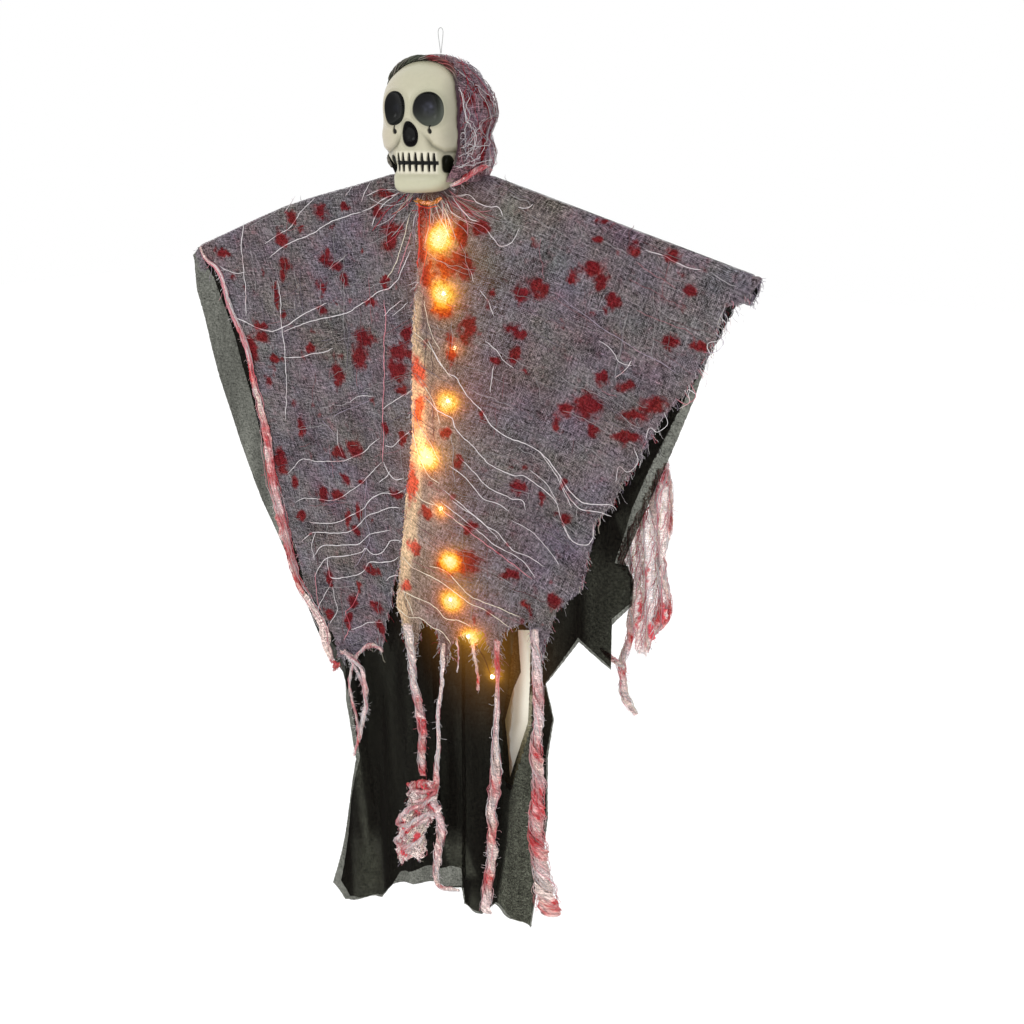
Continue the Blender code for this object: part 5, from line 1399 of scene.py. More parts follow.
# red near the lights and along the front edge
BOX_R += [(419, 436, 262, 290), (452, 464, 246, 268), (430, 446, 300, 318), (411, 424, 355, 385), (414, 426, 392, 412), (405, 413, 462, 506), (440, 452, 425, 440), (420, 432, 505, 520), (436, 460, 556, 575), (408, 420, 540, 556), (400, 412, 580, 592), (412, 430, 205, 222), (444, 456, 330, 345)]
blots_fr = blot_field(BOX_L, front_gauze_y, 5, -1, 70, -0.63, -0.15)
blots_fl = blot_field(BOX_R, lap_gauze_y, 6, 1, 80, -0.57, -0.15)
blots_br = blot_field([], back_gauze_y, 7, -1, 110, -0.60, -0.14, n_large=46)
blots_bl = blot_field([], back_gauze_y, 8, 1, 110, -0.56, -0.14, n_large=46)

px_gfr = [(200, 247), (205, 258), (218, 268), (225, 289), (232, 313), (240, 329), (248, 351), (253, 374), (258, 402), (263, 430), (268, 447), (272, 471), (277, 491), (283, 513), (290, 533), (297, 553), (301, 571), (306, 586), (316, 604), (326, 620), (335, 640), (338, 657), (345, 660), (350, 655), (356, 658), (362, 650), (372, 646),
          (381, 650), (385, 640), (386, 622), (392, 603), (394, 583), (402, 560), (425, 540)]
px_gfl = [(751, 285), (746, 303), (738, 306), (730, 306), (722, 318), (716, 340), (708, 360), (697, 378), (682, 397), (664, 418), (649, 443), (635, 468), (622, 487), (612, 506), (596, 523), (594, 540), (588, 560), (586, 575), (581, 590), (575, 597), (562, 607), (554, 616), (552, 631), (546, 643), (544, 662), (535, 662), (531, 645),
          (528, 622), (510, 628), (504, 632), (500, 655), (497, 668), (489, 648), (483, 631), (476, 632), (477, 655), (473, 655), (471, 640), (466, 634), (456, 638), (449, 652), (446, 668), (442, 668), (441, 650), (436, 629), (422, 621), (417, 645), (414, 662), (409, 660), (402, 622), (396, 604)]
px_gfl_in = [(398, 590), (400, 560), (403, 532), (406, 493), (410, 462), (412, 430), (412, 400), (412, 336), (414, 300), (418, 270), (419, 240), (419, 206)]
e = flat(px_gfr, front_gauze_y)
inner = np.array([(0.026 - 0.020 * ss(-0.15, -0.5, z), z) for z in np.linspace(e[-1, 1] + 0.01, -0.130, 40)])
O = np.vstack([outline(-1, 0.0260, -0.3040, e, inner, up=0.0012)])
g_fr, B_fr = sheet_mesh("gauze_cloth_front_right", O, front_gauze_y, M_GAUZE, SP, ragged=0.0007, seed=50, grain=grain_right, blots=blots_fr)
e = flat(px_gfl, lap_gauze_y)
inner = flat(px_gfl_in, lap_gauze_y)
x_top = float(inner[-1, 0])
O = outline(1, x_top, 0.3020, e, inner, up=0.0012)
edge_line = inner[np.argsort(inner[:, 1])]


def front_fold(x, z):
    """The front edge is turned back on itself: widest below the chest, a few strands at the throat."""
    d = x - np.interp(z, edge_line[:, 1], edge_line[:, 0])
    wide = 0.0105 + 0.0055 * ss(-0.27, -0.34, z) + 0.0045 * N2(z * 40, 0 * z + 0.5)
    haze = 0.34 * ss(0.062, 0.014, d) * ss(-0.235, -0.300, z) * (0.75 + 0.25 * N2(x * 90, z * 40))
    # painted light: where this mask is set, the cloth is coloured cream and made to glow, as lit from behind
    return haze + (1 - haze) * ss(wide + 0.0060, wide - 0.0050, d) * (0.25 + 0.75 * ss(-0.225, -0.250, z)) * (0.45 + 0.55 * ss(-0.60, -0.50, z)) * (0.82 + 0.18 * N2(x * 300, z * 60))


g_fl, B_fl = sheet_mesh("gauze_cloth_front_left", O, lap_gauze_y, M_GAUZE, SP, ragged=0.0007, seed=51, grain=grain_left, blots=blots_fl, fold=front_fold)
e_br = np.array([(-0.3035, -0.2160), (-0.285, -0.232), (-0.268, -0.252), (-0.255, -0.300), (-0.243, -0.350), (-0.232, -0.380), (-0.220, -0.440), (-0.204, -0.500), (-0.184, -0.562), (-0.160, -0.610), (-0.138, -0.632), (-0.120, -0.600), (-0.100, -0.596), (-0.088, -0.625), (-0.076, -0.590), (-0.060, -0.586), (-0.030, -0.572), (-0.012, -0.590), (-0.0010, -0.570)])
e_bl = np.array([(0.3015, -0.2150), (0.284, -0.232), (0.270, -0.262), (0.250, -0.300), (0.228, -0.345), (0.210, -0.385), (0.196, -0.405), (0.170, -0.440), (0.142, -0.488), (0.126, -0.530), (0.112, -0.545), (0.098, -0.556), (0.088, -0.600), (0.078, -0.556), (0.060, -0.560), (0.030, -0.578), (0.012, -0.560), (0.0010, -0.572)])
inn = lambda s, z0: np.array([(s * 0.0010, z) for z in np.linspace(z0 + 0.006, -0.130, 60)])
g_br, B_br = sheet_mesh("gauze_cloth_back_right", outline(-1, -0.0010, -0.3035, e_br, inn(-1, -0.570), up=0.0012), back_gauze_y, M_GAUZE, SP * 1.1, ragged=0.0008, seed=52, grain=grain_right, blots=blots_br)
g_bl, B_bl = sheet_mesh("gauze_cloth_back_left", outline(1, 0.0010, 0.3015, e_bl, inn(1, -0.572), up=0.0012), back_gauze_y, M_GAUZE, SP * 1.1, ragged=0.0008, seed=53, grain=grain_left, blots=blots_bl)
for ob, node, side in ((g_fr, "gauze_front_right", -1), (g_fl, "gauze_front_left", 1), (g_br, "gauze_back_right", -1), (g_bl, "gauze_back_left", 1)):
    arm_blend(ob)
    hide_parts(node)


# ---------------------------------------------------------------- threads drawn out of the gauze
R1 = [(428, 341), (446, 371), (457, 378), (466, 394), (483, 412), (492, 426), (510, 438), (527, 444), (544, 455), (558, 473), (568, 488), (582, 502), (611, 505), (617, 510)]
threads_r = [  # on the viewer's right panel: route, radius in mm, shade
    (R1, 0.50, "w"),
    ([(412, 330), (424, 341), (437, 357), (446, 371), (452, 378)], 0.36, "c"),
    ([(423, 395), (440, 412), (452, 418), (457, 430), (473, 446), (490, 464), (513, 475), (524, 476), (544, 490), (559, 505)], 0.46, "w"),
    ([(458, 456), (473, 470), (486, 485), (510, 498), (522, 500), (526, 510)], 0.42, "w"),
    ([(450, 466), (466, 478), (483, 498), (498, 503), (510, 511)], 0.42, "w"),
    ([(444, 490), (461, 504), (486, 525), (498, 533), (513, 550), (530, 557), (545, 567)], 0.42, "w"),
    ([(441, 501), (450, 508), (477, 530), (495, 545), (522, 560), (535, 577)], 0.42, "w"),
    ([(444, 510), (467, 530), (495, 550), (513, 564), (532, 579)], 0.40, "p"),
    ([(415, 490), (423, 501), (435, 505)], 0.45, "c"),
    ([(403, 556), (414, 568), (433, 577), (451, 589), (471, 604), (484, 609), (510, 627)], 0.48, "c"),
    ([(430, 566), (447, 572), (470, 595), (495, 606), (520, 617)], 0.44, "c"),
    ([(398, 589), (418, 598), (435, 606), (445, 618), (459, 620), (471, 627)], 0.48, "c"),
    ([(396, 606), (409, 617), (421, 618), (432, 627), (442, 632), (451, 644)], 0.48, "c"),
    ([(562, 524), (573, 541), (585, 545), (593, 538), (594, 524)], 0.44, "w"),
    ([(559, 478), (566, 492), (574, 503), (584, 510), (600, 512), (612, 516)], 0.44, "w"),
    ([(540, 452), (552, 468), (560, 482), (566, 496), (572, 508)], 0.34, "w"),
    ([(445, 198), (452, 212), (465, 220), (483, 226), (492, 236), (500, 246), (512, 242), (520, 228)], 0.36, "w"),
    ([(443, 206), (449, 218), (451, 225)], 0.5, "c"),
    ([(456, 196), (470, 195), (478, 203), (490, 207), (498, 207), (503, 216)], 0.42, "w"),
    ([(452, 196), (462, 210), (470, 218), (480, 222)], 0.42, "w"),
    ([(463, 262), (470, 270), (474, 282)], 0.3, "w"),
    ([(480, 290), (488, 300), (494, 316)], 0.3, "w"),
    ([(485, 340), (496, 350), (506, 362), (514, 368)], 0.34, "w"),
    ([(560, 296), (575, 308), (590, 318), (605, 330), (622, 340), (640, 352), (660, 362), (678, 374)], 0.30, "l"),
    ([(600, 340), (612, 350), (620, 362), (632, 366)], 0.34, "w"),
    ([(632, 360), (625, 370), (616, 378)], 0.4, "w"),
    ([(646, 250), (662, 255), (676, 262), (690, 268), (702, 270)], 0.36, "w"),
    ([(494, 365), (492, 380), (490, 392)], 0.36, "w"),
    ([(518, 207), (528, 208), (534, 204)], 0.34, "w"),
    ([(419, 200), (420, 240), (418, 268)], 0.9, "o"),
    ([(431, 206), (429, 236), (425, 262), (421, 284)], 0.5, "o"),
    ([(413, 430), (418, 452), (428, 474), (440, 484)], 0.45, "c"),
    ([(412, 404), (420, 425), (432, 446), (440, 462)], 0.4, "c"),
    ([(417, 376), (428, 392), (436, 408), (440, 424)], 0.4, "c"),
    ([(430, 500), (440, 508), (455, 520), (470, 530)], 0.4, "c"),
    ([(399, 578), (408, 600), (414, 616)], 0.4, "c"),
    ([(452, 500), (462, 508), (480, 520), (500, 540)], 0.34, "w"),
    ([(530, 470), (545, 482), (556, 500), (562, 520), (570, 540)], 0.3, "w"),
    ([(512, 520), (530, 530), (545, 545), (560, 566)], 0.3, "w"),
    ([(424, 300), (430, 330), (440, 350)], 0.3, "c"),
    ([(437, 204), (444, 214), (447, 228)], 0.4, "c"),
    ([(414, 200), (424, 204), (434, 203), (441, 198)], 0.8, "a"),
    ([(416, 204), (426, 208), (438, 206)], 0.6, "o"),
    ([(722, 318), (728, 329), (719, 340), (708, 344), (711, 358), (704, 366)], 0.36, "w"),
    ([(716, 334), (724, 342), (716, 352), (702, 352)], 0.28, "l"),
    ([(700, 368), (707, 382), (698, 394), (688, 389), (690, 402), (680, 408)], 0.36, "w"),
    ([(690, 384), (696, 396), (686, 404), (676, 398)], 0.28, "p"),
    ([(664, 412), (668, 424), (658, 432), (650, 428), (646, 440)], 0.30, "w"),
    ([(634, 448), (638, 462), (628, 472), (620, 466), (616, 482)], 0.32, "w"),
]
threads_l = [
    ([(244, 222), (242, 246), (243, 262), (246, 290), (246, 316)], 0.46, "w"),
    ([(230, 316), (236, 318), (246, 322), (257, 328), (272, 331), (287, 325), (300, 317), (310, 311), (327, 303)], 0.52, "w"),
    ([(284, 332), (300, 325), (316, 320), (325, 318), (335, 316), (349, 312), (358, 306), (368, 300), (378, 292), (390, 288), (398, 280), (404, 266), (410, 250)], 0.50, "w"),
    ([(269, 258), (276, 252), (290, 243), (310, 235), (322, 228), (333, 221), (348, 216), (361, 212)], 0.46, "w"),
    ([(265, 244), (276, 236), (290, 228), (298, 216), (306, 206), (316, 198)], 0.36, "w"),
    ([(278, 281), (281, 300), (281, 316), (284, 341), (286, 370), (287, 395), (286, 420)], 0.42, "w"),
    ([(284, 357), (300, 357), (312, 354), (325, 352), (333, 348)], 0.46, "w"),
    ([(384, 300), (386, 320), (384, 341), (385, 371), (383, 409), (384, 438), (383, 462)], 0.44, "p"),
    ([(392, 316), (400, 310), (408, 302)], 0.3, "w"),
    ([(384, 316), (392, 308), (402, 300)], 0.36, "w"),
    ([(329, 270), (336, 264), (344, 258)], 0.3, "w"),
    ([(383, 409), (390, 404), (402, 396), (412, 390)], 0.36, "w"),
    ([(334, 416), (346, 410), (358, 406), (370, 400)], 0.30, "l"),
    ([(288, 474), (295, 466), (302, 459), (315, 461), (328, 461), (342, 461), (356, 456), (364, 452), (372, 444), (380, 438)], 0.44, "w"),
    ([(337, 430), (338, 444), (343, 456)], 0.34, "w"),
    ([(385, 445), (392, 447), (400, 440), (410, 431)], 0.42, "w"),
    ([(296, 502), (304, 498), (318, 499), (333, 500), (342, 497), (352, 490), (361, 484), (372, 472), (382, 462)], 0.40, "w"),
    ([(309, 522), (322, 523), (338, 522), (350, 516), (364, 508), (371, 499), (384, 493), (394, 494), (404, 491)], 0.50, "w"),
    ([(302, 542), (308, 536), (316, 532), (330, 533), (348, 532), (358, 526), (367, 516), (378, 512), (391, 507), (402, 508)], 0.50, "w"),
    ([(314, 556), (322, 546), (338, 545), (358, 544), (366, 538), (371, 534), (390, 530)], 0.48, "w"),
    ([(315, 576), (320, 566), (327, 558), (344, 556), (361, 552), (366, 548), (372, 554), (382, 553), (390, 542), (398, 540), (403, 543)], 0.46, "w"),
    ([(328, 557), (329, 570), (332, 578), (346, 577), (360, 574), (366, 568), (370, 562), (384, 562), (394, 560), (399, 556)], 0.50, "w"),
    ([(386, 580), (392, 576), (399, 575)], 0.46, "w"),
    ([(316, 532), (312, 545), (315, 560)], 0.34, "w"),
    ([(333, 580), (326, 594), (320, 604), (316, 616)], 0.34, "w"),
    ([(367, 478), (366, 492), (366, 520), (370, 538), (360, 560), (354, 568)], 0.34, "l"),
    ([(384, 462), (390, 474), (396, 480), (404, 478)], 0.44, "w"),
    ([(379, 482), (386, 478), (391, 470)], 0.40, "w"),
    ([(315, 572), (317, 590), (318, 602), (322, 610)], 0.34, "p"),
    ([(333, 586), (335, 600), (338, 610), (330, 624)], 0.34, "w"),
    ([(360, 590), (354, 604), (346, 612), (350, 626), (344, 640)], 0.40, "p"),
    ([(352, 629), (360, 627), (370, 622), (382, 622)], 0.40, "w"),
    ([(284, 213), (290, 205), (296, 196)], 0.3, "w"),
    ([(362, 202), (365, 192), (370, 182)], 0.34, "w"),
    ([(346, 196), (350, 190), (352, 186)], 0.3, "w"),
    ([(246, 272), (236, 273), (228, 270), (220, 266)], 0.36, "w"),
    ([(395, 196), (384, 204), (376, 216), (372, 226)], 0.42, "w"),
    ([(400, 193), (386, 198), (374, 206), (362, 212)], 0.36, "w"),
    ([(410, 214), (406, 232), (400, 252), (394, 268), (386, 280)], 0.40, "c"),
    ([(404, 222), (396, 236), (385, 244)], 0.34, "p"),
    ([(398, 190), (380, 190), (366, 196)], 0.32, "w"),
    ([(381, 200), (390, 196), (398, 195)], 0.44, "w"),
    ([(412, 232), (404, 256), (398, 274)], 0.32, "p"),
    ([(350, 402), (360, 396), (372, 396)], 0.3, "w"),
    ([(322, 420), (330, 428), (336, 436)], 0.3, "l"),
]
# o and a are painted light: orange and amber strands at the throat, coloured as by the top light
SHADE = {"w": WHITE, "c": CREAM, "p": PINKISH, "r": REDDISH, "l": LILAC, "o": np.array(lin(232, 92, 62)), "a": np.array(lin(228, 150, 60))}


def thread_lines(items, surf, seed, field):
    r = np.random.default_rng(seed)
    lines, rad, tint = [], [], []
    for k, (px, rr, sh) in enumerate(items):
        n = max(10, int(length_of(px) / 2.2))
        q = spline(px, n)
        s = np.arange(n)
        q = q + 0.60 * np.stack([N2(s * 0.33 + 11 * k, np.full(n, 0.5)), N2(s * 0.33 + 11 * k, np.full(n, 7.5))], 1)
        q = q + 0.42 * np.stack([N2(s * 0.9 + 11 * k, np.full(n, 2.5)), N2(s * 0.9 + 11 * k, np.full(n, 5.5))], 1)
        L = on(q, surf, 0.0009)
        L[:, 1] -= 0.0005 * (1 + N2(s * 0.45 + 5 * k, np.full(n, 3.5)))
        lines.append(L)
        rad.append(rr * 0.00080 * (1 + 0.34 * N2(s * 0.6 + 3 * k, np.full(n, 9.5))))
        c = np.repeat(SHADE[sh][None], n, 0)
        red = np.clip((field(L[:, 0], L[:, 2]) - 0.42) * 4, 0, 0.75)[:, None]
        red = np.maximum(red, 0.55 * np.clip(N2(s * 0.12 + 2 * k, np.full(n, 4.5)) - 0.5, 0, 0.5)[:, None] * 2)
        tint.append(c * (1 - red) + REDDISH * red)
    return lines, rad, tint


def loose_ends(B, surf, n, lo, hi, seed, zmax=None, side=None, every=None):
    """Frayed ends along a torn outline."""
    r = np.random.default_rng(seed)
    out, rad, tint = [], [], []
    m = np.abs(B[:, 1] - crest(B[:, 0])) > 0.012
    if zmax is not None:
        m &= B[:, 1] < zmax
    idx = np.flatnonzero(m)
    t = np.roll(B, -4, 0) - np.roll(B, 4, 0)
    cen = B.mean(0)
    for i in r.choice(idx, int(n * 1.7)):
        d = np.array([t[i, 1], -t[i, 0]])
        d /= np.linalg.norm(d) + 1e-9
        if np.dot(d, B[i] - cen) < 0:
            d = -d
        L = r.uniform(lo, hi) * (0.60 if r.random() < 0.85 else 1.0)
        k = 9
        p = B[i] - d * 0.002
        pts = [p.copy()]
        a = d * 0.75 + np.array([r.normal(0, 0.35), -0.55 + r.normal(0, 0.25)])
        for j in range(k):
            a = a * 0.8 + np.array([r.normal(0, 0.28), -0.16 + r.normal(0, 0.22)])
            a /= np.linalg.norm(a) + 1e-9
            p = p + a * L / k
            pts.append(p.copy())
        pts = spline(np.array(pts), 16)
        y = surf(pts[:, 0], pts[:, 1])
        y = y + np.cumsum(r.normal(0, 0.00035, len(y))) - 0.0003
        out.append(np.stack([pts[:, 0], y, pts[:, 1]], 1))
        rad.append(r.uniform(0.00009, 0.00021))
        tint.append([WHITE, PINKISH, WHITE, LILAC, CREAM, REDDISH][int(r.choice(6, p=[0.34, 0.16, 0.14, 0.20, 0.10, 0.06]))] * r.uniform(0.45, 1.0))
    return out, rad, tint


def strewn(surf, side, n, seed, poly, horizontal, dim=0.55):
    """Fine pulled threads all over a panel, along the weft or warp."""
    r = np.random.default_rng(seed)
    out, rad, tint = [], [], []
    lo, hi = poly.min(0), poly.max(0)
    while len(out) < n:
        p = r.uniform(lo, hi)
        L = r.uniform(0.012, 0.060)
        if r.random() < horizontal:
            d = np.array([1.0, -side * r.uniform(0.2, 0.55)])
        else:
            d = np.array([r.normal(0, 0.12), -1.0])
        d /= np.linalg.norm(d)
        s = np.linspace(-0.5, 0.5, 14)
        q = p + s[:, None] * L * d
        nrm = np.array([-d[1], d[0]])
        q = q + nrm * (0.0016 * N2(s * L * 160 + len(out), np.full(14, 0.7)))[:, None]
        ok = inside(poly, q)
        if ok.sum() < 12:
            continue
        y = surf(q[:, 0], q[:, 1]) - np.sign(-surf(q[:, 0], q[:, 1])) * 0.0006
        out.append(np.stack([q[:, 0], y, q[:, 1]], 1))
        rad.append(r.uniform(0.00013, 0.00026))
        tint.append([WHITE, LILAC, PINKISH][int(r.choice(3, p=[0.5, 0.35, 0.15]))] * r.uniform(0.25, 1.0) * dim)
    return out, rad, tint


def joined(*sets):
    a, b, c = [], [], []
    for x, y, z in sets:
        a += x
        b += y
        c += z
    return a, b, c


L_r = joined(thread_lines(threads_l, front_gauze_y, 3, blots_fr), loose_ends(B_fr, front_gauze_y, 230, 0.005, 0.020, 61), strewn(front_gauze_y, -1, 190, 62, B_fr, 0.55))
th_r = tubes("gauze_threads_right", *L_r)
L_l = joined(thread_lines(threads_r, lap_gauze_y, 4, blots_fl), loose_ends(B_fl, lap_gauze_y, 420, 0.004, 0.017, 63), strewn(lap_gauze_y, 1, 200, 64, B_fl, 0.75))
th_l = tubes("gauze_threads_left", *L_l)
L_b = joined(loose_ends(B_br, back_gauze_y, 220, 0.005, 0.020, 65), strewn(back_gauze_y, -1, 240, 66, B_br, 0.55))
th_br = tubes("gauze_threads_back_right", *L_b)
L_b = joined(loose_ends(B_bl, back_gauze_y, 220, 0.005, 0.020, 67), strewn(back_gauze_y, 1, 240, 68, B_bl, 0.75))
th_bl = tubes("gauze_threads_back_left", *L_b)
for ob, side in ((th_r, -1), (th_l, 1), (th_br, -1), (th_bl, 1)):
    arm_blend(ob)


# ---------------------------------------------------------------- twisted strips
def frame_along(P):
    t = np.gradient(P, axis=0)
    t /= np.maximum(np.linalg.norm(t, axis=1), 1e-9)[:, None]
    side = np.cross(t, np.array([0.0, 1.0, 0.0]))
    side /= np.maximum(np.linalg.norm(side, axis=1), 1e-9)[:, None]
    return t, side, np.cross(side, t)


def twisted(name, P, width, turns, seed, red, flatness=0.45, wraps=1.15, threads=9, fuzz=50, pale=CREAM, strand=0.00036, warm=0.0):
    """A torn gauze strip rolled and twisted on itself, with its drawn threads wound round it.
    P: route; width: visible width at even steps along it; red: (s, spread, strength) of the red stretches."""
    r = np.random.default_rng(seed)
    L = length_of(P)
    n = max(24, int(L / 0.0022))
    P = spline(P, n)
    s = np.linspace(0, 1, n)
    P = P + 0.0011 * np.stack([N2(s * L * 90 + seed, np.full(n, 0.5)), N2(s * L * 90 + seed, np.full(n, 5.5)), np.zeros(n)], 1) * ss(0, 0.06, s)[:, None]
    w = np.interp(s, np.linspace(0, 1, len(width)), width) / 2 * (1 + 0.26 * N2(s * L * 110 + seed, np.full(n, 2.5)))
    _, a, b = frame_along(P)
    phi = 2 * math.pi * turns * s + r.uniform(0, 6)
    m = 17
    u = np.linspace(0, 1, m)
    ang = phi[:, None] + 2 * math.pi * wraps * u[None]
    rad = w[:, None] * (0.50 + 0.50 * u[None]) * (1 + 0.20 * N2(s[:, None] * L * 260 + u[None] * 3 + seed, u[None] * 9 + 0 * s[:, None]))
    ca, sa = np.cos(ang), np.sin(ang) * (flatness + (1 - flatness) * 0.15)
    V = P[:, None] + a[:, None] * (rad * ca)[..., None] + b[:, None] * (rad * sa)[..., None]
    ob = new_mesh(name, V.reshape(-1, 3), grid_faces(n, m), M_STRIP)
    across = float(np.linalg.norm(np.diff(V, axis=1), axis=2).sum(1).mean())
    uv = np.stack([np.broadcast_to(u * across, (n, m)).ravel(), np.broadcast_to((s * L)[:, None], (n, m)).ravel()], 1)
    set_uv(ob, uv + seed * 0.37)
    Q = V.reshape(-1, 3)
    ra = np.zeros(n)
    for c, sp, k in red:
        ra = np.maximum(ra, k * np.exp(-(((s - c) / sp) ** 2)))
    attribute(ob, "blot", np.clip(np.repeat(ra, m) * 0.75 + 0.25 * N2(uv[:, 0] * 300 + seed, uv[:, 1] * 160) * (np.repeat(ra, m) > 0.05), 0, 1))
    # painted light: warm adds an even glow over the whole strip
    attribute(ob, "glow", np.clip(glow_at(Q, 0.8) + warm, 0, 1.2))
    attribute(ob, "hole", np.zeros(len(Q)))
    attribute(ob, "fold", np.zeros(len(Q)))
    lines, rr, tint = [], [], []
    for k in range(int(threads * 1.7)):
        ph = r.uniform(0, 2 * math.pi)
        own = turns * (r.uniform(0.6, 1.2) if k % 3 == 0 else r.uniform(-0.45, 0.55))
        s0, s1 = (0, 1) if k < threads // 2 else sorted(r.uniform(0, 1, 2))
        if s1 - s0 < 0.15:
            s1 = min(1, s0 + 0.2)
        q = np.linspace(s0, s1, max(12, int((s1 - s0) * n)))
        A = 2 * math.pi * own * q + ph
        wr = np.interp(q, s, w) * (1.02 if k % 3 == 0 else r.uniform(0.45, 1.08)) * (1 + 0.16 * N2(q * L * 130 + 5 * k, np.full(len(q), 1.5)))
        base = np.stack([np.interp(q, s, P[:, j]) for j in range(3)], 1)
        aa = np.stack([np.interp(q, s, a[:, j]) for j in range(3)], 1)
        bb = np.stack([np.interp(q, s, b[:, j]) for j in range(3)], 1)
        Lk = base + aa * (wr * np.cos(A))[:, None] + bb * (wr * np.sin(A) * (flatness + 0.12))[:, None]
        Lk = Lk + 0.0007 * np.stack([N2(q * L * 240 + 7 * k, np.full(len(q), 0.5 + j)) for j in range(3)], 1)
        lines.append(Lk)
        rr.append(strand * r.uniform(0.35, 1.05))
        redness = np.interp(q, s, ra)[:, None] * r.uniform(0.35, 1.0)
        # painted light: with warm set, the threads are coloured amber as by the lights
        c = [pale, WHITE, WHITE, PINKISH][int(r.integers(4))] if not warm else np.array(lin(206, 134, 50))
        tint.append((c * (1 - redness) + CORAL * redness) * r.uniform(0.55, 1.0))
    tufts = r.uniform(0.05, 1, max(3, fuzz // 22))
    for k in range(int(fuzz * 0.6)):
        q0 = float(np.clip(tufts[k % len(tufts)] + r.normal(0, 0.012), 0.02, 1)) if k % 2 else r.uniform(0.02, 1)
        i = int(q0 * (n - 1))
        A = r.uniform(0, 2 * math.pi)
        d = a[i] * math.cos(A) * 0.8 + b[i] * math.sin(A) * 0.6 + np.array([0, 0, -0.9 + r.normal(0, 0.4)])
        p = P[i] + (a[i] * math.cos(A) + b[i] * math.sin(A) * flatness) * w[i] * 0.8
        pts = [p]
        for j in range(5):
            d = d + r.normal(0, 0.35, 3)
            d /= np.linalg.norm(d)
            p = p + d * r.uniform(0.0006, 0.0020)
            pts.append(p)
        lines.append(spline(np.array(pts), 10))
        rr.append(r.uniform(0.00008, 0.00016))
        x = min(1.0, ra[i] * r.uniform(0.3, 1))
        tint.append(WHITE * (1 - x) + REDDISH * x)
    th = tubes(name + "_threads", lines, rr, tint)
    co = coords(ob)
    T = np.array(grid_faces(n, m))
    ar = 0.5 * (np.linalg.norm(np.cross(co[T[:, 1]] - co[T[:, 0]], co[T[:, 2]] - co[T[:, 0]]), axis=1) + np.linalg.norm(np.cross(co[T[:, 2]] - co[T[:, 0]], co[T[:, 3]] - co[T[:, 0]]), axis=1))
    ob["flat"] = [float(ar.sum()) / L, L]
    return ob, th


def hung(pts, off):
    x, z = np.array(pts, float).T
    y = (lap_gauze_y(x, z) if off < 0 else back_gauze_y(x, z)) + off
    return np.stack([x, y, z], 1)


BUNDLES = {"fl": [], "fr": [], "bl": [], "br": []}


def strip(name, P, width, turns, seed, red, node=None, side=0, **kw):
    ob, th = twisted(name, np.asarray(P, float), width, turns, seed, red, **kw)
    for o in (ob, th):
        if side:
            arm_blend(o)
        else:
            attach(o, "torso")
    if node:
        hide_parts(node)
    if ob["flat"][0] > 0.0102:
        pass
    else:
        # a drawn bundle of threads rather than a sheet: listed under the gauze it hangs from, in a list that nothing
        # reads
        mid = np.asarray(P, float).mean(0)
        BUNDLES[("f" if mid[1] < 0 else "b") + ("l" if mid[0] > -0.03 else "r")] += [ob, th]
    return ob, th


# tails in front
gz = lambda px, lift=0.0085: on(px, lap_gauze_y, lift)
strip("tail_cloth_1", gz([(347, 656), (360, 667), (366, 687), (365, 706), (360, 733), (353, 756)], 0.0060), [0.006, 0.005, 0.005, 0.003], 3, 71, [(0.3, 0.12, 0.5), (0.85, 0.1, 0.6)], "gauze_tail_1", threads=14, fuzz=90, pale=WHITE)
strip("tail_cloth_2", gz([(407, 624), (412, 655), (413, 680), (418, 702), (422, 728), (422, 756), (424, 775)]), [0.012, 0.0095, 0.008, 0.0085, 0.0105, 0.0085, 0.008], 5, 72, [(0.50, 0.05, 0.7), (0.66, 0.08, 1.0), (0.80, 0.06, 0.9), (0.97, 0.05, 1.0)], "gauze_tail_2", threads=18, fuzz=190, pale=WHITE)
strip("tail_cloth_3", gz([(444, 644), (442, 680), (438, 713), (438, 751), (436, 787), (434, 802), (441, 825), (438, 852), (436, 879), (443, 888), (459, 890)], 0.0070), [0.0055, 0.0042, 0.0038, 0.0045, 0.006, 0.010, 0.0105, 0.008, 0.004], 7, 73, [(0.50, 0.05, 0.8), (0.72, 0.10, 0.45), (0.93, 0.03, 0.7)], "gauze_tail_3", threads=12, fuzz=110, pale=WHITE)
strip("tail_cloth_4", gz([(497, 640), (497, 700), (495, 736), (497, 762), (495, 789), (491, 811), (493, 829), (491, 861), (488, 887), (486, 911)]), [0.007, 0.004, 0.007, 0.012, 0.011, 0.013, 0.014], 4, 74, [(0.08, 0.08, 1.0), (0.52, 0.04, 0.6), (0.70, 0.05, 0.8), (0.88, 0.05, 0.9)], "gauze_tail_4", threads=18, fuzz=190, pale=np.array(lin(196, 182, 184)))
strip("tail_cloth_5", gz([(535, 630), (538, 700), (537, 754), (539, 780), (537, 807), (537, 834), (540, 861), (545, 888), (549, 912)], 0.0110), [0.009, 0.0105, 0.011, 0.012, 0.015, 0.018, 0.024, 0.032], 6, 75, [(0.22, 0.05, 0.55), (0.42, 0.05, 0.7), (0.60, 0.08, 1.0), (0.74, 0.07, 0.9), (0.97, 0.05, 0.8)], "gauze_tail_5", threads=28, fuzz=260, pale=np.array(lin(240, 206, 206)))
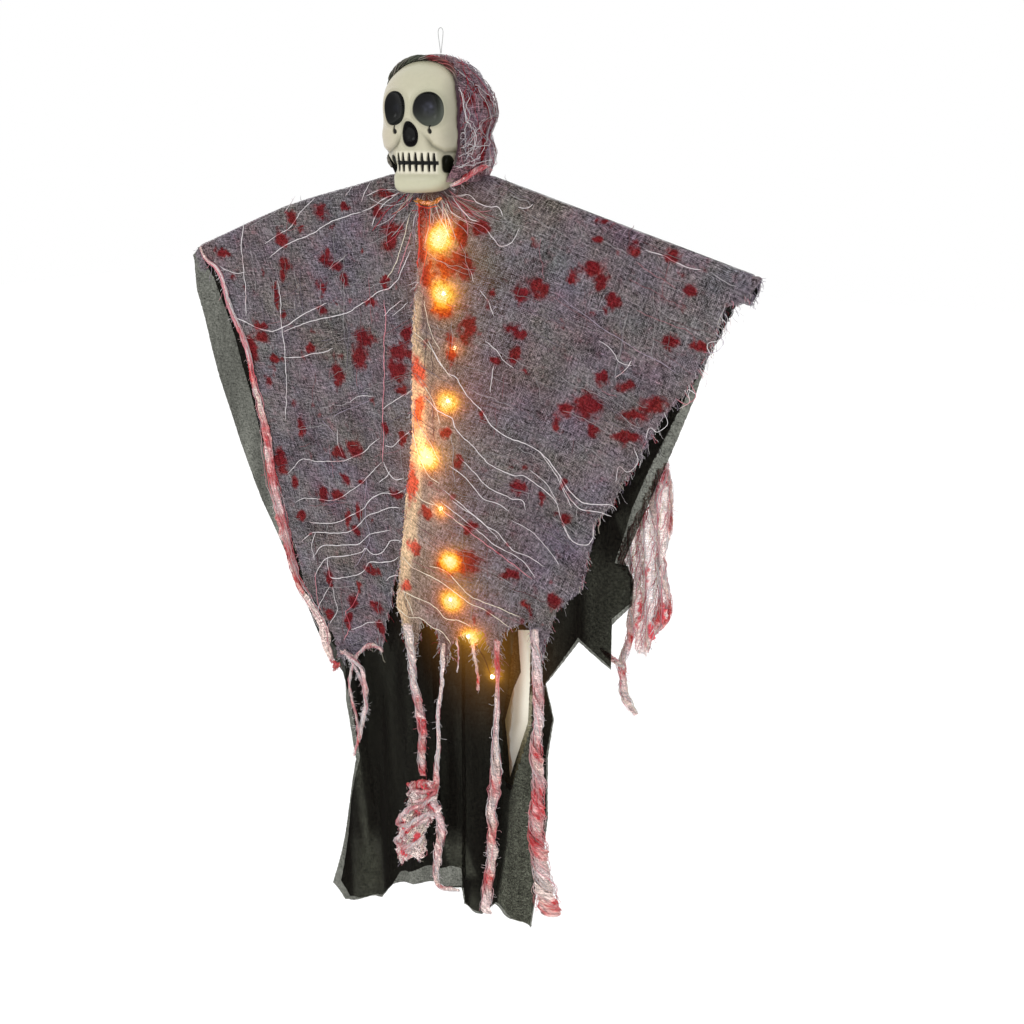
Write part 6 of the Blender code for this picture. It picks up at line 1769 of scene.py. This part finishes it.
# the knotted bundle between tails two and three
strip("bundle_band", gz([(407, 784), (414, 786), (424, 783), (433, 786), (438, 785)]), [0.004, 0.008, 0.009, 0.008, 0.005], 3, 76, [(0.5, 0.9, 1.0)], threads=16, fuzz=20)
strip("bundle_strip_1", gz([(437, 797), (430, 799), (422, 806), (410, 809), (400, 816), (398, 824), (408, 826), (420, 818), (430, 812)], 0.0125), [0.003, 0.005, 0.0045, 0.005, 0.004, 0.004, 0.005, 0.004, 0.003], 5, 77, [(0.25, 0.08, 0.8), (0.55, 0.10, 0.7)], threads=16, fuzz=60, pale=WHITE, flatness=0.6)
strip("bundle_strip_2", gz([(432, 812), (424, 820), (410, 826), (402, 834), (397, 842), (406, 847), (417, 843), (424, 836)], 0.0115), [0.003, 0.006, 0.006, 0.005, 0.005, 0.006, 0.005, 0.003], 5, 78, [(0.30, 0.10, 0.9), (0.70, 0.10, 0.8)], threads=16, fuzz=70, pale=WHITE, flatness=0.5)
strip("bundle_strip_3", gz([(411, 790), (422, 792), (436, 790), (428, 798), (414, 802)], 0.0120), [0.003, 0.004, 0.004, 0.004, 0.002], 4, 79, [(0.5, 0.5, 0.9)], threads=12, fuzz=30, pale=WHITE)
# small strips lit by the lights
strip("lit_strip_1", gz([(473, 640), (474, 655), (477, 672), (478, 690)], 0.004), [0.0035, 0.0030, 0.0028, 0.0040], 4, 80, [(0.8, 0.3, 0.7)], threads=7, fuzz=16)
strip("lit_strip_2", gz([(457, 640), (458, 655), (457, 672)], 0.004), [0.0012, 0.0010, 0.0008], 3, 81, [(0.5, 0.4, 0.4)], threads=4, fuzz=8)
# a pale sheet that hangs behind the slit: painted light, standing in for the warm-lit wall seen through the slit
slit_px = [(515, 626), (535, 626), (534, 682), (531, 726), (512, 786), (503, 780), (502, 720), (509, 688)]
mid_y = lambda x, z: 0.25 * front_robe_y(x, z) + 0.75 * back_robe_y(x, z) - 0.0010
slit, _ = sheet_mesh("slit_light_sheet", flat(slit_px, mid_y), mid_y, M_SLIT, SP, ragged=0.0006, seed=97, grain=grain_down, wide=0.30)
V = coords(slit)
q = project(V)
# painted light: near white and glowing towards the slit's right edge, in its upper part, as lit from behind
attribute(slit, "pale", ss(-14, -4, q[:, 0] - np.interp(q[:, 1], (630, 690, 722, 780), (532, 531, 529, 512))) * ss(770, 700, q[:, 1]))
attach(slit, "torso")
# behind: the cluster by the left arm, and two at the middle of the back
bz = lambda px, lift=-0.0100: on(px, back_gauze_y, lift)
veil_px = [(666, 462), (673, 493), (672, 519), (666, 549), (664, 575), (666, 599), (668, 618), (655, 636), (645, 657), (636, 649), (634, 630), (630, 608), (631, 582), (618, 562), (621, 545), (640, 508), (656, 472)]
veil_y = lambda x, z: back_gauze_y(x, z) + 0.0095 + 0.0035 * np.sin(x * 420 + 30 * z) + 0.0016 * N2(x * 300, z * 60)
veil_flat = flat(veil_px, lambda x, z: back_gauze_y(x, z) + 0.0095)
veil_blots = blot_field([(660, 668, 600, 628), (648, 660, 618, 640), (655, 661, 548, 572), (636, 641, 590, 630), (664, 669, 470, 490), (656, 660, 505, 540), (644, 650, 560, 590), (668, 672, 508, 530)], lambda x, z: back_gauze_y(x, z) + 0.0095, 21, 1, 0, -0.6, -0.4)


def veil(name, outline_xz, surf, blots, n_threads, n_ends, seed, side, reds=0.12):
    """A crumpled piece of torn gauze with its drawn threads."""
    ob, B = sheet_mesh(name, outline_xz, surf, M_VEIL, SP * 0.9, ragged=0.0009, seed=seed, grain=grain_down, blots=blots, glow=0)
    r = np.random.default_rng(seed + 1)
    lines, rad, tint = [], [], []
    lo, hi = B.min(0), B.max(0)
    while len(lines) < n_threads:
        p = r.uniform(lo, hi)
        n = 26
        q = p + np.stack([np.cumsum(r.normal(0, 0.0005, n)) + np.linspace(0.5, -0.5, n) * r.normal(0.006, 0.006), np.linspace(0.5, -0.5, n) * r.uniform(0.02, 0.09)], 1)
        q = q[inside(B, q)]
        if len(q) < 8:
            continue
        q = spline(q, 30)
        lines.append(np.stack([q[:, 0], surf(q[:, 0], q[:, 1]) - r.uniform(0.0004, 0.0022), q[:, 1]], 1))
        rad.append(r.uniform(0.00014, 0.00044))
        tint.append([WHITE, PINKISH, REDDISH, CREAM][int(r.choice(4, p=[0.50 - reds, 0.30, reds, 0.20]))] * r.uniform(0.55, 1.0))
    e_l, e_r, e_t = loose_ends(B, surf, n_ends, 0.003, 0.010, seed + 2)
    th = tubes(name + "_threads", lines + e_l, rad + e_r, tint + e_t)
    for o in (ob, th):
        if side:
            arm_blend(o)
        else:
            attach(o, "torso")
    return ob


veil("cluster_veil", veil_flat, veil_y, veil_blots, 120, 90, 98, 1)
pack_px = [(411, 782), (425, 780), (438, 783), (436, 800), (440, 812), (431, 822), (424, 834), (427, 850), (420, 862), (411, 858), (400, 862), (396, 848), (401, 834), (399, 820), (409, 806), (407, 794)]
pack_y = lambda x, z: lap_gauze_y(x, z) - 0.0085 - 0.0026 * np.sin(z * 520 + x * 230) + 0.0012 * N2(x * 300, z * 200)
pack_blots = blot_field([(410, 438, 780, 794), (424, 437, 796, 812), (412, 424, 806, 818), (400, 410, 818, 832), (414, 422, 832, 846), (400, 408, 846, 856)], lambda x, z: lap_gauze_y(x, z) - 0.0085, 23, 1, 0, -0.6, -0.4)
veil("bundle_veil", flat(pack_px, lambda x, z: lap_gauze_y(x, z) - 0.0085), pack_y, pack_blots, 34, 60, 120, 0, reds=0.2)
strip("tail_cloth_6", bz([(667, 463), (663, 480), (654, 500), (658, 526), (661, 552), (662, 578), (664, 600), (658, 618), (650, 634), (646, 652)]), [0.004, 0.006, 0.008, 0.007, 0.008, 0.009, 0.010, 0.011, 0.006], 3, 82, [(0.05, 0.05, 0.8), (0.45, 0.05, 0.6), (0.78, 0.09, 1.0), (0.94, 0.05, 0.7)], "gauze_tail_6", side=1, threads=26, fuzz=150, pale=np.array(lin(240, 226, 214)), flatness=0.35)
strip("cluster_strip_1", bz([(668, 470), (671, 495), (669, 530), (662, 556), (665, 584), (669, 606), (664, 622), (654, 632)], -0.0130), [0.003, 0.006, 0.006, 0.006, 0.007, 0.008, 0.005], 4, 83, [(0.30, 0.1, 0.6), (0.85, 0.12, 1.0)], side=1, threads=16, fuzz=90, flatness=0.35)
strip("cluster_strip_2", bz([(646, 512), (638, 540), (640, 566), (636, 590), (634, 614), (638, 640)], -0.0120), [0.003, 0.004, 0.005, 0.006, 0.006, 0.003], 3, 84, [(0.5, 0.1, 0.5), (0.8, 0.1, 0.8)], side=1, threads=14, fuzz=80, flatness=0.35)
strip("cluster_strip_3", bz([(633, 600), (631, 620), (629, 642), (622, 660), (622, 676), (624, 692), (630, 706), (635, 715)], -0.0085), [0.006, 0.007, 0.006, 0.008, 0.008, 0.010, 0.006], 3, 85, [(0.3, 0.1, 0.8), (0.62, 0.10, 0.8)], side=1, threads=18, fuzz=120, flatness=0.4)
strip("cluster_strip_4", bz([(601, 648), (609, 656), (617, 662), (625, 668)], -0.0070), [0.003, 0.005, 0.006, 0.004], 2, 86, [(0.3, 0.25, 0.8)], side=1, threads=14, fuzz=50, flatness=0.4)
strip("tail_cloth_7", hung([(0.050, -0.565), (0.056, -0.640), (0.050, -0.700), (0.056, -0.760)], 0.0078), [0.008, 0.008, 0.009, 0.011], 4, 86, [(0.35, 0.08, 0.7), (0.8, 0.1, 0.8)], "gauze_tail_7", threads=14, fuzz=80)
strip("tail_cloth_8", hung([(-0.060, -0.570), (-0.064, -0.650), (-0.058, -0.730)], 0.0068), [0.008, 0.008, 0.009], 4, 87, [(0.5, 0.12, 0.8)], "gauze_tail_8", threads=14, fuzz=80)
strip("back_strip_1", hung([(-0.138, -0.622), (-0.134, -0.680), (-0.138, -0.735)], 0.0060), [0.010, 0.007, 0.008], 3, 88, [(0.4, 0.12, 0.7)], threads=12, fuzz=70)

# folded edge of the right front gauze: a band of twisted cloth that widens and ends in an ivory flap and a red knot
edge_px = [(200, 247), (205, 258), (217, 269), (225, 289), (231, 311), (239, 328), (248, 350), (253, 374), (259, 402), (265, 430), (268, 458), (274, 494), (285, 530), (293, 564), (300, 585), (311, 605), (321, 625), (325, 645), (331, 660)]
strip("edge_band", on(edge_px, front_gauze_y, 0.0016), [0.0028, 0.0038, 0.0050, 0.0062, 0.0062, 0.008, 0.009, 0.010, 0.012, 0.015, 0.018, 0.018, 0.016, 0.012, 0.010, 0.012, 0.016, 0.018, 0.009], 2.0, 89,
      [(0.22, 0.03, 0.6), (0.31, 0.03, 0.9), (0.45, 0.05, 0.75), (0.54, 0.05, 0.9), (0.66, 0.03, 0.8), (0.73, 0.04, 0.8), (0.80, 0.03, 1.0)], side=-1, threads=16, fuzz=120, flatness=0.12, wraps=0.60, pale=np.array(lin(240, 206, 202)), strand=0.0005)
strip("edge_knot", on([(330, 660), (336, 663), (334, 668), (339, 664), (333, 671)], front_gauze_y, 0.0030), [0.003, 0.005, 0.005, 0.004, 0.003], 4, 90, [(0.5, 0.8, 1.0)], side=-1, threads=8, fuzz=20)
# thick loops at the foot of the right front gauze
strip("hem_loop_1", on([(340, 651), (349, 655), (355, 657), (360, 652), (365, 648), (372, 645), (379, 648), (382, 652)], front_gauze_y, 0.0020), [0.003, 0.005, 0.004, 0.004, 0.005, 0.005, 0.003], 5, 91, [(0.7, 0.12, 0.5)], threads=10, fuzz=40, pale=WHITE)
strip("hem_loop_2", on([(344, 650), (350, 658), (355, 667), (360, 676), (364, 690), (366, 706), (362, 722)], front_gauze_y, 0.0040), [0.006, 0.005, 0.004, 0.004, 0.005, 0.004, 0.002], 5, 92, [(0.5, 0.12, 0.5), (0.9, 0.05, 0.5)], threads=12, fuzz=70, pale=WHITE)
strip("hem_loop_3", on([(357, 656), (352, 668), (349, 684), (352, 700), (356, 716), (360, 742)], front_gauze_y, 0.0060), [0.003, 0.003, 0.003, 0.003, 0.002], 4, 93, [(0.6, 0.2, 0.4)], threads=8, fuzz=60, pale=WHITE)
# throat tie: a twisted strip under the chin
tt = on([(417, 199), (424, 203), (433, 203), (441, 198)], lap_gauze_y, 0.0020)
# painted light: warm=0.24 makes the tie glow and its threads amber, as lit by the top light
strip("throat_tie_cloth", tt, [0.003, 0.0042, 0.0042, 0.003], 4, 94, [(0.5, 0.5, 0.05)], "throat_tie", threads=10, fuzz=10, flatness=0.8, warm=0.24)
# the hood's tie lies on the hood and turns with the head
near = lambda px, y: on([px], lambda x, z: y + 0 * x)[0]
HG = coords(hood_gauze)
rays = [(q, np.array([near(q, y) for y in np.linspace(-0.062, 0.030, 93)])) for q in ((450, 186), (458, 182), (467, 176), (477, 169), (485, 166), (490, 170))]
route = []
for q, R in rays:
    gap = np.array([np.linalg.norm(HG - p, axis=1).min() for p in R])
    hit = int(np.argmax(gap < max(0.0022, gap.min() * 1.15)))
    out = R[hit] - np.array([0, HOOD_Y, R[hit][2]])
    route.append(R[hit] + 0.0012 * out / np.linalg.norm(out))
for o in twisted("neck_knot", np.array(route), [0.002, 0.004, 0.005, 0.005, 0.006, 0.003], 3, 95, [(0.35, 0.22, 1.0), (0.62, 0.12, 0.9), (0.95, 0.05, 0.7)], threads=18, fuzz=46, pale=PINKISH):
    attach(o, "head")

# threads that fan out from the gathered neck
r_ = np.random.default_rng(77)
lines, rad, tint = [], [], []
for k in range(64):
    a = r_.uniform(-1.15, 1.25)
    x0 = 427 + 26 * a * 0.8 + r_.normal(0, 3)
    y0 = 197 + r_.uniform(-3, 9) - 5 * abs(a)
    L = r_.uniform(12, 52)
    bend = r_.normal(0, 0.5)
    q = np.array([[x0 + L * t * math.sin(a * 0.9 + bend * t), y0 + L * t * math.cos(a * 0.85 + bend * t)] for t in np.linspace(0, 1, 14)])
    q = q + 1.3 * np.stack([N2(np.arange(14) * 0.3 + 9 * k, np.full(14, 0.5)), N2(np.arange(14) * 0.3 + 9 * k, np.full(14, 4.5))], 1)
    surf = lap_gauze_y if a > -0.1 else front_gauze_y
    P_ = on(q, surf, 0.0010)
    lines.append(P_)
    rad.append(r_.uniform(0.00018, 0.00040))
    tint.append([CREAM, WHITE, PINKISH, REDDISH, LILAC][int(r_.choice(5, p=[0.22, 0.22, 0.20, 0.2, 0.16]))] * r_.uniform(0.35, 1.0))
gather = tubes("neck_gather_threads", lines, rad, tint)
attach(gather, "torso")



# ---------------------------------------------------------------- stitched tunnels round the shoulder wires
def along_arm(side, s, up):
    return side * (ARM_ROOT_X + s * math.cos(SLOPE) + up * math.sin(SLOPE)), YOKE_Z - s * math.sin(SLOPE) + up * math.cos(SLOPE)


ARM_LEN = math.hypot(ARM_TIP_X - ARM_ROOT_X, ARM_TIP_Z - YOKE_Z)
for side, tag in ((1, "left"), (-1, "right")):
    n, m = 150, 40
    s0 = (0.072 - ARM_ROOT_X) / math.cos(SLOPE)
    V = []
    for i, s in enumerate(np.linspace(s0, ARM_LEN + 0.0016, n)):
        for k in range(m):
            a = 2 * math.pi * k / m
            w = 0.00035 * math.sin(s * 420 + 3 * math.sin(a)) * (1 - abs(math.sin(a)) ** 3) + 0.0003 * float(N2(s * 130, 2 * math.cos(a) + 5))
            y, up = (0.0046 + w) * math.cos(a), -0.0048 + (0.0096 + 0.5 * w) * math.sin(a)
            # the lower part is pinched flat by its row of stitches
            pinch = float(ss(-0.0105, -0.0130, up))
            y *= 1 - 0.85 * pinch
            x, z = along_arm(side, s, up)
            V.append((x, y, z))
    sleeve = new_mesh("sleeve_cloth_" + tag, np.array(V), grid_faces(n, m, wrap=True), M_LINING)
    P = coords(sleeve)
    uv = np.stack([np.repeat(np.linspace(0, ARM_LEN, n), m), np.tile(np.linspace(0, 0.03, m), n)], 1)
    set_uv(sleeve, uv)
    for key in ("glow", "thin"):
        attribute(sleeve, key, np.zeros(len(P)))
    lines = []
    for s in np.arange(s0 + 0.003, ARM_LEN, 0.0034):
        a0, a1 = along_arm(side, s, -0.0128), along_arm(side, s + 0.0022, -0.0128)
        for yy in (-0.0016, 0.0016):
            mid = ((a0[0] + a1[0]) / 2, yy * 1.25, (a0[1] + a1[1]) / 2)
            lines.append(np.array([(a0[0], yy * 0.6, a0[1]), mid, (a1[0], yy * 0.6, a1[1])]))
    stitches = tubes("sleeve_stitches_" + tag, lines, 0.0002, np.array(lin(40, 40, 40)), taper=False)
    # the gauze folded over the end of the tunnel
    V, sw = [], np.linspace(ARM_LEN - 0.020, ARM_LEN + (0.0022 if side > 0 else 0.0040), 26)
    for i, s in enumerate(sw):
        for k in range(m):
            a = 2 * math.pi * k / m
            w = 0.0008 * float(N2(s * 240 + side, 2.4 * math.cos(a) + 5)) + 0.0006 * math.sin(5 * a + s * 300)
            rag = (0.0012 if side > 0 else 0.0030) * float(N2(3.0 * a, 9.5 + side)) * (i / 25)
            x, z = along_arm(side, s + rag, -0.0058 + (0.0118 + w) * math.sin(a))
            V.append((x, (0.0066 + w) * math.cos(a), z))
    wrap = new_mesh("tip_wrap_" + tag, np.array(V), grid_faces(26, m, wrap=True), M_GAUZE)
    set_uv(wrap, np.stack([np.repeat(sw, m), np.tile(np.linspace(0, 0.06, m), 26)], 1))
    for key in ("glow", "hole", "fold", "blot"):
        attribute(wrap, key, np.zeros(len(V)))
    r_ = np.random.default_rng(140 + side)
    fr = []
    for k in range(34):
        a = r_.uniform(0, 2 * math.pi)
        x, z = along_arm(side, ARM_LEN + (0.0016 if side > 0 else 0.0030), -0.0058 + 0.0116 * math.sin(a))
        p = np.array([x, 0.0064 * math.cos(a), z])
        d = np.array([side * 0.6, 0.2 * math.cos(a), -0.7])
        pts = [p]
        for _ in range(5):
            d = d + r_.normal(0, 0.3, 3)
            d /= np.linalg.norm(d)
            p = p + d * 0.0011
            pts.append(p)
        fr.append(spline(np.array(pts), 10))
    wrap_ends = tubes("tip_wrap_ends_" + tag, fr, 0.00014, LILAC * 0.7)
    for o in (wrap, wrap_ends):
        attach(o, "arm_" + tag)
    for o in (sleeve, stitches):
        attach(o, "arm_" + tag)
    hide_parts("arm_sleeve_" + tag)

# ---------------------------------------------------------------- frame parts that stay as they are
M_BLACK = simple("black_moulding_satin", lin(34, 34, 36), 0.46, scale=900.0, amount=0.35)
M_STEEL = simple("drawn_wire", lin(150, 150, 150), 0.34, metal=0.9, scale=1600.0, amount=0.25)
M_CASEP = simple("case_plastic_white", lin(222, 220, 212), 0.38, scale=700.0, amount=0.10)
M_CELL = simple("cell_can_steel", lin(200, 200, 198), 0.26, metal=0.95, scale=1200.0, amount=0.14)
M_NICKEL = simple("nickel_strip", lin(186, 180, 164), 0.30, metal=0.95, scale=1500.0, amount=0.2)
M_TAPE = simple("woven_tape", lin(36, 36, 36), 0.9, scale=2600.0, amount=0.6, bump_d=0.0003)
M_COTTON = simple("waxed_thread", lin(206, 200, 186), 0.8, scale=2400.0, amount=0.4, bump_d=0.0003)
keep = {
    "loop_knot": M_NYLON, "crown_washer": M_BLACK, "neck_socket": M_CASEP, "shoulder_yoke": M_BLACK, "neck_tie": M_COTTON,
    "arm_wire_left": M_STEEL, "arm_wire_right": M_STEEL, "arm_tip_left": M_BLACK, "arm_tip_right": M_BLACK,
    "battery_case": M_CASEP, "battery_cover": M_CASEP, "button_cell_front": M_CELL, "button_cell_rear": M_CELL,
    "contact_side": M_NICKEL, "contact_spring": M_NICKEL, "switch_slider": M_BLACK, "case_hanger": M_TAPE, "wire_gland": M_CASEP,
}
for node, mat in keep.items():
    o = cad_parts[node]
    for sl in o.material_slots:
        sl.material = mat

# ---------------------------------------------------------------- studio
me = bpy.data.meshes.new("studio_floor")
me.from_pydata([(-9, -9, -1.35), (9, -9, -1.35), (9, 9, -1.35), (-9, 9, -1.35)], [], [(0, 1, 2, 3)])
M = Mat("studio_paper")
n = M.noise(M.coord("Object"), 3.0, 2.0, 0.5)
paper = M.principled(Base_Color=M.mix(n, (0.95, 0.95, 0.95), (0.98, 0.98, 0.98)), Roughness=0.9)
paper.inputs["Emission Color"].default_value = (1, 1, 1, 1)
paper.inputs["Emission Strength"].default_value = 0.12
me.materials.append(M.finish(paper))
floor = bpy.data.objects.new("studio_floor", me)
bpy.context.scene.collection.objects.link(floor)

world = bpy.data.worlds.new("studio")
world.use_nodes = True
world.node_tree.nodes["Background"].inputs[0].default_value = (1, 1, 1, 1)
world.node_tree.nodes["Background"].inputs[1].default_value = 1.0
bpy.context.scene.world = world


def area(name, at, look, size, watts):
    L = bpy.data.lights.new(name, "AREA")
    L.shape, L.size, L.energy = "DISK", size, watts
    o = bpy.data.objects.new(name, L)
    o.location = at
    o.rotation_euler = (Vector(look) - Vector(at)).to_track_quat("-Z", "Y").to_euler()
    bpy.context.scene.collection.objects.link(o)


area("soft_key", (-0.9, -2.6, 1.3), (0, 0, -0.4), 1.4, 14.0)
area("soft_fill", (2.4, -1.8, 0.4), (0, 0, -0.4), 1.6, 5.0)
for k, (b, p) in enumerate(zip(LEDS, LED_POWER)):
    L = bpy.data.lights.new("drop_light_%02d" % (k + 1), "POINT")
    L.color, L.energy, L.shadow_soft_size = (1.0, 0.50, 0.12), 0.013 * float(p), 0.0024
    o = bpy.data.objects.new(L.name, L)
    o.location = b
    bpy.context.scene.collection.objects.link(o)

sc = bpy.context.scene
sc.view_settings.view_transform = "Standard"
sc.cycles.transparent_max_bounces = 24
sc.cycles.use_denoising = True
